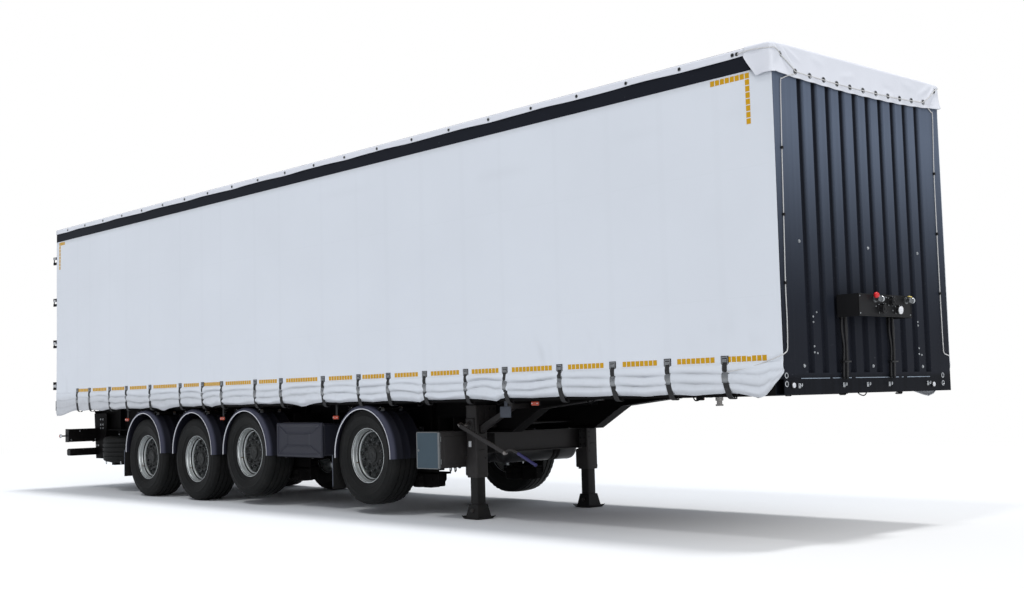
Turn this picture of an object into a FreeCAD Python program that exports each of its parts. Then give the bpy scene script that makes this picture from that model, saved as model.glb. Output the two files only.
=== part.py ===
"""Four-axle curtain-sided semi trailer, parked on its landing legs.

Frame: +X towards the front wall, +Y to the trailer's left, +Z up, in millimetres.
The origin is on the ground, under the centre of the trailer's outline.
Places along the trailer are distances behind the front wall's outer face: at(d) gives X.
"""
import FreeCAD, Part
import math
import os

V = FreeCAD.Vector
os.makedirs("parts", exist_ok=True)

# ---------------------------------------------------------------- driving sizes
body_length = 13600.0        # front wall to door face
body_width = 2550.0          # over the curtain buckles
body_height = 4000.0         # ground to roof sheet
deck_top = 1350.0            # ground to the load floor
deck_thickness = 30.0
seat_gap = 0.3               # between curved faces that sit on each other
move_gap = 6.0               # between a door and what stands still beside it

# curtains and what they hang on
buckle_depth = 13.0
curtain_thickness = 8.0
curtain_bottom = 1205.0
cantrail_height = 190.0
cantrail_depth = 70.0
cantrail_wall = 8.0
roof_sheet = 6.0
roof_skirt = 62.0            # how far the roof sheet laps over the cantrail
roof_front_lap = 275.0       # how far it laps down the front wall
roof_corner_lap = 190.0      # length of the corner flap along each side

# outer frame
rail_height = 150.0
rail_flange = 60.0
rail_wall = 6.0
front_sill_height = 130.0
front_sill_depth = 90.0
rear_sill_depth = 110.0
sill_wall = 8.0

# front and rear frames
wall_thickness = 45.0
groove_count = 10
groove_pitch = 197.0
groove_width = 92.0
groove_floor = 58.0
groove_depth = 32.0
groove_end = 40.0            # from a groove's ends to the wall's edges
front_post_width = 150.0
rear_post_width = 120.0
post_depth = 90.0
header_height = 200.0
header_drop = 30.0           # header's top below the frame's top

# chassis
beam_spacing = 1200.0        # between the two webs
beam_bottom = 880.0
gooseneck_bottom = 1200.0
gooseneck_end = 2500.0       # where the flat front part of the beams ends
gooseneck_drop = 3380.0      # where its gently sloping part ends
gooseneck_slope = 88.0       # how far that part comes down
beam_drop_end = 3800.0       # where the full depth begins
flange_width = 150.0
flange_thickness = 14.0
web_thickness = 8.0
beam_rear_slope = 185.0
cross_count = 20
cross_end = 300.0            # first cross member behind the front wall
cross_height = 86.0
cross_width = 50.0
cross_wall = 5.0
cross_drop = 10.0            # top of a cross member below the deck's underside

# coupling
king_pin_place = 1650.0
king_pin_land_radius = 36.5
king_pin_neck_radius = 25.4
king_pin_head_radius = 35.7
king_pin_land = 35.0
king_pin_neck = 33.0
king_pin_head = 16.0
king_pin_shank_radius = 38.0 # inside the skid plate, wider than the land below it
king_pin_flange_radius = 95.0
king_pin_flange = 14.0
skid_front = 700.0
skid_rear = 2500.0
skid_thickness = 10.0
skid_ramp = 120.0            # length of the bent-up front edge
skid_rise = 30.0
skid_gap = 5.0               # from the bent-up edge to the beams' flanges

# wheels and axles
track = 2050.0
tyre_radius = 536.0
tyre_width = 385.0
tread_width = 310.0
tyre_shoulder_radius = 500.0
bead_radius = 286.0
rim_width = 298.0
bead_inset = 11.0            # tyre's bead inside the rim's flange
rim_flange_radius = 298.5
rim_wall = 9.0
rim_lip = 9.0                # width of the flange
rim_seat = 55.0              # from the rim's edge to the inner end of the bead seat
rim_slope = 90.0             # and to the start of the well
rim_well = 24.0              # depth of the well
rim_step = 3.0               # how much thicker the wall is at the seats
rim_lip_inside = 16.0
rim_seat_inside = 60.0
rim_slope_inside = 95.0
disc_thickness = 14.0
disc_inset = 12.0            # disc's inner face inside the wheel's middle
disc_weld = 2.0
hub_radius = 112.0
hub_length = 40.0
hub_cone = 32.0              # how much the hub's cone narrows
hub_cone_end = 88.0
hub_cap_end = 100.0
hub_bore = 60.0
drum_radius = 206.0
drum_length = 170.0
spindle_radius = 42.0
axle_section = 120.0
axle_length = 1560.0
spindle_reach = 55.0         # spindle's end outside the wheel's middle
lift = 104.0                 # height of the two raised axles' tyres above the ground
# axle places behind the front wall, and whether the axle is raised
axles = [("1", 5600.0, True), ("2", 8050.0, True), ("3", 9360.0, False), ("4", 10720.0, False)]

# suspension
pivot_height = 500.0
pivot_reach = 500.0          # axle to pivot, forwards
tail_reach = 380.0           # axle to air spring, rearwards
arm_width = 100.0
arm_thickness = 50.0
pivot_pin_radius = 20.0
hanger_plate = 12.0
hanger_length = 150.0
air_spring_radius = 148.0

# mudguards
guard_radius = 548.0
guard_thickness = 6.0
guard_outer = 1250.0
guard_width = 392.0
guard_lip = 28.0
guard_skirt = 30.0
guard_rise = 94.0            # of the guard's centre above a wheel that is on the ground
stay_width = 60.0
stay_thickness = 14.0
stay_sink = 4.0              # into the guard, and its end short of the rail
guard_side = 8.0             # thickness of the outer lip
flap_bottom = 262.0
flap_thickness = 8.0

# landing gear
leg_place = 4185.0
leg_spacing = 1620.0
leg_section = 160.0
leg_bottom = 420.0
leg_top = 1160.0
foot_section = 112.0
foot_top = 150.0
foot_block = 190.0
foot_tube_drop = 200.0       # top of the inner tube below the top of the housing
shoe_length = 270.0
shoe_thickness = 14.0
brace_bottom = 660.0
brace_top = 878.0
brace_depth = 60.0
brace_wall = 8.0

# doors
door_thickness = 40.0
door_side_inset = 32.0       # hinge line to door edge
door_middle_gap = 12.0
door_foot_gap = 8.0          # above the deck
door_head_gap = 100.0        # below the header's top
hinge_offset = 52.0          # hinge line behind the door face
hinge_inset = 17.0           # hinge line inside the trailer's width
hinge_radius = 14.0
hinge_pin_radius = 8.0
knuckle_height = 40.0
hinge_count = 4
hinge_low = 202.0            # lowest hinge above the door's lower edge
hinge_high = 394.0           # highest hinge below the door's upper edge
rod_radius = 13.0
rod_reach = 30.0
rod_end = 30.0               # from a rod's ends to the door's edges
rod_places = [0.30, 0.78]    # across the door, as shares of its width from the hinge

# front connections
panel_depth = 206.0
panel_left = 300.0
panel_right = 500.0
panel_bottom = 1820.0
panel_height = 185.0
coupling_reach = 60.0
coupling_places = [-255.0, 215.0]
# round sockets: sideways place, height above the panel's lower edge, radius
sockets = [(-175.0, 66.0, 40.0), (-30.0, 128.0, 36.0), (75.0, 62.0, 40.0)]
socket_reach = 38.0
socket_cap = 10.0
socket_cap_step = 6.0        # how much smaller the cap is
coupling_drop = 40.0         # body's centre line below the panel's top
coupling_body_radius = 24.0
coupling_body_end = 18.0     # body's end behind the head's front
coupling_head_radius = 26.0
coupling_head_back = 32.0
coupling_head_low = 62.0     # head's foot below the panel's top
coupling_head_high = 20.0    # its crown above it

# roof and curtain fittings
bow_count = 18
bow_width = 50.0
bow_height = 30.0
stanchion_width = 90.0
stanchion_places = [2750.0, 5450.0, 8150.0, 10850.0]
buckle_width = 46.0
buckle_bottom = 1300.0
buckle_height = 180.0
strap_thickness = 3.0
hook_reach = 30.0
buckle_first = 570.0         # first buckle behind the front wall
buckle_last = 800.0          # last buckle in front of the doors
# how far each strap was slid rearwards from its even place, front to rear
buckle_slips = [0.0, -35.0, -45.0, -20.0, 85.0, 20.0, 30.0, 5.0, -100.0, -55.0,
                175.0, 110.0, 265.0, 100.0, 50.0, 255.0, 320.0, 205.0, 225.0, 0.0]

# door fittings
hinge_strap = 170.0
strap_plate = 12.0
knuckle_gap = 1.0
guide_width = 60.0
guide_height = 45.0
guide_count = 5
guide_low = 62.0             # lowest guide above the door's lower edge
guide_high = 94.0            # highest guide below the door's upper edge
handle_height = 1700.0
handle_width = 32.0
handle_length = 330.0
handle_thickness = 10.0

# suspension fittings
arm_seat = 10.0
chamber_radius = 78.0
chamber_length = 170.0
chamber_place = 330.0
chamber_overlap = 2.0        # how far a chamber sinks into the axle
eye_wall = 24.0              # of a trailing arm's eye around its pin
seat_half = 75.0             # half length of the axle's seat
pad_half = 90.0              # half length of the air spring's pad
pad_thickness = 12.0
pad_rise = 24.0              # pad's top above the arm's end
neck_rear = 30.0             # the pad's neck behind and in front of its middle
neck_front = 50.0
hanger_gap = 2.0             # from a hanger's plates to the arm
hanger_tip = 42.0            # plates' half width, and their reach, below the pin
hanger_back = 44.0           # back plate in front of the pin
hanger_back_inset = 8.0
hanger_back_height = 110.0

# landing gear fittings
stay_end = 3600.0            # where the stay reaches the main beam
stay_height = 1120.0         # underside of its upper end
stay_bar = 50.0
stay_inset = 25.0            # its inner face inside the leg's centre line
stay_root = 70.0             # its depth at the leg
stay_foot = 60.0             # length of its foot along the beam
bracket_rise = 40.0          # bracket's underside above the beam's underside
bracket_gap = 30.0           # and above its lower flange
leg_cap = 40.0
shoe_bend = 22.0
foot_share = 0.8             # foot block's width, as a share of its length
shoe_share = 0.85            # sand shoe's width, as a share of its length
gearbox_half = 60.0
gearbox_rise = 70.0
gearbox_depth = 22.0
crank_shaft_radius = 26.0
crank_shaft_length = 60.0
crank_stub_radius = 16.0
crank_stub_start = 40.0
crank_offset = 20.0          # arm's centre line outside the hub's
crank_radii = (14.0, 12.0, 15.0)
crank_joint_radii = (17.0, 15.0, 18.0)
crank_height = 960.0
crank_y = 1020.0
crank_elbow = (3500.0, 690.0)
crank_bend = (3420.0, 720.0)
crank_tip = (3060.0, 580.0)

# boxes and tanks
toolbox_front = 6443.0
toolbox_rear = 7396.0
toolbox_bottom = 600.0
toolbox_top = 998.0
toolbox_outer = 1205.0
toolbox_inner = 780.0
control_front = 4330.0
control_rear = 4700.0
control_bottom = 520.0
control_top = 900.0
control_outer = 1200.0
control_inner = 690.0
bracket_plate = 8.0
bracket_inset = 60.0
toolbox_hang = 110.0         # height of the plates on top of the boxes
control_hang = 140.0
tank_radius = 132.0
tank_height = 655.0
tank_places = [4590.0, 4880.0]
tank_ends = (-120.0, 930.0)
tank_cap = 25.0
tank_cap_step = 40.0         # how much smaller the caps are
tank_strap = 12.0
tank_strap_half = 25.0
tank_strap_sink = 30.0
tank_strap_place = 30.0      # of the straps' middles beside the beam's web

# rear
bumper_face = 150.0          # lamp beam's rear face in front of the door face
lamp_beam_bottom = 718.0
lamp_beam_height = 196.0
lamp_beam_depth = 110.0
lamp_beam_half = 1160.0
under_bar_bottom = 508.0
under_bar_height = 106.0
under_bar_half = 1135.0
bumper_plate = 12.0
bumper_foot = 160.0          # how far the plates reach in front of the bar, low and high
bumper_head = 300.0
bumper_edge = 60.0           # from the plates' corners to the beams above and the bar below
lamp_depth = 55.0
lamp_width = 420.0
lamp_height = 130.0
lamp_end = 40.0              # from the lamp to the beam's end
under_bar_corner = 22.0
plate_front = 20.0           # plates' upper corner behind the beam's rear face
plate_cut = 40.0             # their lower corner in front of it
# position lamps: arm from the beam's end, then the lamp at its tip
tip_arm = (20.0, 50.0)       # along the trailer
tip_arm_heights = (-18.0, 12.0)
tip_arm_reach = 80.0
tip_length = 70.0
tip_heights = (-32.0, 24.0)
tip_gap = 5.0                # inside the trailer's width

# spare wheel
spare_place = 12150.0
spare_y = -575.0
spare_bottom = 424.0
carrier_bar = 60.0
carrier_depth = 36.0
carrier_reach = 575.0
carrier_arm = 420.0          # half length of the cross bar
spare_overlap = 2.0          # of the spare's rim into its tyre
spare_bore = 130.0

# side lamps: place behind the front wall and height
marker_places = [(2870.0, 1150.0), (6136.0, 1035.0), (8630.0, 1035.0), (11270.0, 1030.0)]
marker_length = 105.0
marker_height = 44.0
marker_outer = 1222.0
marker_depth = 26.0
marker_tab = 4.0
marker_tab_half = 20.0

# air lines from the front panel to the sill: their sideways places
line_places = [-440.0, 270.0]
line_stand_off = 30.0
line_radius = 13.0
line_end = 40.0              # lower end below the sill's top
clip_half = 22.0
clip_low = 60.0              # clip's edges below the sill's top
clip_high = 20.0

# ---------------------------------------------------------------- worked-out places
half_width = body_width / 2
half_length = body_length / 2
rear_reach = hinge_offset + hinge_radius
front_reach = panel_depth + coupling_reach
front_x = half_length + (rear_reach - front_reach) / 2
rear_x = front_x - body_length
curtain_outer = half_width - buckle_depth
curtain_inner = curtain_outer - curtain_thickness
deck_bottom = deck_top - deck_thickness
rail_bottom = deck_top - rail_height
rail_inner = curtain_inner - rail_flange
web_y = beam_spacing / 2
wheel_y = track / 2
frame_top = body_height - roof_sheet
cantrail_bottom = frame_top - cantrail_height
sill_bottom = rail_bottom
sill_top = sill_bottom + front_sill_height
front_x_inner = front_x - front_sill_depth
rear_sill_front = rear_x + rear_sill_depth
post_rear = rear_x + door_thickness + move_gap
post_front = post_rear + post_depth
hinge_y = half_width - hinge_inset
hinge_x = rear_x - hinge_offset
door_bottom = deck_top + door_foot_gap
door_top = frame_top - door_head_gap
wheel_z = {name: tyre_radius + (lift if raised else 0.0) for name, place, raised in axles}
cross_top = deck_bottom - cross_drop
cross_bottom = cross_top - cross_height
bead_half = rim_width / 2 - bead_inset


def spread(first, last, count):
    """Evenly spaced values from first to last."""
    return [first + i * (last - first) / (count - 1) for i in range(count)]


hinge_heights = spread(door_bottom + hinge_low, door_top - hinge_high, hinge_count)
guide_heights = spread(door_bottom + guide_low, door_top - guide_high, guide_count)
cross_places = spread(cross_end, body_length - cross_end, cross_count)
even_places = spread(buckle_first, body_length - buckle_last, len(buckle_slips))
buckle_places = [place + slip for place, slip in zip(even_places, buckle_slips)]


def at(distance):
    """X of a place that lies this far behind the front wall."""
    return front_x - distance


# ---------------------------------------------------------------- shape helpers
def block(x0, x1, y0, y1, z0, z1):
    """Box between two corners, in any order."""
    low = V(min(x0, x1), min(y0, y1), min(z0, z1))
    return Part.makeBox(abs(x1 - x0), abs(y1 - y0), abs(z1 - z0), low)


def prism(points, move):
    """Solid made by moving the flat outline along a vector."""
    wire = Part.makePolygon(points + [points[0]])
    return Part.Face(wire).extrude(move)


def side_prism(points, y0, y1):
    """Outline of (x, z) points carried from y0 to y1."""
    return prism([V(x, y0, z) for x, z in points], V(0, y1 - y0, 0))


def plan_prism(points, z0, z1):
    """Outline of (x, y) points carried from z0 to z1."""
    return prism([V(x, y, z0) for x, y in points], V(0, 0, z1 - z0))


def end_prism(points, x0, x1):
    """Outline of (y, z) points carried from x0 to x1."""
    return prism([V(x0, y, z) for y, z in points], V(x1 - x0, 0, 0))


def rod(start, end, radius):
    """Round bar between two points."""
    run = end.sub(start)
    return Part.makeCylinder(radius, run.Length, start, run)


def turned(points, x, y, z):
    """Ring or disc about an axle along Y: (radius, y offset) outline turned about (x, z)."""
    wire = Part.makePolygon([V(x + r, y + d, z) for r, d in points + [points[0]]])
    return Part.Face(wire).revolve(V(x, y, z), V(0, 1, 0), 360)


def mirrored(shape):
    """The same shape on the trailer's other side."""
    return shape.mirror(V(0, 0, 0), V(0, 1, 0))


def both_sides(shapes):
    """The given solids and their mirror images."""
    return list(shapes) + [mirrored(shape) for shape in shapes]


def fused(shapes):
    """One solid out of solids that touch."""
    return shapes[0].fuse(shapes[1:]).removeSplitter()


def save(name, shapes):
    """Writes one node, made of one or more solids."""
    solids = [solid for shape in shapes for solid in shape.Solids]
    whole = solids[0] if len(solids) == 1 else Part.makeCompound(solids)
    if not whole.isValid():
        raise ValueError(name + " is not valid")
    whole.exportStep("parts/" + name + ".step")


# ---------------------------------------------------------------- chassis
def beam_outline(inset):
    """Side outline of a main beam, its lower edge raised by inset."""
    rear = rear_sill_front
    return [
        (front_x_inner, deck_bottom),
        (front_x_inner, gooseneck_bottom + inset),
        (at(gooseneck_end), gooseneck_bottom + inset),
        (at(gooseneck_drop), gooseneck_bottom - gooseneck_slope + inset),
        (at(beam_drop_end), beam_bottom + inset),
        (rear + beam_rear_slope, beam_bottom + inset),
        (rear, deck_bottom - rail_height + inset),
        (rear, deck_bottom),
    ]


def main_beam():
    web = side_prism(beam_outline(0), web_y - web_thickness / 2, web_y + web_thickness / 2)
    solid = side_prism(beam_outline(0), web_y - flange_width / 2, web_y + flange_width / 2)
    upper = beam_outline(flange_thickness)
    upper[0] = (front_x_inner + 1, deck_bottom)
    upper[1] = (front_x_inner + 1, gooseneck_bottom + flange_thickness)
    upper[-2] = (rear_sill_front - 1, deck_bottom - rail_height + flange_thickness)
    upper[-1] = (rear_sill_front - 1, deck_bottom)
    lower_flange = solid.cut(side_prism(upper, web_y - flange_width, web_y + flange_width))
    top_flange = block(front_x_inner, rear_sill_front, web_y - flange_width / 2,
                       web_y + flange_width / 2, cross_top, deck_bottom)
    holes = [block(at(d) - cross_width / 2, at(d) + cross_width / 2, web_y - web_thickness,
                   web_y + web_thickness, cross_bottom, cross_top) for d in cross_places]
    return web.cut(Part.makeCompound(holes)).fuse([lower_flange, top_flange]).removeSplitter()


def cross_member(distance):
    """Channel that passes through both webs and ends in the side rails."""
    x0, x1 = at(distance) - cross_width / 2, at(distance) + cross_width / 2
    t = cross_wall
    outline = [(x0, cross_bottom), (x1, cross_bottom), (x1, cross_bottom + t), (x0 + t, cross_bottom + t),
               (x0 + t, cross_top - t), (x1, cross_top - t), (x1, cross_top), (x0, cross_top)]
    end = curtain_inner - rail_wall
    return side_prism(outline, -end, end)


def side_rail():
    """Channel along the edge of the deck, open towards the middle."""
    a, b, t = rail_inner, curtain_inner, rail_wall
    outline = [(a, rail_bottom), (b, rail_bottom), (b, deck_top), (a, deck_top), (a, deck_top - t),
               (b - t, deck_top - t), (b - t, rail_bottom + t), (a, rail_bottom + t)]
    return end_prism(outline, front_x_inner, rear_sill_front)


def box_beam(x0, x1, y0, y1, z0, z1, wall):
    """Hollow beam that runs across the trailer and is open at its ends."""
    tube = block(x0, x1, y0, y1, z0, z1)
    return tube.cut(block(x0 + wall, x1 - wall, y0 - 1, y1 + 1, z0 + wall, z1 - wall))


def end_sills():
    front = box_beam(front_x_inner, front_x, -curtain_inner, curtain_inner, sill_bottom, sill_top, sill_wall)
    rear = box_beam(rear_x, rear_sill_front, -curtain_inner, curtain_inner, rail_bottom, deck_top, sill_wall)
    return [front, rear]


def deck():
    return [block(rear_sill_front, at(front_sill_depth), -rail_inner, rail_inner, deck_bottom, deck_top)]


# ---------------------------------------------------------------- body
def front_wall():
    """Steel wall with upright grooves on its outer face."""
    half = curtain_inner - front_post_width
    wall = block(front_x - wall_thickness, front_x, -half, half, sill_top, frame_top - header_height)
    grooves = []
    for i in range(groove_count):
        y = (i - (groove_count - 1) / 2) * groove_pitch
        floor_x = front_x - groove_depth
        outline = [(front_x + 1, y - groove_width / 2), (front_x + 1, y + groove_width / 2),
                   (floor_x, y + groove_floor / 2), (floor_x, y - groove_floor / 2)]
        grooves.append(plan_prism(outline, sill_top + groove_end,
                                  frame_top - header_height - groove_end))
    return [wall.cut(Part.makeCompound(grooves))]


def portal(x0, x1, post_width, foot, header_bottom):
    """Two corner posts and the header between them."""
    posts = [block(x0, x1, side * (curtain_inner - post_width), side * curtain_inner, foot, cantrail_bottom)
             for side in (-1, 1)]
    inner = curtain_inner - post_width
    header = block(x0, x1, -inner - 1, inner + 1, header_bottom, frame_top - header_drop)
    shoulders = block(x0, x1, -(curtain_inner - cantrail_depth), curtain_inner - cantrail_depth,
                      header_bottom, frame_top - header_drop)
    return fused(posts + [header, shoulders])


def front_frame():
    return [portal(front_x - post_depth, front_x, front_post_width, sill_top, frame_top - header_height)]


def rear_frame():
    return [portal(post_rear, post_front, rear_post_width, deck_top, frame_top - header_height)]


def cantrail():
    """Top side rail: an open section whose outer face shows above the curtain."""
    a, b, t = curtain_outer - cantrail_depth, curtain_outer, cantrail_wall
    outline = [(b, cantrail_bottom), (b, frame_top), (a, frame_top), (a, frame_top - t),
               (b - t, frame_top - t), (b - t, cantrail_bottom + t), (a, cantrail_bottom + t),
               (a, cantrail_bottom)]
    return end_prism(outline, post_rear, front_x)


def roof_bows():
    """Cross bows that carry the roof sheet between the two cantrails."""
    half = curtain_outer - cantrail_depth
    places = spread(front_x - post_depth, post_front, bow_count + 2)[1:-1]
    return [block(x - bow_width / 2, x + bow_width / 2, -half, half, frame_top - bow_height, frame_top)
            for x in places]


def roof_sheet_solid():
    """Roof sheet with its laps over the sides and down the front wall."""
    t = roof_sheet
    edge = curtain_outer + t
    top = block(post_rear, front_x + t, -edge, edge, frame_top, body_height)
    sides = [block(post_rear, front_x + t, side * curtain_outer, side * edge, body_height - roof_skirt,
                   body_height) for side in (-1, 1)]
    front = block(front_x, front_x + t, -edge, edge, body_height - roof_front_lap, body_height)
    corners = [block(front_x - roof_corner_lap, front_x + t, side * curtain_outer, side * edge,
                     body_height - roof_front_lap, body_height) for side in (-1, 1)]
    return [fused([top, front] + sides + corners)]


def curtain():
    """Side curtain, hanging under the cantrail and over the side rail."""
    return block(post_rear, front_x, curtain_inner, curtain_outer, curtain_bottom, cantrail_bottom)


def curtain_buckles():
    """Each buckle on its strap, which runs down and hooks under the side rail."""
    pieces = []
    for d in buckle_places:
        x0, x1 = at(d) - buckle_width / 2, at(d) + buckle_width / 2
        y = curtain_outer
        body = block(x0, x1, y, y + buckle_depth, buckle_bottom, buckle_bottom + buckle_height)
        strap = block(x0, x1, y, y + strap_thickness, curtain_bottom, buckle_bottom)
        hook = block(x0, x1, curtain_inner - hook_reach, y + strap_thickness,
                     rail_bottom - strap_thickness, rail_bottom)
        drop = block(x0, x1, y, y + strap_thickness, rail_bottom - strap_thickness, curtain_bottom)
        pieces.append(fused([body, strap, drop, hook]))
    return both_sides(pieces)


def stanchions():
    """Upright posts inside the curtains, from the side rails to the cantrails."""
    posts = [block(at(d) - stanchion_width / 2, at(d) + stanchion_width / 2, rail_inner, curtain_inner,
                   deck_top, cantrail_bottom) for d in stanchion_places]
    return both_sides(posts)


# ---------------------------------------------------------------- rear doors
def left_door():
    """Left door leaf with its hinge straps, closed."""
    outer = hinge_y - door_side_inset
    leaf = block(rear_x, rear_x + door_thickness, door_middle_gap / 2, outer, door_bottom, door_top)
    parts = [leaf]
    for z in hinge_heights:
        strap = block(rear_x - strap_plate, rear_x, outer - hinge_strap, hinge_y - hinge_radius / 2,
                      z, z + knuckle_height)
        arm = plan_prism([(rear_x - strap_plate, hinge_y - hinge_radius * 2),
                          (rear_x, hinge_y - hinge_radius / 2),
                          (hinge_x, hinge_y + hinge_radius), (hinge_x - hinge_radius, hinge_y)],
                         z, z + knuckle_height)
        knuckle = Part.makeCylinder(hinge_radius, knuckle_height, V(hinge_x, hinge_y, z))
        parts += [strap, arm, knuckle]
    bores = [Part.makeCylinder(hinge_pin_radius + seat_gap, knuckle_height + 2, V(hinge_x, hinge_y, z - 1))
             for z in hinge_heights]
    return fused(parts).cut(Part.makeCompound(bores))


def left_hinges():
    """Brackets on the rear post with the pins that the left door turns on."""
    pieces = []
    for z in hinge_heights:
        low = z - knuckle_gap - knuckle_height
        high = z + knuckle_height + knuckle_gap
        plates = []
        for z0 in (low, high):
            plates.append(block(hinge_x, post_rear, hinge_y - hinge_radius, curtain_inner, z0,
                                z0 + knuckle_height))
            plates.append(Part.makeCylinder(hinge_radius, knuckle_height, V(hinge_x, hinge_y, z0)))
        pin = Part.makeCylinder(hinge_pin_radius, high - low + knuckle_height, V(hinge_x, hinge_y, low))
        pieces.append(fused(plates + [pin]))
    return pieces


def left_lock_rods():
    """Two lock rods on the left door, each with its guides and one handle."""
    leaf_width = hinge_y - door_side_inset - door_middle_gap / 2
    pieces = []
    for share in rod_places:
        y = hinge_y - door_side_inset - share * leaf_width
        x = rear_x - rod_reach + rod_radius
        bar = rod(V(x, y, door_bottom + rod_end), V(x, y, door_top - rod_end), rod_radius)
        guides = [block(rear_x - rod_reach, rear_x, y - guide_width / 2, y + guide_width / 2, z,
                        z + guide_height)
                  for z in guide_heights]
        handle = block(rear_x - rod_reach, rear_x - rod_reach + handle_thickness, y, y + handle_length,
                       handle_height, handle_height + handle_width)
        pieces.append(fused([bar] + guides + [handle]))
    return pieces


# ---------------------------------------------------------------- coupling
def skid_plate():
    y = web_y + flange_width / 2
    plate = block(at(skid_front), at(skid_rear), -y, y, gooseneck_bottom - skid_thickness, gooseneck_bottom)
    ramp_y = web_y - flange_width / 2 - skid_gap
    ramp = [(at(skid_front), gooseneck_bottom - skid_thickness), (at(skid_front), gooseneck_bottom),
            (at(skid_front) + skid_ramp, gooseneck_bottom + skid_rise + skid_thickness),
            (at(skid_front) + skid_ramp, gooseneck_bottom + skid_rise)]
    hole = Part.makeCylinder(king_pin_shank_radius + seat_gap, skid_thickness * 3,
                             V(at(king_pin_place), 0, gooseneck_bottom - skid_thickness * 2))
    return [fused([plate, side_prism(ramp, -ramp_y, ramp_y)]).cut(hole)]


def king_pin():
    """Standard two-inch pin: upper land, neck and head, on its flange."""
    x, top = at(king_pin_place), gooseneck_bottom - skid_thickness
    flange = Part.makeCylinder(king_pin_flange_radius, king_pin_flange, V(x, 0, top + skid_thickness))
    shank = Part.makeCylinder(king_pin_shank_radius, skid_thickness, V(x, 0, top))
    z = top
    steps = [flange, shank]
    for radius, height in ((king_pin_land_radius, king_pin_land), (king_pin_neck_radius, king_pin_neck),
                           (king_pin_head_radius, king_pin_head)):
        z -= height
        steps.append(Part.makeCylinder(radius, height, V(x, 0, z)))
    return [fused(steps)]


# ---------------------------------------------------------------- wheels
def tyre(x, y, z):
    """Tyre with a flat tread, bevelled shoulders and straight side walls."""
    inner = bead_radius + seat_gap
    half, tread = tyre_width / 2, tread_width / 2
    outline = [(inner, -bead_half), (tyre_shoulder_radius, -half), (tyre_radius, -tread),
               (tyre_radius, tread), (tyre_shoulder_radius, half), (inner, bead_half)]
    return turned(outline, x, y, z)


def rim(x, y, z, side):
    """Rim, disc, hub and brake drum as one turned piece; side is +1 on the left wheels."""
    half = rim_width / 2
    well = bead_radius - rim_well
    flange_inside, seat_inside = rim_flange_radius - rim_wall, bead_radius - rim_wall - rim_step
    barrel = [(rim_flange_radius, -half), (bead_radius, -half + rim_lip), (bead_radius, -half + rim_seat),
              (well, -half + rim_slope), (well, half - rim_slope), (bead_radius, half - rim_seat),
              (bead_radius, half - rim_lip), (rim_flange_radius, half), (flange_inside, half),
              (seat_inside, half - rim_lip_inside), (seat_inside, half - rim_seat_inside),
              (well - rim_wall, half - rim_slope_inside), (well - rim_wall, -half + rim_slope_inside),
              (seat_inside, -half + rim_seat_inside), (seat_inside, -half + rim_lip_inside),
              (flange_inside, -half)]
    disc_edge, disc_outer = well - rim_wall + disc_weld, disc_thickness - disc_inset
    bore = spindle_radius + seat_gap
    core = [(bore, -drum_length), (drum_radius, -drum_length), (drum_radius, -disc_inset),
            (disc_edge, -disc_inset), (disc_edge, disc_outer), (hub_radius, disc_outer),
            (hub_radius, hub_length), (hub_radius - hub_cone, hub_cone_end), (0, hub_cap_end),
            (0, hub_bore), (bore, hub_bore)]
    solids = []
    for outline in (barrel, core):
        solids.append(turned([(r, side * d) for r, d in outline], x, y, z))
    return fused(solids)


def axle(distance, z):
    """Square axle beam with its spindles and brake chambers."""
    x, h = at(distance), axle_section / 2
    end = axle_length / 2
    beam = block(x - h, x + h, -end, end, z - h, z + h)
    tip = wheel_y + spindle_reach
    spindle = rod(V(x, -tip, z), V(x, tip, z), spindle_radius)
    chambers = [rod(V(x - h + chamber_overlap, y, z), V(x - h - chamber_length, y, z), chamber_radius)
                for y in (-chamber_place, chamber_place)]
    return fused([beam, spindle] + chambers)


def arm_centre(x_offset, z):
    """Height of a trailing arm's centre line; it runs from the pivot under the axle."""
    seat = z - axle_section / 2 - arm_seat - arm_thickness / 2
    slope = (seat - pivot_height) / pivot_reach
    return seat - slope * x_offset


def trailing_arm(distance, z):
    """Arm from its pivot eye, under the axle, to the pad of the air spring."""
    x, h = at(distance), arm_thickness / 2
    y0, y1 = web_y - arm_width / 2, web_y + arm_width / 2
    ends = [(pivot_reach, pivot_height), (-tail_reach, arm_centre(-tail_reach, z))]
    bar = side_prism([(x + ends[0][0], ends[0][1] - h), (x + ends[1][0], ends[1][1] - h),
                      (x + ends[1][0], ends[1][1] + h), (x + ends[0][0], ends[0][1] + h)], y0, y1)
    eye = rod(V(x + pivot_reach, y0, pivot_height), V(x + pivot_reach, y1, pivot_height),
              pivot_pin_radius + eye_wall)
    seat = block(x - seat_half, x + seat_half, y0, y1, arm_centre(0, z), z - axle_section / 2)
    pad_z = spring_seat(z)
    pad = block(x - tail_reach - pad_half, x - tail_reach + pad_half, y0, y1, pad_z - pad_thickness, pad_z)
    neck = block(x - tail_reach - neck_rear, x - tail_reach + neck_front, y0, y1, ends[1][1],
                 pad_z - pad_thickness)
    bore = rod(V(x + pivot_reach, y0 - 1, pivot_height), V(x + pivot_reach, y1 + 1, pivot_height),
               pivot_pin_radius + seat_gap)
    return fused([bar, eye, seat, pad, neck]).cut(bore)


def spring_seat(z):
    """Height of the pad that the air spring stands on."""
    return arm_centre(-tail_reach, z) + arm_thickness / 2 + pad_rise


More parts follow.
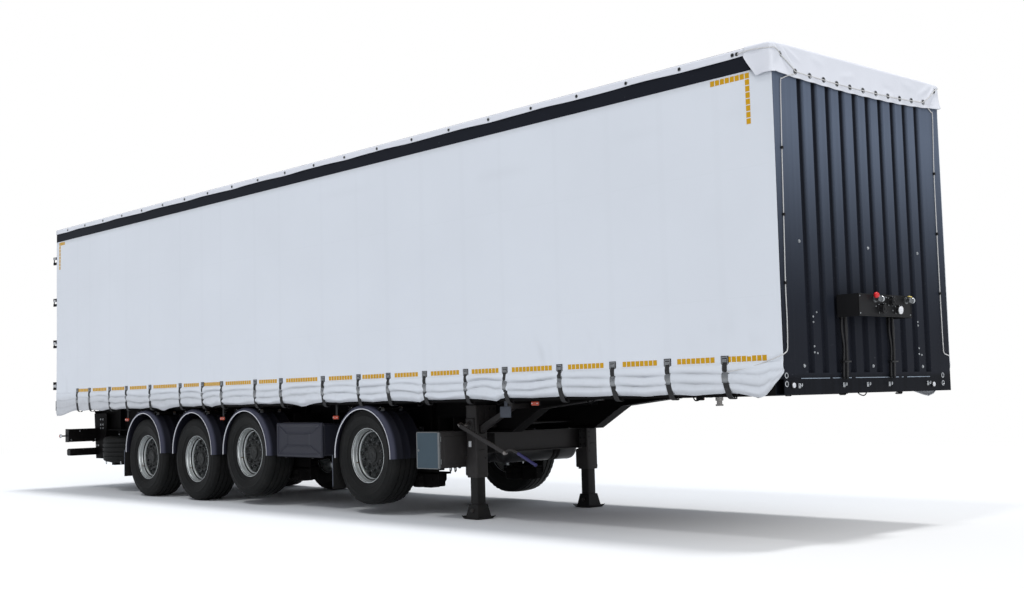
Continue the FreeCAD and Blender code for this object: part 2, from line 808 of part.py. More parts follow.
def hanger(distance):
    """Bracket under the main beam, with the pin of the arm's pivot."""
    x = at(distance) + pivot_reach
    plates = []
    for side in (-1, 1):
        y0 = web_y + side * (arm_width / 2 + hanger_gap)
        y1 = y0 + side * hanger_plate
        plates.append(side_prism([(x - hanger_length / 2, beam_bottom),
                                  (x - hanger_tip, pivot_height - hanger_tip),
                                  (x + hanger_tip, pivot_height - hanger_tip),
                                  (x + hanger_length / 2, beam_bottom)], y0, y1))
    reach = arm_width / 2 + hanger_gap + hanger_plate
    back = block(x + hanger_back, x + hanger_length / 2 - hanger_back_inset, web_y - reach, web_y + reach,
                 beam_bottom - hanger_back_height, beam_bottom)
    pin = rod(V(x, web_y - reach, pivot_height), V(x, web_y + reach, pivot_height), pivot_pin_radius)
    return fused(plates + [back, pin])


def air_spring(distance, z):
    x = at(distance) - tail_reach
    low = spring_seat(z)
    return Part.makeCylinder(air_spring_radius, beam_bottom - low, V(x, web_y, low))


def guard_centre(z, raised):
    return z if raised else z + guard_rise


def mudguard(distance, z, raised):
    """Half-round guard with an outer lip, on a stay from the main beam."""
    x, zc = at(distance), guard_centre(z, raised)
    outer_r, y1 = guard_radius + guard_thickness, guard_outer
    y0 = y1 - guard_width
    full = rod(V(x, y0, zc), V(x, y1, zc), outer_r)
    inside = rod(V(x, y0 - 1, zc), V(x, y1 - guard_side, zc), guard_radius)
    mouth = rod(V(x, y0 - 1, zc), V(x, y1 + 1, zc), guard_radius - guard_lip)
    arch = full.cut(Part.makeCompound([inside])).cut(mouth)
    arch = arch.cut(block(x - outer_r - 1, x + outer_r + 1, y0 - 1, y1 + 1, zc - outer_r - 1, zc))
    skirts = []
    for side in (-1, 1):
        xa, xb = x + side * guard_radius, x + side * outer_r
        skirts.append(block(xa, xb, y0, y1, zc - guard_skirt, zc))
        skirts.append(block(x + side * (guard_radius - guard_lip), xb, y1 - guard_side, y1,
                            zc - guard_skirt, zc))
    top = zc + outer_r
    stay = block(x - stay_width / 2, x + stay_width / 2, web_y + web_thickness / 2, rail_inner - stay_sink,
                 top - stay_sink, top - stay_sink + stay_thickness)
    return fused([arch] + skirts + [stay])


def mudflap(distance, z, raised):
    """Flap hung behind a guard's rear end."""
    x = at(distance) - guard_radius - guard_thickness
    top = guard_centre(z, raised)
    return block(x - flap_thickness, x, guard_outer - guard_width, guard_outer, flap_bottom, top)


# ---------------------------------------------------------------- landing gear
def leg_housing():
    """Outer tube of one leg, with its bracket to the main beam."""
    x, y, h = at(leg_place), leg_spacing / 2, leg_section / 2
    tube = block(x - h, x + h, y - h, y + h, leg_bottom, leg_top)
    bore_half = foot_section / 2 + seat_gap
    tube = tube.cut(block(x - bore_half, x + bore_half, y - bore_half, y + bore_half,
                          leg_bottom - 1, leg_top - leg_cap))
    bracket = block(x - h, x + h, web_y + flange_width / 2, y - h, beam_bottom + bracket_rise, leg_top)
    inner = block(x - h, x + h, web_y + web_thickness / 2, y - h, beam_bottom + flange_thickness + bracket_gap,
                  leg_top)
    return fused([tube, bracket, inner])


def leg_foot():
    """Inner tube with its foot block and sand shoe."""
    x, y, h = at(leg_place), leg_spacing / 2, foot_section / 2
    tube = block(x - h, x + h, y - h, y + h, shoe_thickness, leg_top - foot_tube_drop)
    f, s, c = foot_block / 2, shoe_length / 2, shoe_bend
    foot = side_prism([(x - f, shoe_thickness), (x + f, shoe_thickness), (x + h, foot_top), (x - h, foot_top)],
                      y - f * foot_share, y + f * foot_share)
    shoe = side_prism([(x - s, c), (x - s + c, 0), (x + s - c, 0), (x + s, c), (x + s, c + shoe_thickness),
                       (x + s - c, shoe_thickness), (x - s + c, shoe_thickness), (x - s, c + shoe_thickness)],
                      y - s * shoe_share, y + s * shoe_share)
    return fused([tube, foot, shoe])


def leg_brace():
    """Channel between the legs, and a stay from each leg up to the main beam."""
    x, inner = at(leg_place), leg_spacing / 2 - leg_section / 2
    d, t = brace_depth / 2, brace_wall
    outline = [(x - d, brace_bottom), (x + d, brace_bottom), (x + d, brace_bottom + t),
               (x - d + t, brace_bottom + t), (x - d + t, brace_top - t), (x + d, brace_top - t),
               (x + d, brace_top), (x - d, brace_top)]
    channel = side_prism(outline, -inner, inner)
    return [channel]


def leg_stay():
    """Diagonal bar from a leg forwards and up to the main beam."""
    x0 = at(leg_place) + leg_section / 2
    x1 = at(stay_end)
    y0 = leg_spacing / 2 - stay_inset
    bar = side_prism([(x0, brace_top), (x1, stay_height), (x1, stay_height + stay_bar),
                      (x0, brace_top + stay_root)], y0, y0 + stay_bar)
    foot = block(x1 - stay_foot, x1, web_y + web_thickness / 2, y0 + stay_bar, stay_height,
                 stay_height + stay_bar)
    return fused([bar, foot])


def leg_crank():
    """Cross shaft, gearbox hub and folded crank on the right leg."""
    x, y = at(leg_place), leg_spacing / 2 + leg_section / 2
    hub_z, arm_y = crank_height, -crank_y - crank_offset
    shaft = rod(V(x, -y, hub_z), V(x, -y - crank_shaft_length, hub_z), crank_shaft_radius)
    plate = block(x - gearbox_half, x + gearbox_half, -y - gearbox_depth, -y, hub_z - gearbox_rise,
                  hub_z + gearbox_rise)
    fold = V(x, -crank_y, hub_z)
    stub = rod(V(x, -y - crank_stub_start, hub_z), fold, crank_stub_radius)
    elbow, middle, tip = [V(at(d), arm_y, z) for d, z in (crank_elbow, crank_bend, crank_tip)]
    runs = zip(((fold, elbow), (elbow, middle), (middle, tip)), crank_radii)
    bars = [rod(start, end, radius) for (start, end), radius in runs]
    ends = zip(crank_joint_radii, (elbow, middle, fold))
    joints = [Part.makeSphere(radius, point) for radius, point in ends]
    return [fused([shaft, plate, stub] + bars + joints)]


# ---------------------------------------------------------------- boxes and tanks
def hung_box(front, rear, inner, outer, bottom, top, hang_from, hang_to):
    """Closed box with two plates on its top that carry it."""
    x0, x1 = at(rear), at(front)
    body = block(x0, x1, inner, outer, bottom, top)
    plates = []
    for x in (x0 + bracket_inset, x1 - bracket_inset - bracket_plate):
        plates.append(block(x, x + bracket_plate, hang_to, (inner + outer) / 2, top, hang_from))
    return fused([body] + plates)


def toolboxes():
    hung = hung_box(toolbox_front, toolbox_rear, toolbox_inner, toolbox_outer, toolbox_bottom, toolbox_top,
                    toolbox_top + toolbox_hang, web_y + web_thickness / 2)
    return both_sides([hung])


def control_box():
    """Box behind the right leg; its plates stand on the lower flange and reach the web."""
    return [mirrored(hung_box(control_front, control_rear, control_inner, control_outer, control_bottom,
                              control_top, control_top + control_hang, web_y + web_thickness / 2))]


def air_tanks():
    """Two air tanks across the trailer, hung from the left beam."""
    tanks = []
    for d in tank_places:
        x, (y0, y1) = at(d), tank_ends
        body = rod(V(x, y0, tank_height), V(x, y1, tank_height), tank_radius)
        caps = rod(V(x, y0 - tank_cap, tank_height), V(x, y1 + tank_cap, tank_height),
                   tank_radius - tank_cap_step)
        hangers = [block(x - tank_strap / 2, x + tank_strap / 2, y - tank_strap_half, y + tank_strap_half,
                         tank_height + tank_radius - tank_strap_sink, beam_bottom)
                   for y in (web_y - tank_strap_place, web_y + tank_strap_place)]
        tanks.append(fused([body, caps] + hangers))
    return tanks


# ---------------------------------------------------------------- rear end
def rear_bumper():
    """Lamp beam and under-run bar on two plates below the main beams."""
    x0 = rear_x + bumper_face
    x1 = x0 + lamp_beam_depth
    beam = block(x0, x1, -lamp_beam_half, lamp_beam_half, lamp_beam_bottom,
                 lamp_beam_bottom + lamp_beam_height)
    low, high = under_bar_bottom - bumper_edge, rail_bottom - bumper_edge
    bar = block(x0, x1, -under_bar_half, under_bar_half, under_bar_bottom, under_bar_bottom + under_bar_height)
    corners = [edge for edge in bar.Edges if abs(edge.Length - lamp_beam_depth) < 1]
    bar = bar.makeFillet(under_bar_corner, corners)
    plates = []
    for side in (-1, 1):
        y0 = side * (web_y + flange_width / 2)
        outline = [(x0 - plate_front, high), (x0 + plate_cut, low), (x1 + bumper_foot, low),
                   (x1 + bumper_head, beam_bottom + bumper_edge), (x1 + bumper_head, high)]
        plates.append(side_prism(outline, y0, y0 + side * bumper_plate))
    return [fused([beam, bar] + plates)]


def rear_lamps():
    """Tail lamps on the lamp beam, and a small position lamp on an arm at each end."""
    x0 = rear_x + bumper_face
    mid = lamp_beam_bottom + lamp_beam_height / 2
    lamp = block(x0 - lamp_depth, x0, lamp_beam_half - lamp_end - lamp_width, lamp_beam_half - lamp_end,
                 mid - lamp_height / 2, mid + lamp_height / 2)
    tip_start = lamp_beam_half + tip_arm_reach
    arm = block(x0 + tip_arm[0], x0 + tip_arm[1], lamp_beam_half, tip_start, mid + tip_arm_heights[0],
                mid + tip_arm_heights[1])
    tip = block(x0, x0 + tip_length, tip_start, half_width - tip_gap, mid + tip_heights[0],
                mid + tip_heights[1])
    return both_sides([lamp, fused([arm, tip])])


def spare_wheel():
    """Spare tyre lying flat with its rim."""
    x, y, z = at(spare_place), spare_y, spare_bottom + tyre_width / 2
    half, tread = tyre_width / 2, tread_width / 2
    outline = [(bead_radius, -bead_half), (tyre_shoulder_radius, -half), (tyre_radius, -tread),
               (tyre_radius, tread), (tyre_shoulder_radius, half), (bead_radius, bead_half)]
    wire = Part.makePolygon([V(x + r, y, z + d) for r, d in outline + [outline[0]]])
    ring = Part.Face(wire).revolve(V(x, y, z), V(0, 0, 1), 360)
    shell = Part.makeCylinder(bead_radius + spare_overlap, rim_width, V(x, y, z - rim_width / 2))
    well = Part.makeCylinder(bead_radius - rim_well, rim_width, V(x, y, z + disc_thickness))
    under = Part.makeCylinder(bead_radius - rim_well, rim_width, V(x, y, z - rim_width))
    centre = Part.makeCylinder(spare_bore, rim_width * 2, V(x, y, z - rim_width))
    return [fused([ring, shell.cut(well).cut(under).cut(centre)])]


def spare_carrier():
    """Cross-shaped cradle under the spare wheel, hung from the right main beam."""
    x, top, half = at(spare_place), spare_bottom, carrier_bar / 2
    bar = block(x - carrier_reach - half, x + carrier_reach + half, -web_y - half, -web_y + half,
                top - carrier_depth, top)
    cross = block(x - carrier_bar, x + carrier_bar, spare_y - carrier_arm, spare_y + carrier_arm,
                  top - carrier_depth, top)
    hangers = [block(x + s * carrier_reach - half, x + s * carrier_reach + half, -web_y - half, -web_y + half,
                     top, beam_bottom) for s in (-1, 1)]
    return [fused([bar, cross] + hangers)]


# ---------------------------------------------------------------- lamps and lines
def side_markers():
    lamps = []
    for d, z in marker_places:
        x0, x1 = at(d) - marker_length / 2, at(d) + marker_length / 2
        back = marker_outer - marker_depth
        lamp = block(x0, x1, back, marker_outer, z, z + marker_height)
        tab = block(at(d) - marker_tab_half, at(d) + marker_tab_half, back, back + marker_tab,
                    z + marker_height, rail_bottom)
        lamps.append(fused([lamp, tab]) if z + marker_height < rail_bottom else lamp)
    return both_sides(lamps)


def connection_panel():
    return [block(front_x, front_x + panel_depth, -panel_right, panel_left, panel_bottom,
                  panel_bottom + panel_height)]


def couplings():
    """Two air couplings and three round sockets on the panel's face."""
    x, top = front_x + panel_depth, panel_bottom + panel_height
    pieces = []
    for y in coupling_places:
        z, head_x = top - coupling_drop, x + coupling_reach - coupling_head_back
        body = rod(V(x, y, z), V(x + coupling_reach - coupling_body_end, y, z), coupling_body_radius)
        head = rod(V(head_x, y, top - coupling_head_low), V(head_x, y, top + coupling_head_high),
                   coupling_head_radius)
        pieces.append(fused([body, head]))
    for y, rise, radius in sockets:
        face, z = x + socket_reach, panel_bottom + rise
        socket = rod(V(x, y, z), V(face, y, z), radius)
        cap = rod(V(face, y, z), V(face + socket_cap, y, z), radius - socket_cap_step)
        pieces.append(fused([socket, cap]))
    return pieces


def air_lines():
    """Two sheathed lines from the underside of the panel to the front sill."""
    pieces = []
    for y in line_places:
        x = front_x + line_stand_off
        tube = rod(V(x, y, panel_bottom), V(x, y, sill_top - line_end), line_radius)
        clip = block(front_x, x + line_radius, y - clip_half, y + clip_half, sill_top - clip_low,
                     sill_top - clip_high)
        pieces.append(fused([tube, clip]))
    return pieces


# ---------------------------------------------------------------- output
save("main_beams", both_sides([main_beam()]))
save("cross_members", [cross_member(d) for d in cross_places])
save("side_rails", both_sides([side_rail()]))
save("end_sills", end_sills())
save("deck", deck())
save("front_wall", front_wall())
save("front_frame", front_frame())
save("rear_frame", rear_frame())
save("cantrails", both_sides([cantrail()]))
save("roof_bows", roof_bows())
save("roof_sheet", roof_sheet_solid())
save("curtain_left", [curtain()])
save("curtain_right", [mirrored(curtain())])
save("curtain_buckles", curtain_buckles())
save("stanchions", stanchions())
save("door_left", [left_door()])
save("door_right", [mirrored(left_door())])
save("door_hinges", both_sides(left_hinges()))
save("lock_rods_left", left_lock_rods())
save("lock_rods_right", [mirrored(piece) for piece in left_lock_rods()])
save("skid_plate", skid_plate())
save("king_pin", king_pin())
save("axle_beams", [axle(place, wheel_z[name]) for name, place, raised in axles])
save("trailing_arms", both_sides([trailing_arm(place, wheel_z[name]) for name, place, raised in axles]))
save("arm_hangers", both_sides([hanger(place) for name, place, raised in axles]))
save("air_springs", both_sides([air_spring(place, wheel_z[name]) for name, place, raised in axles]))
for name, place, raised in axles:
    height = wheel_z[name]
    for side_name, side in (("left", 1), ("right", -1)):
        save("tyre_%s_%s" % (name, side_name), [tyre(at(place), side * wheel_y, height)])
        save("rim_%s_%s" % (name, side_name), [rim(at(place), side * wheel_y, height, side)])
save("mudguards", both_sides([mudguard(place, wheel_z[name], raised) for name, place, raised in axles]))
save("mudflaps", both_sides([mudflap(axles[i][1], wheel_z[axles[i][0]], axles[i][2]) for i in (0, 3)]))
save("leg_housings", both_sides([leg_housing()]))
save("leg_feet", both_sides([leg_foot()]))
save("leg_braces", leg_brace() + both_sides([leg_stay()]))
save("leg_crank", leg_crank())
save("toolboxes", toolboxes())
save("control_box", control_box())
save("air_tanks", air_tanks())
save("rear_bumper", rear_bumper())
save("rear_lamps", rear_lamps())
save("spare_wheel", spare_wheel())
save("spare_carrier", spare_carrier())
save("side_markers", side_markers())
save("connection_panel", connection_panel())
save("couplings", couplings())
save("air_lines", air_lines())
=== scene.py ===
"""Looks of a curtain-sided semi trailer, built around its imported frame.

Frame: metres, +X towards the front wall, +Y to the trailer's left, +Z up.
Places along the trailer are distances behind the front wall's outer face: at(d) gives X.
A part is (points, faces): an array of points and a list of arrays of faces, one for each number of corners.
"""
import math

import bmesh
import bpy
import numpy as np
from bpy.props import FloatProperty, FloatVectorProperty, IntProperty, PointerProperty
from mathutils import Matrix, Vector


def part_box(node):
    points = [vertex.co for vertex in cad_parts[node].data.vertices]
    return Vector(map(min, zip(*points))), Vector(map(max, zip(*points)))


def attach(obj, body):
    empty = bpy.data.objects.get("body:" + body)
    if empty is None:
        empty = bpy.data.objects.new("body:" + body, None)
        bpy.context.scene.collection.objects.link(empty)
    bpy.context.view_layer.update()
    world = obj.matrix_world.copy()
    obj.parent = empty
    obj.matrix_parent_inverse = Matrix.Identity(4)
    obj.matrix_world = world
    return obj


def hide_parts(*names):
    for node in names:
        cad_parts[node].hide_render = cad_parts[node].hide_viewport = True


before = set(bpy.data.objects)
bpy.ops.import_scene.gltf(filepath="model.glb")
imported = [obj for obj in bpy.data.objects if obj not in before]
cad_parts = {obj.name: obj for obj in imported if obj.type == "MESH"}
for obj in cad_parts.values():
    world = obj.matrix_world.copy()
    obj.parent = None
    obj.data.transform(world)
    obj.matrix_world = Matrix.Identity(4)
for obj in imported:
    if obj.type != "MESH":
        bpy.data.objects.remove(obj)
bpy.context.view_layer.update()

bl_info = {"name": "Curtain-sided trailer", "version": (1, 0, 0), "blender": (4, 5, 0),
    "location": "View3D > Sidebar > Trailer",
    "description": "Finishes, cloth, wheels and fittings of a curtain-sided semi trailer",
    "category": "Object",
}

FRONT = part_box("front_frame")[1].x
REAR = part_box("door_left")[1].x - 0.04
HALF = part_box("cantrails")[1].y
CANTRAIL_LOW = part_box("cantrails")[0].z
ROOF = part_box("roof_sheet")[1].z
LEG = FRONT - 4.185  # X of the landing legs
BEAM_FACE = 0.604  # Y of the plates on the main beams' outer faces
MERGE = 1e-5  # points nearer than this become one
ORIGIN, X, Y, Z = (0, 0, 0), (1, 0, 0), (0, 1, 0), (0, 0, 1)
BACK, RIGHT = (-1, 0, 0), (0, -1, 0)
WHEELS = ["%d_%s" % (n, side) for n in (1, 2, 3, 4) for side in ("left", "right")]


def at(distance):
    """X of a place that lies this far behind the front wall."""
    return FRONT - distance


def mm(*rows):
    """Rows of millimetres as metres."""
    return [tuple(value / 1000 for value in row) for row in rows]


# ---------------------------------------------------------------- properties
def length(name, default, description):
    """A size in metres that a user may change."""
    return FloatProperty(name=name, default=default, description=description, unit="LENGTH", precision=4)


def colour(name, default, description):
    """A finish's colour, as linear light."""
    return FloatVectorProperty(name=name, default=default, description=description, subtype="COLOR", size=3,
        min=0.0, max=1.0)


def level(name, default, description):
    """A plain number that a user may change."""
    return FloatProperty(name=name, default=default, description=description)


class TrailerColours(bpy.types.PropertyGroup):
    """Colours of the trailer's finishes."""
    cloth: colour("Curtain", (0.672, 0.708, 0.765), "Coated cloth of the curtains")
    roof: colour("Roof", (0.7, 0.72, 0.78), "Coated cloth of the roof and its front flap")
    wall: colour("Wall", (0.028, 0.032, 0.046), "Paint of the front wall, posts and top rails")
    chassis: colour("Chassis", (0.0042, 0.0038, 0.004), "Paint of the beams and the suspension")
    legs: colour("Legs", (0.022, 0.02, 0.02), "Paint of the landing legs")
    guard: colour("Mudguards", (0.018, 0.019, 0.029), "Moulded plastic of mudguards and toolboxes")
    trim: colour("Guard trim", (0.55, 0.56, 0.6), "Pale edge along the mudguards")
    rubber: colour("Rubber", (0.0065, 0.0068, 0.0068), "Tyres and flaps")
    rim: colour("Rims", (0.6, 0.63, 0.63), "Silver paint of the wheels")
    steel: colour("Zinc", (0.52, 0.54, 0.56), "Zinc-plated steel")
    tape: colour("Tape", (0.66, 0.36, 0.003), "Yellow marking tape")
    door: colour("Doors", (0.66, 0.68, 0.72), "Paint of the rear doors")
    control: colour("Control box", (0.042, 0.066, 0.085), "Paint of the control box's door")


class TrailerCloth(bpy.types.PropertyGroup):
    """How the curtains and the roof hang."""
    thickness: length("Thickness", 0.002, "Thickness of the coated cloth")
    fold: length("Fold depth", 0.026, "Depth of the level folds under the tape")
    belly: length("Belly", 0.011, "How far the lower band stands out between two buckles")
    wave: length("Wave", 0.0035, "Depth of the long waves of the upper curtain")
    rope: length("Rope radius", 0.0045, "Radius of the customs rope")


class TrailerWheels(bpy.types.PropertyGroup):
    """Sizes of the tyres' tread and of the wheels' fittings."""
    groove: length("Groove depth", 0.013, "Depth of the tread's grooves")
    notch: length("Notch depth", 0.006, "Depth of the notches in the tread's outer ribs")
    notches: IntProperty(name="Notches", default=48, description="Notches round one tyre")
    nuts: IntProperty(name="Nuts", default=10, description="Wheel nuts on one hub")
    nut_circle: length("Nut circle", 0.1675, "Radius of the circle that the nuts stand on")
    disc: length("Disc offset", 0.05, "Distance of the disc's face outward from the middle of the tyre")


class TrailerStage(bpy.types.PropertyGroup):
    """Floor, light and camera."""
    ambient: level("Ambient", 0.54, "Strength of the light from all round")
    key: level("Key", 2.0, "Strength of the soft light from above")
    fill: level("Fill", 0.8, "Strength of the soft light from the front")
    graze: level("Graze", 0.6, "Strength of the light that grazes the curtain from above")
    floor: level("Floor", 0.765, "Grey level of the floor")
    lens: level("Lens", 45.85, "Focal length of the camera in millimetres")


# ---------------------------------------------------------------- shapes
def grid(points, close_u=False, close_v=False):
    """Surface sampled at (u, v): each cell between neighbouring samples is one quad."""
    nu, nv = points.shape[:2]
    i, j = np.meshgrid(np.arange(nu - 1 + close_u), np.arange(nv - 1 + close_v), indexing="ij")
    i, j = i.ravel(), j.ravel()
    i1, j1 = (i + 1) % nu, (j + 1) % nv
    return points.reshape(-1, 3), [np.stack([i * nv + j, i1 * nv + j, i1 * nv + j1, i * nv + j1], 1)]


def joined(parts):
    """One part out of several."""
    shift, points, faces = 0, [], []
    for part_points, part_faces in parts:
        points.append(part_points)
        faces += [face + shift for face in part_faces]
        shift += len(part_points)
    return np.concatenate(points), faces


def unit(vectors):
    """The same directions at length one."""
    vectors = np.asarray(vectors, float)
    return vectors / np.linalg.norm(vectors, axis=-1, keepdims=True)


def basis(axis):
    """The axis and two directions square to it and to each other."""
    a = unit(axis)
    b = unit(np.cross((0.0, 0.0, 1.0) if abs(a[2]) < 0.9 else (0.0, 1.0, 0.0), a))
    return a, b, np.cross(a, b)


def turned(profile, centre, axis, steps=32, phase=0.0):
    """Profile of (radius, along) points turned about an axis:
    centre + along * axis + radius * (cos t, sin t)."""
    profile = np.asarray(profile, float)
    a, b, c = basis(axis)
    t = phase + np.arange(steps) * 2 * math.pi / steps
    ring = np.cos(t)[:, None] * b + np.sin(t)[:, None] * c
    points = (np.asarray(centre, float) + profile[None, :, 1, None] * a
        + profile[None, :, 0, None] * ring[:, None])
    return grid(points, close_u=True)


def oblong(wide, high):
    """Closed rectangular profile of these half sizes."""
    return [(-wide, -high), (wide, -high), (wide, high), (-wide, high)]


def cylinder(radius, low, high, centre, axis, steps=32, bore=0):
    """Plain round bar between two heights along its axis; with a bore it is a tube without ends."""
    return turned([(bore, low), (radius, low), (radius, high), (bore, high)], centre, axis, steps)


def circle(radius, sides, flat=1.0):
    """Closed round profile; flat squeezes its second direction."""
    t = np.arange(sides) * 2 * math.pi / sides
    return np.stack([np.cos(t) * radius, np.sin(t) * radius * flat], 1)


def carried(profile, path, across, ends=True, closed=True, scale=1.0):
    """Profile of (side, up) points carried along a path: path + side * s + up * n,
    s made square to the path."""
    path, profile = np.asarray(path, float), np.asarray(profile, float)
    tangent = unit(np.gradient(path, axis=0))
    across = np.broadcast_to(np.asarray(across, float), path.shape)
    side = unit(across - (across * tangent).sum(1, keepdims=True) * tangent)
    up = np.cross(tangent, side)
    size = np.broadcast_to(scale, (len(path),))[:, None, None]
    points = (path[:, None]
        + size * (profile[None, :, 0, None] * side[:, None] + profile[None, :, 1, None] * up[:, None]))
    points, faces = grid(points, close_v=closed)
    if ends:
        k = len(profile)
        faces += [np.arange(k)[None, ::-1], np.arange(k)[None] + len(points) - k]
    return points, faces


def smooth_path(corners, count):
    """Path of count points through the corners, eased with a Catmull-Rom curve."""
    p = np.asarray(corners, float)
    p = np.concatenate([2 * p[:1] - p[1:2], p, 2 * p[-1:] - p[-2:-1]])
    t = np.linspace(0, len(corners) - 1, count)
    i = np.minimum(t.astype(int), len(corners) - 2)
    f = (t - i)[:, None]
    a, b, c, d = p[i], p[i + 1], p[i + 2], p[i + 3]
    return (0.5 * (2 * b + (c - a) * f + (2 * a - 5 * b + 4 * c - d) * f ** 2
        + (3 * b - a - 3 * c + d) * f ** 3))


def box_faces():
    """Faces of a box whose corners are each cut to three points: point 3 * corner + k lies on face k."""
    signs = np.array([[x, y, z] for x in (-1, 1) for y in (-1, 1) for z in (-1, 1)])
    flats, edges = [], []
    for k in range(3):
        m, n = [(k + 1) % 3, (k + 2) % 3]
        for s in (-1, 1):
            on = [i for i in range(8) if signs[i, k] == s]
            on.sort(key=lambda i: math.atan2(signs[i, n], signs[i, m]))
            flats.append([3 * i + k for i in on])
        for i in range(8):
            for j in range(i + 1, 8):
                if (signs[i] != signs[j]).sum() == 1 and signs[i, k] != signs[j, k]:
                    edges.append([3 * i + m, 3 * j + m, 3 * j + n, 3 * i + n])
    corners = [[3 * i, 3 * i + 1, 3 * i + 2] for i in range(8)]
    return signs, [np.array(flats + edges), np.array(corners)]


BOX_SIGNS, BOX_FACES = box_faces()


def block(low, high, edge=0.003):
    """Box with its edges cut back by edge: middle + sign * (half - edge on the two other axes)."""
    low, high = np.minimum(low, high), np.maximum(low, high)
    half = (high - low) / 2
    edge = min(edge, half.min() * 0.9)
    inset = half - edge * (1 - np.eye(3))
    points = (low + high) / 2 + (BOX_SIGNS[:, None] * inset[None]).reshape(-1, 3)
    return points, BOX_FACES


def mirror(part):
    """The same part on the trailer's other side."""
    points, faces = part
    return points * (1, -1, 1), [face[:, ::-1] for face in faces]


def both(parts):
    """The parts and their mirror images."""
    return list(parts) + [mirror(part) for part in parts]


def moved(part, matrix):
    """The part under a 4x4 matrix."""
    points, faces = part
    m = np.array(matrix)
    return points @ m[:3, :3].T + m[:3, 3], faces


def copies(part, places):
    """The part once at each of the places."""
    points, faces = part
    places = np.asarray(places, float).reshape(-1, 3)
    shift = (np.arange(len(places)) * len(points))[:, None, None]
    moved_faces = [(face[None] + shift).reshape(-1, face.shape[1]) for face in faces]
    return (points[None] + places[:, None]).reshape(-1, 3), moved_faces


def bolt(radius, height, axis):
    """Hexagonal head on a round washer, its foot at the origin."""
    washer = cylinder(radius * 1.35, 0, height * 0.2, ORIGIN, axis, 14)
    head = turned([(0, height * 0.2), (radius, height * 0.2), (radius, height * 0.85), (radius * 0.8, height),
        (0, height)], ORIGIN, axis, 6)
    return joined([washer, head])


def bolt_row(radius, height, axis, places):
    """Bolts of one kind, one at each of the places."""
    return copies(bolt(radius, height, axis), places)


def piece(name, parts, replaces=(), angle=32.0, body="chassis", merge=True, attributes=None):
    """One object from (part or parts, finish) pairs, riding on a body; each part takes the finish of that
    name."""
    parts = [(joined(part) if isinstance(part, list) else part, finish(look)) for part, look in parts]
    mesh = bpy.data.meshes.new(name)
    points, faces = joined([part for part, material in parts])
    corners = np.concatenate([face.ravel() for face in faces])
    sizes = np.concatenate([np.full(len(face), face.shape[1]) for face in faces])
    materials = list(dict.fromkeys(material for part, material in parts))
    finished = np.concatenate([np.full(sum(map(len, part[1])), materials.index(material))
        for part, material in parts])
    mesh.vertices.add(len(points))
    mesh.vertices.foreach_set("co", points.ravel())
    mesh.loops.add(len(corners))
    mesh.loops.foreach_set("vertex_index", corners)
    mesh.polygons.add(len(sizes))
    mesh.polygons.foreach_set("loop_start", np.cumsum(sizes) - sizes)
    mesh.polygons.foreach_set("material_index", finished)
    for key, values in (attributes or {}).items():
        mesh.attributes.new(key, "FLOAT", "POINT").data.foreach_set("value", values.ravel())
    mesh.update()
    if merge:
        shell = bmesh.new()
        shell.from_mesh(mesh)
        bmesh.ops.remove_doubles(shell, verts=shell.verts, dist=MERGE)
        bmesh.ops.recalc_face_normals(shell, faces=shell.faces)
        shell.to_mesh(mesh)
        shell.free()
    mesh.validate()
    mesh.polygons.foreach_set("use_smooth", np.ones(len(mesh.polygons), bool))
    mesh.set_sharp_from_angle(angle=math.radians(angle))
    for material in materials:
        mesh.materials.append(material)
    made = bpy.data.objects.new(name, mesh)
    bpy.context.scene.collection.objects.link(made)
    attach(made, body)
    if replaces:
        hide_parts(*replaces)
    return made


# ---------------------------------------------------------------- materials
class Value:
    """A shader's socket that can be used in sums: each sign adds a Math node."""

    def __init__(self, shader, socket):
        self.shader, self.socket = shader, socket

    def math(self, operation, *values):
        return self.shader.math(operation, *values)

    def __add__(self, other):
        return self.math("ADD", self, other)

    def __sub__(self, other):
        return self.math("SUBTRACT", self, other)

    def __rsub__(self, other):
        return self.math("SUBTRACT", other, self)

    def __mul__(self, other):
        return self.math("MULTIPLY", self, other)

    def __truediv__(self, other):
        return self.math("DIVIDE", self, other)

    __radd__ = __add__
    __rmul__ = __mul__


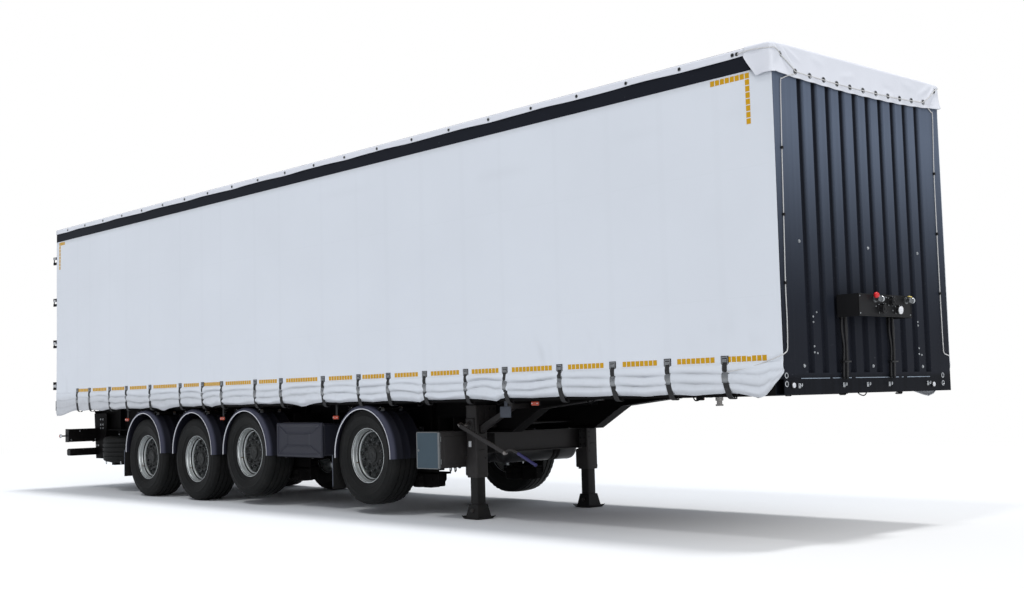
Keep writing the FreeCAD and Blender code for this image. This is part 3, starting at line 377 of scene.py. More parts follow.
class Shader:
    """One node material with a Principled shader."""

    def __init__(self, name, **constants):
        self.material = bpy.data.materials.new(name)
        self.material.use_nodes = True
        self.tree = self.material.node_tree
        self.tree.nodes.clear()
        self.surface = self.tree.nodes.new("ShaderNodeBsdfPrincipled")
        output = self.tree.nodes.new("ShaderNodeOutputMaterial")
        self.tree.links.new(self.surface.outputs[0], output.inputs["Surface"])
        for socket, value in constants.items():
            self.set(socket.replace("_", " ").title(), value)

    def node(self, kind, settings=None, inputs=None, out=0):
        """Adds a node of this type: its settings first, a ramp's stops among them, then its sockets."""
        node = self.tree.nodes.new("ShaderNode" + kind)
        for key, value in (settings or {}).items():
            if key == "stops":
                for place, shade in value[2:]:
                    node.color_ramp.elements.new(place)
                for element, (place, shade) in zip(node.color_ramp.elements, value):
                    element.position, element.color = place, shade
            else:
                setattr(node, key, value)
        for key, value in (inputs or {}).items():
            self.feed(node.inputs[key], value)
        return Value(self, node.outputs[out])

    def math(self, operation, *values):
        return self.node("Math", {"operation": operation}, dict(enumerate(values)))

    def feed(self, socket, value):
        if isinstance(value, Value):
            self.tree.links.new(value.socket, socket)
        elif hasattr(socket.default_value, "__len__") and len(socket.default_value) == 4 and len(value) == 3:
            socket.default_value = (*value, 1.0)
        else:
            socket.default_value = value

    def set(self, socket, value):
        self.feed(self.surface.inputs[socket.replace("Ior", "IOR")], value)

    def place(self):
        """Object coordinates, which are metres in the trailer's frame."""
        return self.node("TexCoord", out=3)

    def stretched(self, scale):
        """Object coordinates times a scale for each axis."""
        return self.node("Mapping", {}, {0: self.place(), 3: scale})

    def noise(self, scale, detail=3.0, rough=0.55, where=None):
        return self.node("TexNoise", {},
            {"Vector": where or self.place(), "Scale": scale, "Detail": detail, "Roughness": rough})

    def between(self, value, low, high):
        """0 below low, 1 above high and a smooth step between them."""
        return self.node("MapRange", {"interpolation_type": "SMOOTHSTEP"}, {0: value, 1: low, 2: high})

    def mix(self, factor, a, b):
        return self.node("Mix", {"data_type": "RGBA"}, {0: factor, 6: a, 7: b}, out=2)

    def axis(self, vector, index):
        return self.node("SeparateXYZ", {}, {0: vector}, out=index)

    def facing(self, index):
        """How far the surface faces along an axis, from -1 to 1."""
        return self.axis(self.node("NewGeometry", out=1), index)

    def attribute(self, name):
        return self.node("Attribute", {"attribute_name": name}, out=2)

    def bump(self, height, distance, strength=1.0, normal=None):
        inputs = {"Strength": strength, "Distance": distance, "Height": height}
        if normal is not None:
            inputs["Normal"] = normal
        self.set("Normal", self.node("Bump", {}, inputs))


def shade(base, factor):
    """A colour made darker or lighter."""
    return tuple(min(1.0, c * factor) for c in base)


def paint(name, base, rough, dust, grime=0.35, gloss=0.5, metallic=0.0, round_edge=0.003):
    """Sprayed paint: faint cloudiness, orange peel, dust on what faces up, dirt low down, soft edges."""
    s = Shader(name, metallic=metallic, specular_ior_level=gloss)
    cloud, peel = s.noise(1.3, 4.0), s.noise(55.0, 2.0)
    height = s.axis(s.place(), 2)
    low = 1 - s.between(height, 0.1, 1.25)
    dirt = s.between(s.noise(7.0, 6.0, 0.65), 0.42, 0.75)
    top = s.between(s.facing(2), 0.5, 0.95)
    clean = s.mix(cloud, shade(base, 0.8), shade(base, 1.25))
    dusty = s.mix(top * dust + low * dirt * grime * 0.5, clean, (0.13, 0.12, 0.11))
    s.set("Base Color", dusty)
    s.set("Roughness", rough + (cloud - 0.5) * 0.16 + low * dirt * 0.25 + top * dust)
    soft = s.node("Bevel", {"samples": 4}, {"Radius": round_edge})
    s.bump(peel + dirt * low * 0.5, 0.0006, 0.5, soft)
    return s


def zinc(name, base, rough=0.34):
    """Plated steel: fine spangle, brushed streaks and dull patches."""
    s = Shader(name, metallic=0.9)
    patch, streak = s.noise(28.0, 4.0), s.noise(1.0, 3.0, where=s.stretched((40.0, 40.0, 260.0)))
    s.set("Base Color", s.mix(patch, shade(base, 0.62), shade(base, 1.2)))
    s.set("Roughness", rough + (patch - 0.5) * 0.3 + (streak - 0.5) * 0.12)
    s.bump(streak + patch, 0.0004, 0.5)
    return s


def moulded(name, base, rough=0.5, gloss=0.3, dust=0.35):
    """Rotation-moulded plastic: fine grain, paler cloudy patches, dust that gathers on top and low down."""
    s = Shader(name, specular_ior_level=gloss)
    grain, cloud = s.noise(420.0, 2.0), s.noise(2.2, 5.0)
    low = 1 - s.between(s.axis(s.place(), 2), 0.2, 1.2)
    top = s.between(s.facing(2), 0.2, 0.9)
    dirty = s.mix(s.between(cloud, 0.35, 0.8) * dust * (low + top * 0.5), base, (0.1, 0.095, 0.09))
    s.set("Base Color", s.mix(cloud * 0.25, dirty, shade(base, 1.5)))
    s.set("Roughness", rough + (cloud - 0.5) * 0.25)
    s.bump(grain, 0.0004, 0.4)
    return s


def rubber(name, base, dusty=0.25):
    """Black rubber with road dust that lies in patches."""
    s = Shader(name, specular_ior_level=0.2)
    patch, grain = s.noise(4.5, 6.0, 0.65), s.noise(160.0, 2.0)
    film = s.between(patch, 0.35, 0.8) * dusty
    s.set("Base Color", s.mix(film, base, (0.095, 0.088, 0.08)))
    s.set("Roughness", 0.62 + patch * 0.22)
    s.bump(grain, 0.0005, 0.35)
    return s


def coated_cloth(name, base, tier):
    """Coated cloth: fine weave under a satin coat, seams from the piece's own attribute and at each tier,
    faint dirt; under the tape dirt and painted shade darken it, the painted shade growing towards the rear,
    and painted shade darkens its creases."""
    s = Shader(name, sheen_weight=0.06, ior=1.46)
    level = s.axis(s.place(), 2)
    weld = 1 - s.between(s.math("PINGPONG", level + 0.09, tier), 0.003, 0.007) if tier else 0.0
    line = s.math("MAXIMUM", s.attribute("seam"), weld)
    cloud, mottle = s.noise(0.9, 5.0), s.noise(14.0, 5.0, 0.6)
    low = 1 - s.between(s.axis(s.place(), 2), 1.28, 1.49)
    tone = s.mix(cloud, shade(base, 0.955), shade(base, 1.04))
    seamed = s.mix(line * 0.09, tone, shade(base, 0.86))
    # Painted shade: under the tape the cloth is darkened by a fixed share that grows towards the rear; the
    # mottled share is dirt.
    painted_rear_shade = s.between(FRONT - s.axis(s.place(), 0), 5.0, 13.0)
    soiled_and_shaded = s.mix(low * (s.between(mottle, 0.45, 0.8) * 0.16 + 0.1 + painted_rear_shade * 0.42), seamed,
        (0.34, 0.34, 0.35))
    # Painted shade in the folds' creases and under each crest, from the piece's crease-shade attribute.
    s.set("Base Color", s.mix(s.attribute("crease") * 0.75, soiled_and_shaded, (0.26, 0.27, 0.29)))
    s.set("Roughness", 0.46 + (mottle - 0.5) * 0.14)
    across = s.node("TexWave", {"bands_direction": "X"},
        {"Vector": s.place(), "Scale": 130.0, "Distortion": 0.4})
    along = s.node("TexWave", {"bands_direction": "Z"},
        {"Vector": s.place(), "Scale": 130.0, "Distortion": 0.4})
    s.bump((across + along) * 0.1 + mottle * 0.5 + line * 0.8, 0.0006, 0.5)
    return s


def lens(name, base):
    """Coloured lamp lens: ribbed inside, glossy outside."""
    s = Shader(name, coat_weight=0.25, roughness=0.3)
    rib = s.node("TexWave", {"bands_direction": "Z"}, {"Vector": s.place(), "Scale": 40.0})
    s.set("Base Color", s.mix(rib * 0.45, base, shade(base, 0.45)))
    s.bump(rib, 0.001, 0.4)
    return s


def planks(name, base):
    """Coated plywood floor: long grain, board joints and scuffs."""
    s = Shader(name)
    grain = s.noise(1.0, 6.0, where=s.stretched((1.5, 38.0, 1.0)))
    scuff = s.between(s.noise(5.0, 5.0), 0.5, 0.75)
    joint = s.between(s.node("TexWave", {"bands_direction": "X"}, {"Vector": s.place(), "Scale": 0.26}), 0.0,
        0.004)
    tone = s.mix(grain, shade(base, 0.55), shade(base, 1.35))
    s.set("Base Color", s.mix(joint, shade(base, 0.2), s.mix(scuff * 0.4, tone, (0.3, 0.27, 0.24))))
    s.set("Roughness", 0.5 + scuff * 0.2)
    s.bump(grain * 0.4 + joint, 0.0012, 0.5)
    return s


def wall_paint(name, base):
    """Paint of the pressed wall: a painted sky reflection makes the ridges lighter towards the top, painted
    shade keeps the grooves and the foot dark, bare scratches."""
    s = Shader(name, specular_ior_level=0.05)
    place, cloud, peel = s.place(), s.noise(1.1, 4.0), s.noise(60.0, 2.0)
    height, depth = s.axis(place, 2), s.axis(place, 0)
    ridge = s.between(depth, FRONT - 0.03, FRONT - 0.004)
    rise = s.between(height, 1.3, 3.7)
    streak = s.noise(1.0, 3.0, where=s.stretched((1.0, 22.0, 0.35)))
    # Painted sky reflection: the ridges' colour grows from dark at the foot to several times the paint's
    # colour at the top.
    tone = s.mix(rise, shade(base, 0.42), (base[0] * 4.7, base[1] * 5.1, base[2] * 4.9))
    # Painted shade: the grooves keep a darker colour than the ridges.
    painted_sky_and_shade = s.mix(ridge * (0.15 + rise * 0.85), shade(base, 0.34), tone)
    # Painted shade: below the ledge the foot is darkened almost to black.
    painted_sky_and_shade = s.mix(s.between(height, 1.325, 1.375), shade(base, 0.1), painted_sky_and_shade)
    scratch = s.between(s.noise(1.0, 5.0, 0.7, s.stretched((30.0, 9.0, 46.0))), 0.66, 0.72)
    s.set("Base Color",
        s.mix(scratch * 0.25, s.mix(streak * 0.35, painted_sky_and_shade, shade(base, 0.8)), (0.16, 0.17, 0.19)))
    s.set("Roughness", 0.42 + (cloud - 0.5) * 0.2)
    soft = s.node("Bevel", {"samples": 4}, {"Radius": 0.004})
    s.bump(peel + cloud, 0.0006, 0.4, soft)
    return s


def twisted(name, base):
    """Twisted pale rope."""
    s = Shader(name, roughness=0.8)
    twist = s.node("TexWave", {"bands_direction": "DIAGONAL"}, {"Vector": s.place(), "Scale": 60.0})
    s.set("Base Color", s.mix(twist, base, (0.68, 0.68, 0.68)))
    s.bump(twist, 0.001, 0.6)
    return s


def marking(name, base):
    """Reflective tape: fine honeycomb of small cells under a clear coat, edges a little browned."""
    s = Shader(name, coat_weight=0.1, roughness=0.45, specular_ior_level=0.2)
    cells = s.node("TexVoronoi", {}, {"Vector": s.place(), "Scale": 260.0, "Randomness": 0.1})
    patch = s.noise(5.0, 4.0)
    s.set("Base Color", s.mix(cells * 0.5 + patch * 0.4, base, shade(base, 0.62)))
    s.bump(cells, 0.0004, 0.4)
    return s


def webbing_band(name, base):
    """Woven strap: a rib across it every 2 mm, frayed patches paler."""
    s = Shader(name, roughness=0.72)
    rib = s.node("TexWave", {"bands_direction": "Z"},
        {"Vector": s.place(), "Scale": 160.0, "Distortion": 1.0})
    worn = s.between(s.noise(24.0, 4.0), 0.5, 0.8)
    s.set("Base Color", s.mix(worn * 0.3 + rib * 0.2, base, (0.06, 0.06, 0.062)))
    s.bump(rib, 0.0008, 0.6)
    return s


def tyre_rubber(name, base):
    """Black rubber, paler where it is scrubbed and dusty, with fine moulded grain."""
    s = Shader(name, specular_ior_level=0.16)
    patch, grain, streak = s.noise(3.5, 6.0, 0.62), s.noise(210.0, 2.0), s.noise(26.0, 4.0)
    film = s.between(patch, 0.45, 0.8) * 0.08 + s.between(streak, 0.55, 0.8) * 0.04
    s.set("Base Color", s.mix(film, base, (0.105, 0.098, 0.09)))
    s.set("Roughness", 0.5 + patch * 0.3)
    s.bump(grain + streak * 0.6, 0.0006, 0.4)
    return s


def guard_plastic(name, base):
    """Moulded plastic with a painted highlight along the rolled shoulder and painted shade that darkens the
    rest of the guard.
    """
    s = moulded(name, base, 0.5, 0.15, 0.12)
    # Painted highlight: the band of the rolled shoulder, found by how far out it lies.
    shoulder = s.between(s.math("ABSOLUTE", s.axis(s.place(), 1)), 1.18, 1.222)
    cloud = s.noise(2.2, 5.0)
    # Painted shade: off the shoulder the plastic is darkened to about half its colour; on the shoulder it is
    # lightened more than twofold.
    s.set("Base Color", s.mix(shoulder * 0.85, s.mix(cloud * 0.25, shade(base, 0.55), shade(base, 1.0)),
        shade(base, 2.9)))
    return s


# Looks by recipe. paint: colour, roughness, dust, grime, gloss, metal, edge. zinc: colour, roughness.
# moulded: colour, roughness, gloss, dust. A colour is (property's name, factor) or linear light.
LOOKS = {
    wall_paint: {"wall_paint": [("wall", 1)]},
    paint: {
        "chassis_paint": [("chassis", 1), 0.6, 0.05, 0.15, 0.05],
        "leg_paint": [("legs", 1), 0.5, 0.12, 0.25, 0.25],
        "rim_paint": [("rim", 1), 0.28, 0.0, 0.05, 0.5, 0.75, 0.002],
        "door_paint": [("door", 1), 0.3, 0.08, 0.25],
        "tank_paint": [(0.008, 0.008, 0.009), 0.35, 0.15, 0.3, 0.3],
        "control_paint": [("legs", 1), 0.45, 0.1, 0.35, 0.3],
        "control_door": [("control", 1), 0.45, 0.02, 0.1, 0.2],
        "disc_paint": [(0.0095, 0.0115, 0.0115), 0.45, 0.02, 0.1, 0.25],
        "hub_paint": [(0.008, 0.009, 0.009), 0.45, 0.05, 0.2, 0.3],
        "greased_tube": [(0.0045, 0.0042, 0.0042), 0.4, 0.02, 0.15, 0.2],
        "damper_paint": [(0.012, 0.013, 0.016), 0.35, 0.1, 0.35, 0.4],
    },
    zinc: {
        "zinc_plate": [("steel", 1), 0.34], "buckle_steel": [("steel", 0.5), 0.3],
        "eyelet_steel": [("steel", 0.5), 0.3], "nut_steel": [("steel", 0.14), 0.4],
        "mill_aluminium": [(0.62, 0.63, 0.65), 0.42], "greased_steel": [(0.3, 0.29, 0.28), 0.25],
        "valve_brass": [(0.2, 0.13, 0.07), 0.45], "worn_edge": [(0.4, 0.47, 0.56), 0.4],
        "cast_metal": [(0.2, 0.21, 0.22), 0.5], "control_frame": [(0.2, 0.21, 0.215), 0.4],
        "worn_steel": [(0.3, 0.28, 0.27), 0.4],
    },
    moulded: {
        "moulded_plastic": [("guard", 1), 0.45, 0.22, 0.12], "guard_trim": [("trim", 1), 0.35],
        "black_fitting": [(0.009, 0.009, 0.01), 0.5, 0.2, 0.12],
        "red_cap": [(0.56, 0.012, 0.016), 0.35, 0.5, 0.05],
        "yellow_cap": [(0.62, 0.5, 0.13), 0.4, 0.4, 0.05],
        "socket_lid": [(0.72, 0.73, 0.76), 0.35, 0.5, 0.05],
        "hose_sheath": [(0.007, 0.007, 0.008), 0.4, 0.35, 0.05],
        "blank_plate": [(0.55, 0.56, 0.57), 0.4, 0.4, 0.1],
        "blue_grip": [(0.028, 0.026, 0.095), 0.5, 0.25, 0.05],
        "sign_paint": [(0.055, 0.062, 0.078), 0.5, 0.2, 0.1],
        "grease": [(0.02, 0.017, 0.012), 0.2, 0.6, 0.1], "flap_edge": [(0.075, 0.085, 0.11), 0.45, 0.3, 0.1],
    },
    lens: {
        "red_lens": [(0.45, 0.012, 0.008)], "amber_lens": [(0.44, 0.04, 0.004)],
        "clear_lens": [(0.7, 0.72, 0.76)], "red_reflector": [(0.5, 0.02, 0.012)],
    },
    rubber: {"flap_rubber": [("rubber", 1), 0.12]},
    tyre_rubber: {"tyre_rubber": [("rubber", 1)]},
    coated_cloth: {
        "curtain_cloth": [("cloth", 1), 0.52], "roof_cloth": [("roof", 1), 0.0],
    },
    marking: {"marking_tape": [("tape", 1)]},
    webbing_band: {"strap_web": [(0.004, 0.004, 0.005)]},
    planks: {"floor_boards": [(0.23, 0.14, 0.085)]},
    twisted: {"customs_rope": [(0.42, 0.42, 0.42)]},
    guard_plastic: {"guard_plastic": [("guard", 1)]},
}
RECIPES = {name: (recipe, *values) for recipe, looks in LOOKS.items() for name, values in looks.items()}
finishes = {}


def finish(name):
    """The material of this name, made once and handed to every piece that uses it."""
    if name not in finishes:
        recipe, base, *rest = RECIPES[name]
        if isinstance(base[0], str):
            base = shade(getattr(bpy.context.scene.trailer_colours, base[0]), base[1])
        finishes[name] = recipe(name, base, *rest).material
    return finishes[name]


class TRAILER_OT_finishes(bpy.types.Operator):
    """Gives every piece of the frame its paint, plating, plastic or rubber"""
    bl_idname = "trailer.finishes"
    bl_label = "Finishes"

    def execute(self, context):
        given = {"wall_paint": "front_wall front_frame rear_frame cantrails end_sills",
            "floor_boards": "deck", "black_fitting": "connection_panel door_hinges air_lines",
            "mill_aluminium": "roof_bows stanchions", "door_paint": "door_left door_right",
            "moulded_plastic": "mudguards toolboxes",
            "zinc_plate": "lock_rods_left lock_rods_right curtain_buckles couplings",
            "greased_steel": "king_pin", "flap_rubber": "mudflaps air_springs spare_wheel",
            "leg_paint": "leg_housings leg_feet leg_braces leg_crank", "tank_paint": "air_tanks",
            "control_paint": "control_box", "red_lens": "rear_lamps", "amber_lens": "side_markers"}
        given = {node: look for look, nodes in given.items() for node in nodes.split()}
        for name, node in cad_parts.items():
            usual = {"tyre": "tyre_rubber", "rim_": "rim_paint"}.get(name[:4], "chassis_paint")
            node.data.materials.clear()
            node.data.materials.append(finish(given.get(name, usual)))
        return {"FINISHED"}


# ---------------------------------------------------------------- stage
class TRAILER_OT_stage(bpy.types.Operator):
    """Builds the pale floor, the soft light and the camera"""
    bl_idname = "trailer.stage"
    bl_label = "Stage"

    def execute(self, context):
        stage = context.scene.trailer_stage
        context.scene.view_settings.view_transform = "Standard"
        self.floor(stage)
        self.world(context.scene, stage)
        self.sun("key", stage.key, 9.0, (0.1, 0.12, 1.0), (1.0, 0.985, 0.96))
        self.sun("graze", stage.graze, 7.0, (0.1, -0.55, 1.0), (1.0, 0.99, 0.97))
        self.sun("fill", stage.fill, 50.0, (1.0, -0.45, 0.38), (1.0, 0.99, 0.98))
        self.camera(context.scene, stage)
        return {"FINISHED"}

    def floor(self, stage):
        """Flat sheet that fades to plain white far from the trailer; ahead of it the floor already glows half
        white, a painted light that lifts the shadow under the trailer's front.
        """
        s = Shader("floor", roughness=1.0, specular_ior_level=0.0)
        s.set("Base Color", (stage.floor * 0.975, stage.floor, stage.floor * 1.035))
        distance = s.node("VectorMath", {"operation": "LENGTH"}, {0: s.stretched((0.6, 1.0, 1.0))}, out=1)
        white = s.node("Emission", {}, {0: (1.0, 1.0, 1.0)})
        # Painted light: towards the front the floor turns half into white glow, fading the trailer's shadow
        # there.
        ahead = s.between(s.axis(s.place(), 0), FRONT - 3.6, FRONT + 1.6)
        far = s.math("MAXIMUM", s.between(distance, 9.0, 16.0), ahead * 0.5)
        mixed = s.node("MixShader", {}, {0: far, 1: Value(s, s.surface.outputs[0]), 2: white})
        output = next(node for node in s.tree.nodes if node.type == "OUTPUT_MATERIAL")
        s.tree.links.new(mixed.socket, output.inputs["Surface"])
        size = 90.0
        corners = np.array([[[-size, -size, 0], [-size, size, 0]], [[size, -size, 0], [size, size, 0]]],
            float)
        mesh = bpy.data.meshes.new("floor")
        points, faces = grid(corners)
        mesh.from_pydata(points.tolist(), [], faces[0].tolist())
        mesh.materials.append(s.material)
        floor = bpy.data.objects.new("floor", mesh)
        bpy.context.scene.collection.objects.link(floor)

    def world(self, scene, stage):
        """Even pale light, a little stronger from above; plain white to the camera."""
        scene.world = bpy.data.worlds.new("studio")
        scene.world.use_nodes = True
        tree = scene.world.node_tree
        tree.nodes.clear()
        new, link = tree.nodes.new, tree.links.new
        path = new("ShaderNodeLightPath")
        seen = new("ShaderNodeMath")
        seen.operation = "MAXIMUM"
        link(path.outputs["Is Camera Ray"], seen.inputs[0])
        link(path.outputs["Is Transmission Ray"], seen.inputs[1])
        light, backdrop = new("ShaderNodeBackground"), new("ShaderNodeBackground")
        light.inputs["Color"].default_value = (0.93, 0.97, 1.04, 1.0)
        light.inputs["Strength"].default_value = stage.ambient
        backdrop.inputs["Color"].default_value = (1.0, 1.0, 1.0, 1.0)
        mixed, output = new("ShaderNodeMixShader"), new("ShaderNodeOutputWorld")
        link(seen.outputs[0], mixed.inputs[0])
        link(light.outputs[0], mixed.inputs[1])
        link(backdrop.outputs[0], mixed.inputs[2])
        link(mixed.outputs[0], output.inputs["Surface"])

    def sun(self, name, strength, softness, direction, tint):
        """Lamp far off in a direction; softness is its width in degrees."""
        lamp = bpy.data.lights.new(name, "SUN")
        lamp.energy, lamp.angle, lamp.color = strength, math.radians(softness), tint
        made = bpy.data.objects.new(name, lamp)
        made.rotation_euler = Vector(direction).to_track_quat("Z", "Y").to_euler()
        bpy.context.scene.collection.objects.link(made)

    def camera(self, scene, stage):
        """Camera at eye height, off the front right corner, looking back along the side."""
        place = Vector((at(-6.07), -9.65, 1.24))
        yaw, pitch, roll = math.radians(137.55), math.radians(4.48), math.radians(-1.44)
        view = Vector((math.cos(yaw) * math.cos(pitch), math.sin(yaw) * math.cos(pitch), math.sin(pitch)))
        level = view.cross(Vector(Z)).normalized()
        upright = level.cross(view)
        right = level * math.cos(roll) + upright * math.sin(roll)
        up = upright * math.cos(roll) - level * math.sin(roll)
        data = bpy.data.cameras.new("camera")
        data.lens, data.sensor_width = stage.lens, 36.0
        data.clip_end = 300.0
        made = bpy.data.objects.new("camera", data)
        turn = Matrix((right, up, -view)).transposed()
        made.matrix_world = Matrix.Translation(place) @ turn.to_4x4()
        scene.collection.objects.link(made)
        scene.camera = made


# ---------------------------------------------------------------- curtains
def spans(node, axis, gap=0.1):
    """Middles of the stretches that a node's points fill along an axis,
    split where nothing lies for a gap."""
    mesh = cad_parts[node].data
    points = np.empty(len(mesh.vertices) * 3)
    mesh.vertices.foreach_get("co", points)
    line = np.unique(points.reshape(-1, 3)[:, axis].round(5))
    breaks = np.flatnonzero(np.diff(line) > gap)
    starts, ends = np.concatenate([[0], breaks + 1]), np.concatenate([breaks, [len(line) - 1]])
    return (line[starts] + line[ends]) / 2


def creases(d, z, lines):
    """Sum of soft ridges, each from (d0, z0) to (d1, z1) with a height and a width.

    height * sin(pi * t) ** 0.7 * exp(-(distance / width) ** 2), with t the place along the ridge.
    """
    start, run = lines[:, 0:2], lines[:, 2:4] - lines[:, 0:2]
    from_start = np.stack([d, z], -1)[..., None, :] - start
    t = np.clip((from_start * run).sum(-1) / (run ** 2).sum(-1), 0, 1)
    gap = np.linalg.norm(from_start - t[..., None] * run, axis=-1)
    return (lines[:, 4] * np.sin(np.pi * t) ** 0.7 * np.exp(-(gap / lines[:, 5]) ** 2)).sum(-1)


def step(x, low, high):
    """0 below low, 1 above high, smooth between."""
    t = np.clip((x - low) / (high - low), 0, 1)
    return t * t * (3 - 2 * t)


class Drape:
    """Shape of one hung curtain, as functions of the distance d behind the front wall and the height z."""

    slack = ((3.361, 0.03), (4.55, 0.022), (6.704, 0.052), (8.8, 0.024), (10.099, 0.058), (11.95, 0.024))
    tape_foot = 1.468
    tape_height = 1.496

    def __init__(self, cloth, seed, tip):
        rng = np.random.default_rng(seed)
        self.cloth, self.tip = cloth, tip
        self.buckles = np.sort(FRONT - spans("curtain_buckles", 0))
        self.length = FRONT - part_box("curtain_right")[0].x
        self.stops = np.concatenate([[0.0], self.buckles, [self.length]])
        cells = len(self.stops) - 1
        self.sag = rng.uniform(0.004, 0.014, cells)
        self.lowest = rng.uniform(0.35, 0.65, cells)
        for place, depth in self.slack:
            i = np.searchsorted(self.stops, place) - 1
            self.sag[i] = depth
            self.lowest[i] = (place - self.stops[i]) / (self.stops[i + 1] - self.stops[i])
        self.tilt = rng.uniform(-0.3, 0.3, cells)
        self.bow = rng.uniform(-0.15, 0.22, cells) + self.sag * 3
        self.roll = rng.uniform(0.55, 1.25, (cells, 4))
        self.lines = self.fans(rng)

    def fans(self, rng):
        """Creases that spread from the buckles, and the long ones near both ends of the curtain."""
        count = len(self.buckles)
        drawn = rng.random((count, 3)) < 0.8
        foot = np.repeat(self.buckles[:, None], 3, 1) + rng.uniform(-0.02, 0.02, (count, 3))
        lean, rise = rng.uniform(-0.5, 0.5, (count, 3)), rng.uniform(0.12, 0.55, (count, 3))
        height, width = rng.uniform(-0.003, 0.0036, (count, 3)), rng.uniform(0.012, 0.03, (count, 3))
        fan = np.stack([foot, np.full_like(foot, 1.5), foot + lean, 1.5 + rise, height, width], -1)[drawn]
        below = np.stack([foot, np.full_like(foot, 1.4), foot + lean * 0.6, 1.22 + rise * 0.1, height * 1.1,
            width * 0.7], -1)[drawn]
        sags = np.array([line for place, depth in self.slack
            for line in ((place - 0.26, 1.36, place - 0.01, 1.205, depth * 0.16, 0.013),
            (place - 0.2, 1.42, place + 0.02, 1.25, -depth * 0.15, 0.014),
            (place + 0.24, 1.37, place + 0.02, 1.215, depth * 0.15, 0.013))])
        ends = np.array([(0.62, 1.55, 0.1, 1.7, 0.004, 0.03), (0.8, 1.6, 0.12, 1.88, -0.0035, 0.035),
            (0.95, 1.62, 0.25, 2.05, 0.003, 0.04), (0.56, 1.42, 0.12, 1.47, 0.0035, 0.014),
            (0.56, 1.38, 0.1, 1.43, -0.004, 0.014), (0.56, 1.33, 0.14, 1.36, 0.0042, 0.016),
            (0.54, 1.29, 0.17, 1.27, -0.004, 0.014), (0.4, 1.24, 0.2, 1.2, 0.004, 0.016),
            (2.99, 1.75, 2.56, 1.54, -0.0045, 0.016), (2.9, 1.86, 2.5, 1.6, 0.003, 0.02),
            (13.45, 3.6, 13.2, 2.1, 0.0045, 0.04), (13.3, 2.6, 12.95, 1.6, -0.004, 0.03),
            (13.5, 1.9, 12.9, 1.42, 0.005, 0.022), (13.52, 1.6, 12.84, 1.34, -0.005, 0.018),
            (13.5, 1.4, 12.86, 1.24, 0.005, 0.018), (0.9, 3.52, 4.6, 3.36, 0.0022, 0.02),
            (0.05, 3.48, 1.5, 3.4, -0.002, 0.018), (5.2, 3.6, 8.0, 3.52, 0.0022, 0.025)])
        return np.concatenate([fan, below, sags, ends])

    def cell(self, d):
        """Cell between two buckles, and the place in it from 0 to 1."""
        i = np.clip(np.searchsorted(self.stops, d, side="right") - 1, 0, len(self.stops) - 2)
        return i, (d - self.stops[i]) / (self.stops[i + 1] - self.stops[i])

    def low(self, d):
        """Height of the lower edge: held up at each buckle, slack between them,
        cut off at the front corner."""
        i, s = self.cell(d)
        peak = self.lowest[i]
        hang = np.where(s < peak, s / peak, (1 - s) / (1 - peak))
        edge = 1.222 + 0.008 * step(d, 1.0, 2.8) - 0.007 * np.maximum(d - 8.5, 0)
        edge = edge - self.sag[i] * (hang ** 1.6 * 0.6 + hang ** 4 * 0.4)
        edge = edge - 0.075 * step(d, self.buckles[-1] + 0.05, self.length - 0.05)
        corner = 1.379 - (1.379 - self.tip) * (np.clip(d, 0, None) / 0.199) ** 0.9
        return np.where(d < 0.199, corner, self.tip + (edge - self.tip) * step(d, 0.199, 0.48))

    def rolls(self, d, z):
        """Level rolls under the tape: 0 on the line where two of them meet, about 1 along a crest."""
        i, s = self.cell(d)
        pinch = np.sin(np.pi * np.clip(s, 0, 1))
        q = np.clip((self.tape_foot - z) / (self.tape_foot - np.minimum(self.low(d), 1.25)), 0, 1.2)
        warped = q + (self.tilt[i] * (s - 0.5) + self.bow[i] * pinch) * q * np.clip(1 - q, 0, 1) * 2.2
        which = np.clip((warped * 3).astype(int), 0, 3)
        band = step(z, self.tape_foot + 0.004, self.tape_foot - 0.012)
        return band, np.abs(np.sin(3 * np.pi * np.clip(warped, 0, 1.2))) ** 0.5 * self.roll[i, which]

    def shadow(self, d, z):
        """Painted shade: 1 along the lines where two rolls meet and just under each crest, 0 on open cloth.
        """
        i, s = self.cell(d)
        band, rolls = self.rolls(d, z)
        under = np.clip((self.out(d, z + 0.006) - self.out(d, z - 0.006)) / 0.012, 0, 1)
        valley = (band * (1 - np.clip(rolls / 0.7, 0, 1)) ** 1.5 * step(z, self.low(d) + 0.004,
            self.low(d) + 0.03))
        return np.clip(valley * np.sin(np.pi * s) ** 0.4 * 0.7 + under * 0.9, 0, 1)

    def out(self, d, z):
        """How far the cloth stands out from its plane: long waves, rolled band, belly, creases,
        tucked edge."""
        i, s = self.cell(d)
        fold, belly, wave = self.cloth.fold, self.cloth.belly, self.cloth.wave
        pinch = np.sin(np.pi * np.clip(s, 0, 1))
        loose = np.where((i == 0) | (i == len(self.stops) - 2), 0.55, 1.0)
        low = self.low(d)
        band, rolls = self.rolls(d, z)
        rise = step(self.tape_foot - z, 0, 0.16)
        out = band * rolls * fold * (0.3 + 0.7 * pinch ** 0.7) * loose
        out = (out + belly * pinch ** 0.8 * rise * loose
            - 0.012 * step(low + 0.045 - z, 0, 0.045) * (1 - 0.4 * pinch))
        height = (z - 1.5) / (CANTRAIL_LOW - 1.5)
        calm = np.clip(4 * height * (1 - height), 0, 1) ** 0.6
        out = (out
            + wave * calm * (np.sin(d * 3.1 + 1.4 * np.sin(z * 1.3)) * 0.6 + np.sin(d * 5.3 + z * 0.9) * 0.4))
        out = out + creases(d, z, self.lines) * step(z, low, low + 0.02)
        near_door = step(d, self.length - 1.7, self.length - 1.3)
        return np.minimum(out, 0.03 - 0.021 * near_door)

    def surface(self, d, z, lift=0.0):
        """Points on the right-hand curtain's outer face, lifted off it."""
        y = -(HALF - 0.0015 + self.out(d, z) + lift)
        return np.stack([at(d), y, z], -1)


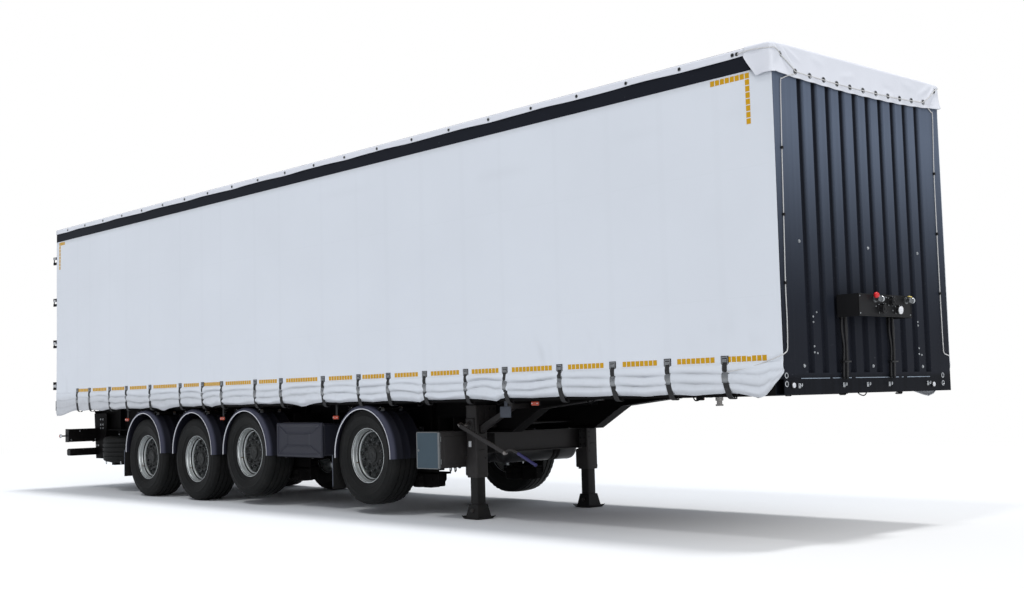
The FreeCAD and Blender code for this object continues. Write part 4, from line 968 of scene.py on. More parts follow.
def curtain_sheet(drape):
    """Grid over (d, v): d is close-set at each buckle, v runs from the lower edge to the rail,
    close-set in the band."""
    ease = (1 - np.cos(np.linspace(0, np.pi, 17)[:-1])) / 2
    starts, widths = drape.stops[:-1, None], np.diff(drape.stops)[:, None]
    d = np.append((starts + widths * ease).ravel(), drape.length)
    band = np.linspace(0, 1, 30)
    upper = np.linspace(0, 1, 26)[1:] ** 0.85
    low = drape.low(d)[:, None]
    tape = drape.tape_foot + 0.012
    z = np.concatenate([low + (tape - low) * band,
        np.broadcast_to(tape + (CANTRAIL_LOW - tape) * upper, (len(d), len(upper)))], 1)
    d = np.broadcast_to(d[:, None], z.shape)
    nearest = np.abs(d[..., None] - drape.buckles).min(-1)
    webbing = step(nearest, 0.029, 0.023) * step(z, drape.tape_foot, drape.tape_foot + 0.03)
    hem = np.maximum(step(d, 0.05, 0.045), step(drape.length - d, 0.05, 0.045))
    # The third array is painted shade along the folds' creases.
    return drape.surface(d, z), np.maximum(webbing, hem), drape.shadow(d, z)


def tape_blocks(drape):
    """Yellow blocks laid on the cloth: a row between each pair of buckles,
    and a corner mark at each upper end."""
    wide, tall, pitch = 0.042, 0.045, 0.0505
    places = []
    stops = np.concatenate([[0.135], drape.buckles])
    for left, right in zip(stops[:-1], stops[1:]):
        count = max(8, int((right - left - 0.19) / pitch))
        row = (left + right) / 2 + (np.arange(count) - (count - 1) / 2) * pitch
        places.append(np.stack([row, np.full(count, drape.tape_height), np.full(count, wide)], 1))
    for corner, inward, count in ((0.24, 1, 8), (drape.length - 0.12, -1, 4)):
        level = corner + inward * np.arange(count) * pitch
        upright = 3.765 - np.arange(1, 8) * 0.053
        places.append(np.stack([level, np.full(count, 3.765), np.full(count, wide)], 1))
        places.append(np.stack([np.full(7, corner), upright, np.full(7, wide)], 1))
    places = np.concatenate(places)
    u = np.linspace(-0.5, 0.5, 3)
    d = places[:, None, None, 0] + u[:, None] * places[:, None, None, 2]
    z = places[:, None, None, 1] + u * tall
    d, z = np.broadcast_arrays(d, z)
    face, back = drape.surface(d, z, 0.0022), drape.surface(d, z, 0.0006)
    return [tile(face[k], back[k]) for k in range(len(places))]


def tile(face, back):
    """Closed thin tile between two small grids: its rim joins the two grids' borders."""
    n, m = face.shape[:2]
    border = np.concatenate([face[:, 0], face[-1, 1:], face[-2::-1, -1], face[0, -2:0:-1]])
    under = np.concatenate([back[:, 0], back[-1, 1:], back[-2::-1, -1], back[0, -2:0:-1]])
    return joined([grid(face), grid(back), grid(np.stack([border, under]), close_v=True)])


class TRAILER_OT_curtains(bpy.types.Operator):
    """Hangs both curtains and lays the yellow tape on them"""
    bl_idname = "trailer.curtains"
    bl_label = "Curtains"

    def execute(self, context):
        cloth = context.scene.trailer_cloth
        for side, seed, tip in (("right", 7, 1.182), ("left", 19, 1.15)):
            drape = Drape(cloth, seed, tip)
            # The crease-shade attribute carries painted shade for the cloth's material.
            points, seam, crease = curtain_sheet(drape)
            sheet, marks = grid(points), joined(tape_blocks(drape))
            if side == "left":
                sheet, marks = mirror(sheet), mirror(marks)
            made = piece("curtain_cloth_" + side, [(sheet, "curtain_cloth")], ("curtain_" + side,),
                70.0, merge=False, attributes={"seam": seam, "crease": crease})
            thicken(made, cloth.thickness)
            piece("marking_tape_" + side, [(marks, "marking_tape")], angle=60.0)
        return {"FINISHED"}


def thicken(made, thickness):
    """Gives an open sheet its thickness, half to each side."""
    shell = made.modifiers.new("thickness", "SOLIDIFY")
    shell.thickness, shell.offset = thickness, 0.0


# ---------------------------------------------------------------- buckles
class TRAILER_OT_buckles(bpy.types.Operator):
    """Fits an over-centre buckle and its strap at each place along both curtains"""
    bl_idname = "trailer.buckles"
    bl_label = "Curtain buckles"

    def execute(self, context):
        places = [(x, 0, 0) for x in spans("curtain_buckles", 0)]
        metal, band = [both([copies(part, places)]) for part in self.buckle()]
        piece("buckles", [(metal[0], "buckle_steel"), (band[0], "strap_web"), (metal[1], "buckle_steel"),
            (band[1], "strap_web")], ("curtain_buckles",), 40.0)
        return {"FINISHED"}

    def buckle(self):
        """Slotted frame, lever and hinge pin in steel; loop and tail in webbing. The cloth is at y =
        -1.262."""
        face = -HALF - 0.0015
        low, high = np.array((-0.033, face, 1.392)), np.array((0.033, face - 0.0045, 1.52))
        bars = [block((low[0], low[1], low[2]), (low[0] + 0.009, high[1], high[2]), 0.001),
            block((high[0] - 0.009, low[1], low[2]), (high[0], high[1], high[2]), 0.001),
            block((low[0], low[1], high[2] - 0.012), (high[0], high[1] - 0.002, high[2]), 0.0015),
            block((low[0] + 0.012, low[1], 1.474), (high[0] - 0.012, high[1] - 0.003, high[2] - 0.018),
            0.0015), block((low[0], low[1], 1.442), (high[0], high[1], 1.448), 0.001)]
        pin = cylinder(0.0035, -0.029, 0.029, (0, face - 0.004, 1.392), X, 12)
        lever_path = [(0, face - 0.003, 1.396), (0, face - 0.0085, 1.38), (0, face - 0.0105, 1.35),
            (0, face - 0.0075, 1.318), (0, face - 0.009, 1.308)]
        lever = carried([(-0.031, -0.0012), (-0.029, -0.004), (-0.0275, -0.0012), (0.0275, -0.0012),
            (0.029, -0.004), (0.031, -0.0012), (0.031, 0.0012), (-0.031, 0.0012)],
            smooth_path(lever_path, 12), X)
        loop_path = [(0, face - 0.002, 1.466), (0, face - 0.007, 1.452), (0, face - 0.0105, 1.425),
            (0, face - 0.0085, 1.404), (0, face - 0.003, 1.394)]
        loop = carried(oblong(0.0235, 0.0013), smooth_path(loop_path, 12), X)
        tail_path = [(0.0, face - 0.004, 1.345), (0.006, face - 0.0065, 1.31), (0.022, face - 0.0105, 1.262),
            (0.04, face - 0.0095, 1.212), (0.046, face + 0.002, 1.186), (0.05, face + 0.03, 1.176),
            (0.052, face + 0.052, 1.186)]
        tail = carried(oblong(0.027, 0.0013), smooth_path(tail_path, 26), (1, 0.0, 0))
        hook = carried(circle(0.004, 8),
            smooth_path([(0.036, face + 0.05, 1.184), (0.052, face + 0.06, 1.196),
            (0.068, face + 0.05, 1.184)], 8), Y)
        pad = block((-0.04, face + 0.001, 1.3), (0.04, face - 0.0012, 1.526), 0.0006)
        return joined(bars + [pin, lever]), joined([loop, tail, pad, hook])


# ---------------------------------------------------------------- roof
class TRAILER_OT_roof(bpy.types.Operator):
    """Lays the roof cloth over its bows and folds the front flap down, with eyelets and customs rope"""
    bl_idname = "trailer.roof"
    bl_label = "Roof"

    corner = 0.024
    side_end = 0.254

    def execute(self, context):
        cloth = context.scene.trailer_cloth
        wide, long = HALF + 0.007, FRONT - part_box("roof_sheet")[0].x
        top, seam = self.top_sheet(wide, long)
        made = piece("roof_cloth", [(grid(top), "roof_cloth")], ("roof_sheet",), 60.0, merge=False,
            attributes={"seam": seam})
        thicken(made, cloth.thickness)
        flap, hem = self.flap_sheet()
        made = piece("front_flap", [(grid(flap), "roof_cloth")], (), 70.0, merge=False,
            attributes={"seam": hem})
        thicken(made, cloth.thickness * 1.3)
        rings, holes = self.eyelets()
        piece("roof_eyelets", [(rings, "eyelet_steel"), (holes, "black_fitting")])
        piece("customs_rope", [(self.ropes(cloth.rope), "customs_rope")], angle=60.0)
        return {"FINISHED"}

    def top_sheet(self, wide, long):
        """Section over the roof (skirt, rounded edge, crown, edge, skirt) carried from front to rear.

        Between two bows the cloth sinks by 6 mm; across it rises 10 mm to the middle;
        each skirt's edge ripples.
        """
        bows = np.sort(FRONT - spans("roof_bows", 0))
        d = np.unique(np.concatenate([np.linspace(0, long, 240), bows]))
        skirt, edge = 0.07, 0.022
        t = np.linspace(0, np.pi / 2, 7)
        across = np.linspace(-1, 1, 41)[1:-1] * (wide - edge)
        drop = np.concatenate([np.linspace(skirt, edge, 5), edge * (1 - np.sin(t[1:])), np.zeros(len(across)),
            edge * (1 - np.sin(t[:0:-1])), np.linspace(edge, skirt, 5)])
        y_flat = np.concatenate([np.full(5, -wide), -(wide - edge) - edge * np.cos(t[1:]), across,
            (wide - edge) + edge * np.cos(t[:0:-1]), np.full(5, wide)])
        gap = np.abs(d[:, None] - bows).min(1)
        sink = 0.006 * np.sin(np.pi * np.clip(gap / 0.4, 0, 1) / 2)
        dd, yy = np.meshgrid(d, y_flat, indexing="ij")
        crown = 0.01 * (1 - (yy / wide) ** 2)
        on_top = 1 - np.clip(np.abs(yy) / wide, 0, 1) ** 8
        hem = np.clip((drop[None] - edge) / (skirt - edge), 0, 1)
        ripple = 0.004 * np.sin(dd * 10.5 + 0.7 * np.sin(dd * 2.3)) * hem
        z = (ROOF - 0.0025 - drop[None] + (crown - sink[:, None]) * on_top
            + 0.004 * np.sin(dd * 5.0 + 1.0) * hem)
        y_out = yy + np.sign(yy) * (ripple + 0.003 * hem)
        seam = np.maximum(step(hem, 0.55, 0.65) * 0.7, step(np.abs(np.mod(dd, 2.1) - 1.05), 0.03, 0.02))
        return np.stack([at(dd), y_out, z], -1), seam

    def plan(self, s):
        """Place and outward direction at length s along the flap's plan, from the right side round the front.

        A straight side, a quarter circle, the straight front, a quarter circle and the other side.
        """
        r, half, front = self.corner, HALF + 0.011, FRONT + 0.014
        side, turn, width = self.side_end - r + 0.014, r * np.pi / 2, 2 * (half - r)
        parts = np.cumsum([side, turn, width, turn, side])
        a = np.clip((s - parts[0]) / turn, 0, 1) * np.pi / 2
        b = np.clip((s - parts[2]) / turn, 0, 1) * np.pi / 2
        angle = -np.pi / 2 + a + b
        normal = np.stack([np.cos(angle), np.sin(angle)], -1)
        x = (at(self.side_end) + np.clip(s, 0, parts[0]) + r * np.sin(a) - r * (1 - np.cos(b))
            - np.clip(s - parts[3], 0, side))
        y = -half + r * (1 - np.cos(a)) + np.clip(s - parts[1], 0, width) + r * np.sin(b)
        return np.stack([x, y], -1), normal, parts

    def stretches(self):
        """Lengths along the flap's plan at which its five stretches end."""
        return self.plan(np.zeros(1))[2]

    def near_corner(self, s, parts, width):
        """One at each front corner, falling off as exp(-(distance / width) squared)."""
        near, far = s - parts[0] - 0.04, parts[-1] - s - parts[0] - 0.04
        return np.exp(-(near / width) ** 2) + np.exp(-(far / width) ** 2)

    def flap_low(self, s, parts):
        """Height of the flap's lower edge: slanted ends, shallow scallops between eyelets,
        lowest in the middle."""
        whole = parts[-1]
        y = s - (parts[1] + parts[2]) / 2
        front = 3.722 + 0.028 * np.abs(y / 1.2) ** 2.2 + 0.012 * np.clip(y, 0, 2) ** 2
        front = front - 0.0022 * np.cos(y * 2 * np.pi / 0.195)
        near, far = s, whole - s
        rear_slant = 3.922 - 0.182 * np.clip(near / 0.118, 0, 1) ** 0.9 + 0.01 * step(near, 0.12, 0.2)
        rear_slant_far = 3.922 - 0.182 * np.clip(far / 0.118, 0, 1) ** 0.9 + 0.04 * step(far, 0.12, 0.2)
        return np.where(near < parts[1], np.maximum(rear_slant, 3.742),
            np.where(far < parts[1], rear_slant_far, front))

    def flap_out(self, s, drop, parts):
        """How far the flap stands off the wall: a lip at the hem, ears folded at both corners, soft dents."""
        low = self.flap_low(s, parts)
        deep = np.clip(drop / np.maximum(ROOF - low, 0.05), 0, 1)
        at_corner = self.near_corner(s, parts, 0.16)
        y = s - (parts[1] + parts[2]) / 2
        lines = np.array([(-1.17, 0.02, -0.97, 0.2, 0.01, 0.016), (-1.21, 0.03, -1.03, 0.22, -0.008, 0.016),
            (-1.15, 0.01, -0.88, 0.13, 0.006, 0.02), (-1.26, 0.02, -1.16, 0.1, 0.007, 0.014),
            (1.2, 0.02, 1.02, 0.2, 0.01, 0.018), (1.24, 0.04, 1.07, 0.22, -0.008, 0.018),
            (1.17, 0.01, 0.9, 0.15, 0.006, 0.024), (-0.75, 0.05, -0.55, 0.1, 0.004, 0.03),
            (-0.35, 0.16, -0.1, 0.12, 0.004, 0.03), (0.3, 0.15, 0.52, 0.18, -0.004, 0.03),
            (-1.4, 0.04, -1.27, 0.1, 0.005, 0.018), (-1.32, 0.02, -1.44, 0.06, -0.004, 0.015),
            (0.62, 0.06, 0.88, 0.11, 0.004, 0.035)])
        ears = creases(y, drop, lines)
        ripple = 0.0035 * np.sin(y * 2 * np.pi / 0.195 + 0.6) * deep ** 2 + 0.003 * np.sin(y * 7.0) * deep
        lip = 0.014 * deep ** 3 * (0.5 + at_corner)
        return ears + ripple + lip

    def flap_sheet(self):
        """Flap in plan along s and down its drop t: first 50 mm on the roof,
        then over a rounded edge and down."""
        parts = self.stretches()
        total = parts[-1]
        s = np.unique(np.concatenate([np.linspace(0, total, 260),
            np.linspace(parts[0] - 0.05, parts[1] + 0.15, 60),
            np.linspace(parts[2] - 0.15, parts[3] + 0.05, 60)]))
        v = np.concatenate([[-0.05, -0.035], np.linspace(-0.02, 0.02, 7), np.linspace(0.02, 1, 30)[1:]])
        ss, vv = np.meshgrid(s, v, indexing="ij")
        place, normal, parts = self.plan(ss)
        full = ROOF + 0.001 - self.flap_low(ss, parts)
        drop = np.where(vv <= 0.02, np.clip(vv, 0, None), 0.02 + (vv - 0.02) / 0.98 * (full - 0.02))
        turn = np.clip((vv + 0.02) / 0.04, 0, 1) * np.pi / 2
        back = np.where(vv < -0.02, -0.02 - vv, 0) + 0.02 * (1 - np.sin(turn))
        drop = np.where(vv <= 0.02, 0.02 * (1 - np.cos(turn)), drop)
        out = self.flap_out(ss, drop, parts) * step(drop, 0.0, 0.04)
        at_corner = self.near_corner(ss, parts, 0.09)
        z = ROOF + 0.001 - drop - 0.006 * at_corner * (1 - step(drop, 0, 0.1))
        plan = place + normal * (out - back)[..., None]
        hem = step(drop, full - 0.055, full - 0.048)
        return np.concatenate([plan, z[..., None]], -1), hem

    def on_flap(self, y, z, lift):
        """Point on the flap's front for a place y across and height z."""
        parts = self.stretches()
        s = np.asarray(y, float) + (parts[1] + parts[2]) / 2
        place, normal, parts = self.plan(s)
        drop = ROOF + 0.001 - np.asarray(z, float)
        out = self.flap_out(s, drop, parts) + lift
        plan = place + normal * out[..., None]
        return np.concatenate([plan, np.asarray(z, float)[..., None]], -1), normal

    def front_row(self):
        """Eyelets along the flap's hem."""
        y = np.linspace(-0.97, 0.98, 11)
        parts = self.stretches()
        z = self.flap_low(y + (parts[1] + parts[2]) / 2, parts) + 0.052
        return y, z

    def side_row(self):
        """Eyelets along the roof cloth's skirts, behind the flap."""
        return np.append([0.324, 0.369], np.arange(0.93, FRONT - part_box("roof_sheet")[0].x - 0.1, 0.61))

    def eyelets(self):
        """Steel rings pressed through the cloth, each round a dark hole."""
        rings, holes = [], []
        y, z = self.front_row()
        y, z = np.append(y, (-1.157, 1.185)), np.append(z, (3.907, 3.935))
        points, normals = self.on_flap(y, z, 0.0022)
        for point, normal in zip(points, normals):
            ring, hole = self.eyelet(point, (*normal, 0), 0.025)
            rings.append(ring)
            holes.append(hole)
        for d in self.side_row():
            for side in (-1, 1):
                ring, hole = self.eyelet((at(d), side * (HALF + 0.0115), ROOF - 0.044), (0, side, 0), 0.017)
                rings.append(ring)
                holes.append(hole)
        return joined(rings), joined(holes)

    def eyelet(self, point, axis, radius):
        """Rolled ring round a hole three quarters as wide."""
        r = radius
        ring = turned([(r, -0.002), (r, 0.001), (r * 0.93, 0.003), (r * 0.82, 0.0035), (r * 0.74, 0.002),
            (r * 0.72, -0.002)], point, axis, 20)
        return ring, cylinder(r * 0.74, -0.001, 0.0004, point, axis, 14)

    def ropes(self, radius):
        """Customs rope: through the hem's eyelets, up to both corners,
        along the skirts and down both front edges."""
        y, z = self.front_row()
        mids = (y[:-1] + y[1:]) / 2
        hop_y = np.ravel(np.column_stack([y[:-1], mids]))
        hop_z = np.ravel(np.column_stack([z[:-1], (z[:-1] + z[1:]) / 2 - 0.002]))
        lift = np.where(np.arange(len(hop_y)) % 2 == 0, 0.002, 0.007)
        row = self.on_flap(np.append(hop_y, y[-1]), np.append(hop_z, z[-1]), np.append(lift, 0.002))[0]
        ups = []
        for side, first, corner_z in ((-1, 0, 3.907), (1, -1, 3.935)):
            corner_y = side * (1.157 if side < 0 else 1.185)
            ys, zs = np.linspace(y[first], corner_y, 6), np.linspace(z[first], corner_z, 6)
            ups.append(self.on_flap(ys, zs, np.array([0.003, 0.007, 0.008, 0.008, 0.007, 0.003]))[0])
            over = self.on_flap(np.array([corner_y, corner_y + side * 0.06, corner_y + side * 0.11]),
                np.array([corner_z, corner_z + 0.028, corner_z + 0.036]), np.array([0.003, 0.008, 0.008]))[0]
            skirt = [(at(0.18), side * (HALF + 0.02), ROOF - 0.04),
                (at(0.315), side * (HALF + 0.014), ROOF - 0.046)]
            ups.append(smooth_path(np.concatenate([over, skirt]), 26))
        edges = [self.edge_rope(-1), self.edge_rope(1)]
        profile = circle(radius, 8)
        return ([carried(profile, smooth_path(path, len(path) * 4), (0.2, 0.1, 1.0)) for path in [row] + ups]
            + [carried(profile, path, (1.0, 0.3, 0.1)) for path in edges])

    def edge_rope(self, side):
        """Rope down one front post, through its clips, then back over the curtain to the first buckle."""
        x = FRONT + 0.007
        if side < 0:
            corners = [(x + 0.016, -0.985, 3.765), (x + 0.012, -1.06, 3.745), (x, -1.13, 3.715),
                (x, -1.154, 3.684), (x, -1.165, 3.42), (x, -1.174, 3.151), (x, -1.187, 2.617),
                (x, -1.201, 2.075), (x, -1.199, 1.8), (x, -1.204, 1.62), (x, -1.215, 1.545),
                (FRONT - 0.004, -1.258, 1.515), (FRONT - 0.03, -1.2725, 1.502), (at(0.16), -1.2735, 1.462),
                (at(0.36), -1.2735, 1.418), (at(0.545), -1.2725, 1.396)]
        else:
            corners = [(x + 0.016, 0.985, 3.79), (x + 0.01, 1.07, 3.76), (x, 1.135, 3.735), (x, 1.159, 3.707),
                (x, 1.147, 3.42), (x, 1.135, 3.165), (x, 1.133, 2.614), (x, 1.135, 2.072), (x, 1.139, 1.8),
                (x, 1.143, 1.6), (x, 1.155, 1.535), (FRONT + 0.004, 1.24, 1.512),
                (FRONT - 0.03, 1.2725, 1.502), (at(0.16), 1.2735, 1.462), (at(0.36), 1.2735, 1.418),
                (at(0.545), 1.2725, 1.396)]
        return smooth_path(corners, 150)


# ---------------------------------------------------------------- wheels
def tyre(wheels, radius, steps=168):
    """Tyre round its own centre, outward along +Y: section (r, a) turned through t.

    Tread: four grooves whose edges wander by 3 mm as t turns; notches cut the outer ribs' edges.
    Side: bulging from the bead to the shoulder with four raised rings.
    """
    deep, crown = wheels.groove, 0.01
    half = 0.155
    tread = []
    for middle in (-0.096, -0.033, 0.033, 0.096):
        tread += [(middle - 0.0085, 0, 1, 0), (middle - 0.0055, deep, 1, 0), (middle + 0.0055, deep, 1, 0),
            (middle + 0.0085, 0, 1, 0)]
    tread = ([(-half, 0.001, 0, 1), (-half + 0.02, 0, 0, 0.7), (-half + 0.024, 0, 0, 0)] + tread
        + [(half - 0.024, 0, 0, 0), (half - 0.02, 0, 0, 0.7), (half, 0.001, 0, 1)])
    tread = [(a, radius - crown * (a / half) ** 2 - cut, wander, notch) for a, cut, wander, notch in tread]
    side = [(0.1635, 0.5165, 0, 0.5), (0.169, 0.506, 0, 0), (0.1765, 0.488, 0, 0), (0.18, 0.4865, 0, 0),
        (0.1855, 0.462, 0, 0), (0.19, 0.436, 0, 0), (0.1925, 0.432, 0, 0), (0.1925, 0.426, 0, 0),
        (0.1908, 0.423, 0, 0), (0.189, 0.405, 0, 0), (0.184, 0.38, 0, 0), (0.1755, 0.356, 0, 0),
        (0.1755, 0.352, 0, 0), (0.1715, 0.346, 0, 0), (0.168, 0.345, 0, 0), (0.16, 0.33, 0, 0),
        (0.153, 0.317, 0, 0), (0.15, 0.31, 0, 0), (0.149, 0.304, 0, 0), (0.1475, 0.297, 0, 0),
        (0.147, 0.29, 0, 0), (0.146, 0.2865, 0, 0)]
    section = np.array([(-a, r, w, n) for a, r, w, n in side[::-1]] + tread + side)
    t = np.arange(steps) * 2 * math.pi / steps
    wander = np.abs(np.mod(t * 52 / (2 * math.pi), 1) - 0.5) * 0.006 - 0.0015
    notch = (np.mod(t * wheels.notches / (2 * math.pi), 1) < 0.3) * wheels.notch
    a = section[:, 0] + wander[:, None] * section[:, 2] * np.sign(section[:, 0] + 1e-9)
    r = section[:, 1] - notch[:, None] * section[:, 3]
    points = np.stack([r * np.cos(t)[:, None], a, r * np.sin(t)[:, None]], -1)
    return grid(points, close_u=True, close_v=True)


def rim_shell():
    """Drop-centre rim: rolled flange, wide sloping seat, step, inner band,
    and the outside that the tyre hides."""
    outline = [(0.2865, 0.125), (0.2895, 0.138), (0.2965, 0.1425), (0.2988, 0.1455), (0.2978, 0.1488),
        (0.294, 0.1492), (0.288, 0.144), (0.2835, 0.135), (0.2805, 0.12), (0.2765, 0.102), (0.2745, 0.093),
        (0.2715, 0.0885), (0.266, 0.087), (0.2635, 0.084), (0.2625, 0.076), (0.2605, 0.07), (0.256, 0.067),
        (0.2545, 0.06), (0.2535, 0.03), (0.253, 0.002), (0.253, -0.06), (0.264, -0.1), (0.28, -0.125),
        (0.293, -0.147), (0.2978, -0.1488), (0.2965, -0.1425), (0.2865, -0.125)]
    t = np.arange(96) * 2 * math.pi / 96
    outline = np.array(outline)
    points = np.stack([outline[:, 0] * np.cos(t)[:, None], np.broadcast_to(outline[:, 1], (96, len(outline))),
        outline[:, 0] * np.sin(t)[:, None]], -1)
    return grid(points, close_u=True, close_v=True)


def wheel_disc(nuts):
    """Dished disc with a round hand hole in each sector.

    A sector is the blend from a circle to a box in (angle, radius): (1 - w) * circle(p) + w * box(p).
    """
    sector = 2 * math.pi / nuts
    inner, outer, middle, hole = 0.186, 0.2532, 0.2165, 0.0235
    p = np.arange(32) * 2 * math.pi / 32 + math.pi / 4
    w = np.linspace(0, 1, 5)[:, None]
    square = np.stack([np.cos(p), np.sin(p)], -1) / np.maximum(np.abs(np.cos(p)), np.abs(np.sin(p)))[:, None]
    edge_angle, edge_r = square[:, 0] * sector / 2, np.where(square[:, 1] > 0, outer - middle,
        middle - inner) * square[:, 1]
    hole_angle, hole_r = hole * np.cos(p) / middle, hole * np.sin(p)
    angle = (1 - w) * hole_angle + w * edge_angle
    radius = middle + (1 - w) * hole_r + w * edge_r
    centres = np.arange(nuts) * sector

    def dish(r):
        return 0.002 + 0.012 * step(r, outer, 0.225) - 0.01 * step(r, 0.205, 0.18)

    def shell(depth, lip):
        along = dish(radius) - depth + lip
        turns = angle[None] + centres[:, None, None]
        return np.stack([radius * np.cos(turns), np.broadcast_to(along, turns.shape), radius * np.sin(turns)],
            -1)

    roll = 0.004 * (1 - step(w, 0.0, 0.25))
    front, back = shell(0.0, -roll), shell(0.012, 0 * roll)
    parts = [grid(np.swapaxes(sheet[k], 0, 1), close_u=True) for sheet in (front, back) for k in range(nuts)]
    parts += [grid(np.stack([front[k][0], back[k][0]]), close_v=True) for k in range(nuts)]
    plate = [(inner, dish(inner)), (0.14, dish(0.14)), (0.112, dish(0.112)), (0.112, -0.014),
        (inner, dish(inner) - 0.012)]
    parts.append(turned(plate, ORIGIN, Y, nuts * 8))
    return joined(parts)


def around(part, count, radius, phase=0.0):
    """The part, made at the origin with its axis along Y, at count places on a circle round Y."""
    angles = phase + np.arange(count) * 2 * math.pi / count
    return copies(part, np.stack([radius * np.cos(angles), 0 * angles, radius * np.sin(angles)], 1))


def wheel_parts(wheels, place, valve_turn):
    """Tyre, rim, disc, nuts, hub, a dark ring painted as the shadow in the rim's step, and valve of one wheel
    with their finishes, outward along +Y, then placed."""
    nut = joined([turned(mm((11.5, 4), (22.5, 4), (22.5, 8), (18.5, 9), (18.5, 28), (16.5, 31), (11.5, 31)),
        ORIGIN, Y, 12), turned(mm((11.5, 28), (11.5, 43), (9.5, 46), (0, 46)), ORIGIN, Y, 10)])
    hub = turned(mm((146, 54), (146, 60), (132, 63), (118, 64), (112, 68), (108, 74), (100, 77), (92, 80),
        (86, 83), (84, 85), (88, 87), (88, 94), (83, 98), (60, 100), (52, 96), (20, 96), (18, 99), (0, 99)),
        ORIGIN, Y, 40)
    lugs = around(turned(mm((0, 62), (10, 62), (10, 74), (8, 76), (0, 76)), ORIGIN, Y, 8), 10, 0.122, 0.3)
    cap_bolts = copies(around(bolt(0.006, 0.006, Y), 6, 0.07), (0, 0.0985, 0))
    stem = carried(circle(0.004, 8),
        smooth_path(mm((262, 78, 0), (260, 88, 0), (258, 100, 0), (256.5, 110, 0)), 8), Z)
    cap = turned(mm((0, 0), (5.5, 0), (5.5, 11), (4, 14), (0, 14)), (0.2567, 0.106, 0), (-0.05, 1, 0), 10)
    # Painted shadow: the bead is a dark ring laid in the rim's step, where the groove would be shaded.
    bead = turned(mm((272.8, 90.5), (266.4, 88), (264, 85), (263, 79), (260, 79), (261, 87), (265, 91),
        (270, 92.5)), ORIGIN, Y, 72)
    turn, out = Matrix.Rotation(valve_turn, 4, "Y"), Matrix.Translation((0, wheels.disc, 0))
    parts = [(tyre(wheels, 0.536), "tyre_rubber"), (rim_shell(), "rim_paint"),
        (moved(wheel_disc(wheels.nuts), out), "disc_paint"),
        (moved(around(nut, wheels.nuts, wheels.nut_circle, 0.31), out), "nut_steel"),
        (joined([hub, lugs, cap_bolts]), "hub_paint"), (bead, "hub_paint"),
        (moved(joined([stem, cap]), turn), "valve_brass")]
    return [(moved(part, place), look) for part, look in parts]


class TRAILER_OT_wheels(bpy.types.Operator):
    """Builds the eight wheels and the spare: tyre, stepped rim, pierced disc, nuts, hub and valve"""
    bl_idname = "trailer.wheels"
    bl_label = "Wheels"

    def execute(self, context):
        wheels, rng = context.scene.trailer_wheels, np.random.default_rng(4)
        for name in WHEELS:
            low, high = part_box("tyre_" + name)
            centre = (low + high) / 2
            place = Matrix.Translation(centre)
            if centre.y < 0:
                place = place @ Matrix.Rotation(math.pi, 4, "Z")
            place = place @ Matrix.Rotation(rng.uniform(0, 0.6), 4, "Y")
            tread, *others = wheel_parts(wheels, place, rng.uniform(-0.3, 0.2))
            body = "wheel_" + name
            piece("tyre_tread_" + name, [tread], ("tyre_" + name,), 28.0, body)
            piece("wheel_rim_" + name, others, ("rim_" + name,), 30.0, body)
        low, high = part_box("spare_wheel")
        place = Matrix.Translation((low + high) / 2) @ Matrix.Rotation(math.pi / 2, 4, "X")
        parts = wheel_parts(wheels, place, 0.4)
        piece("spare_tyre", parts[:3] + parts[-1:], ("spare_wheel",), 28.0)
        return {"FINISHED"}


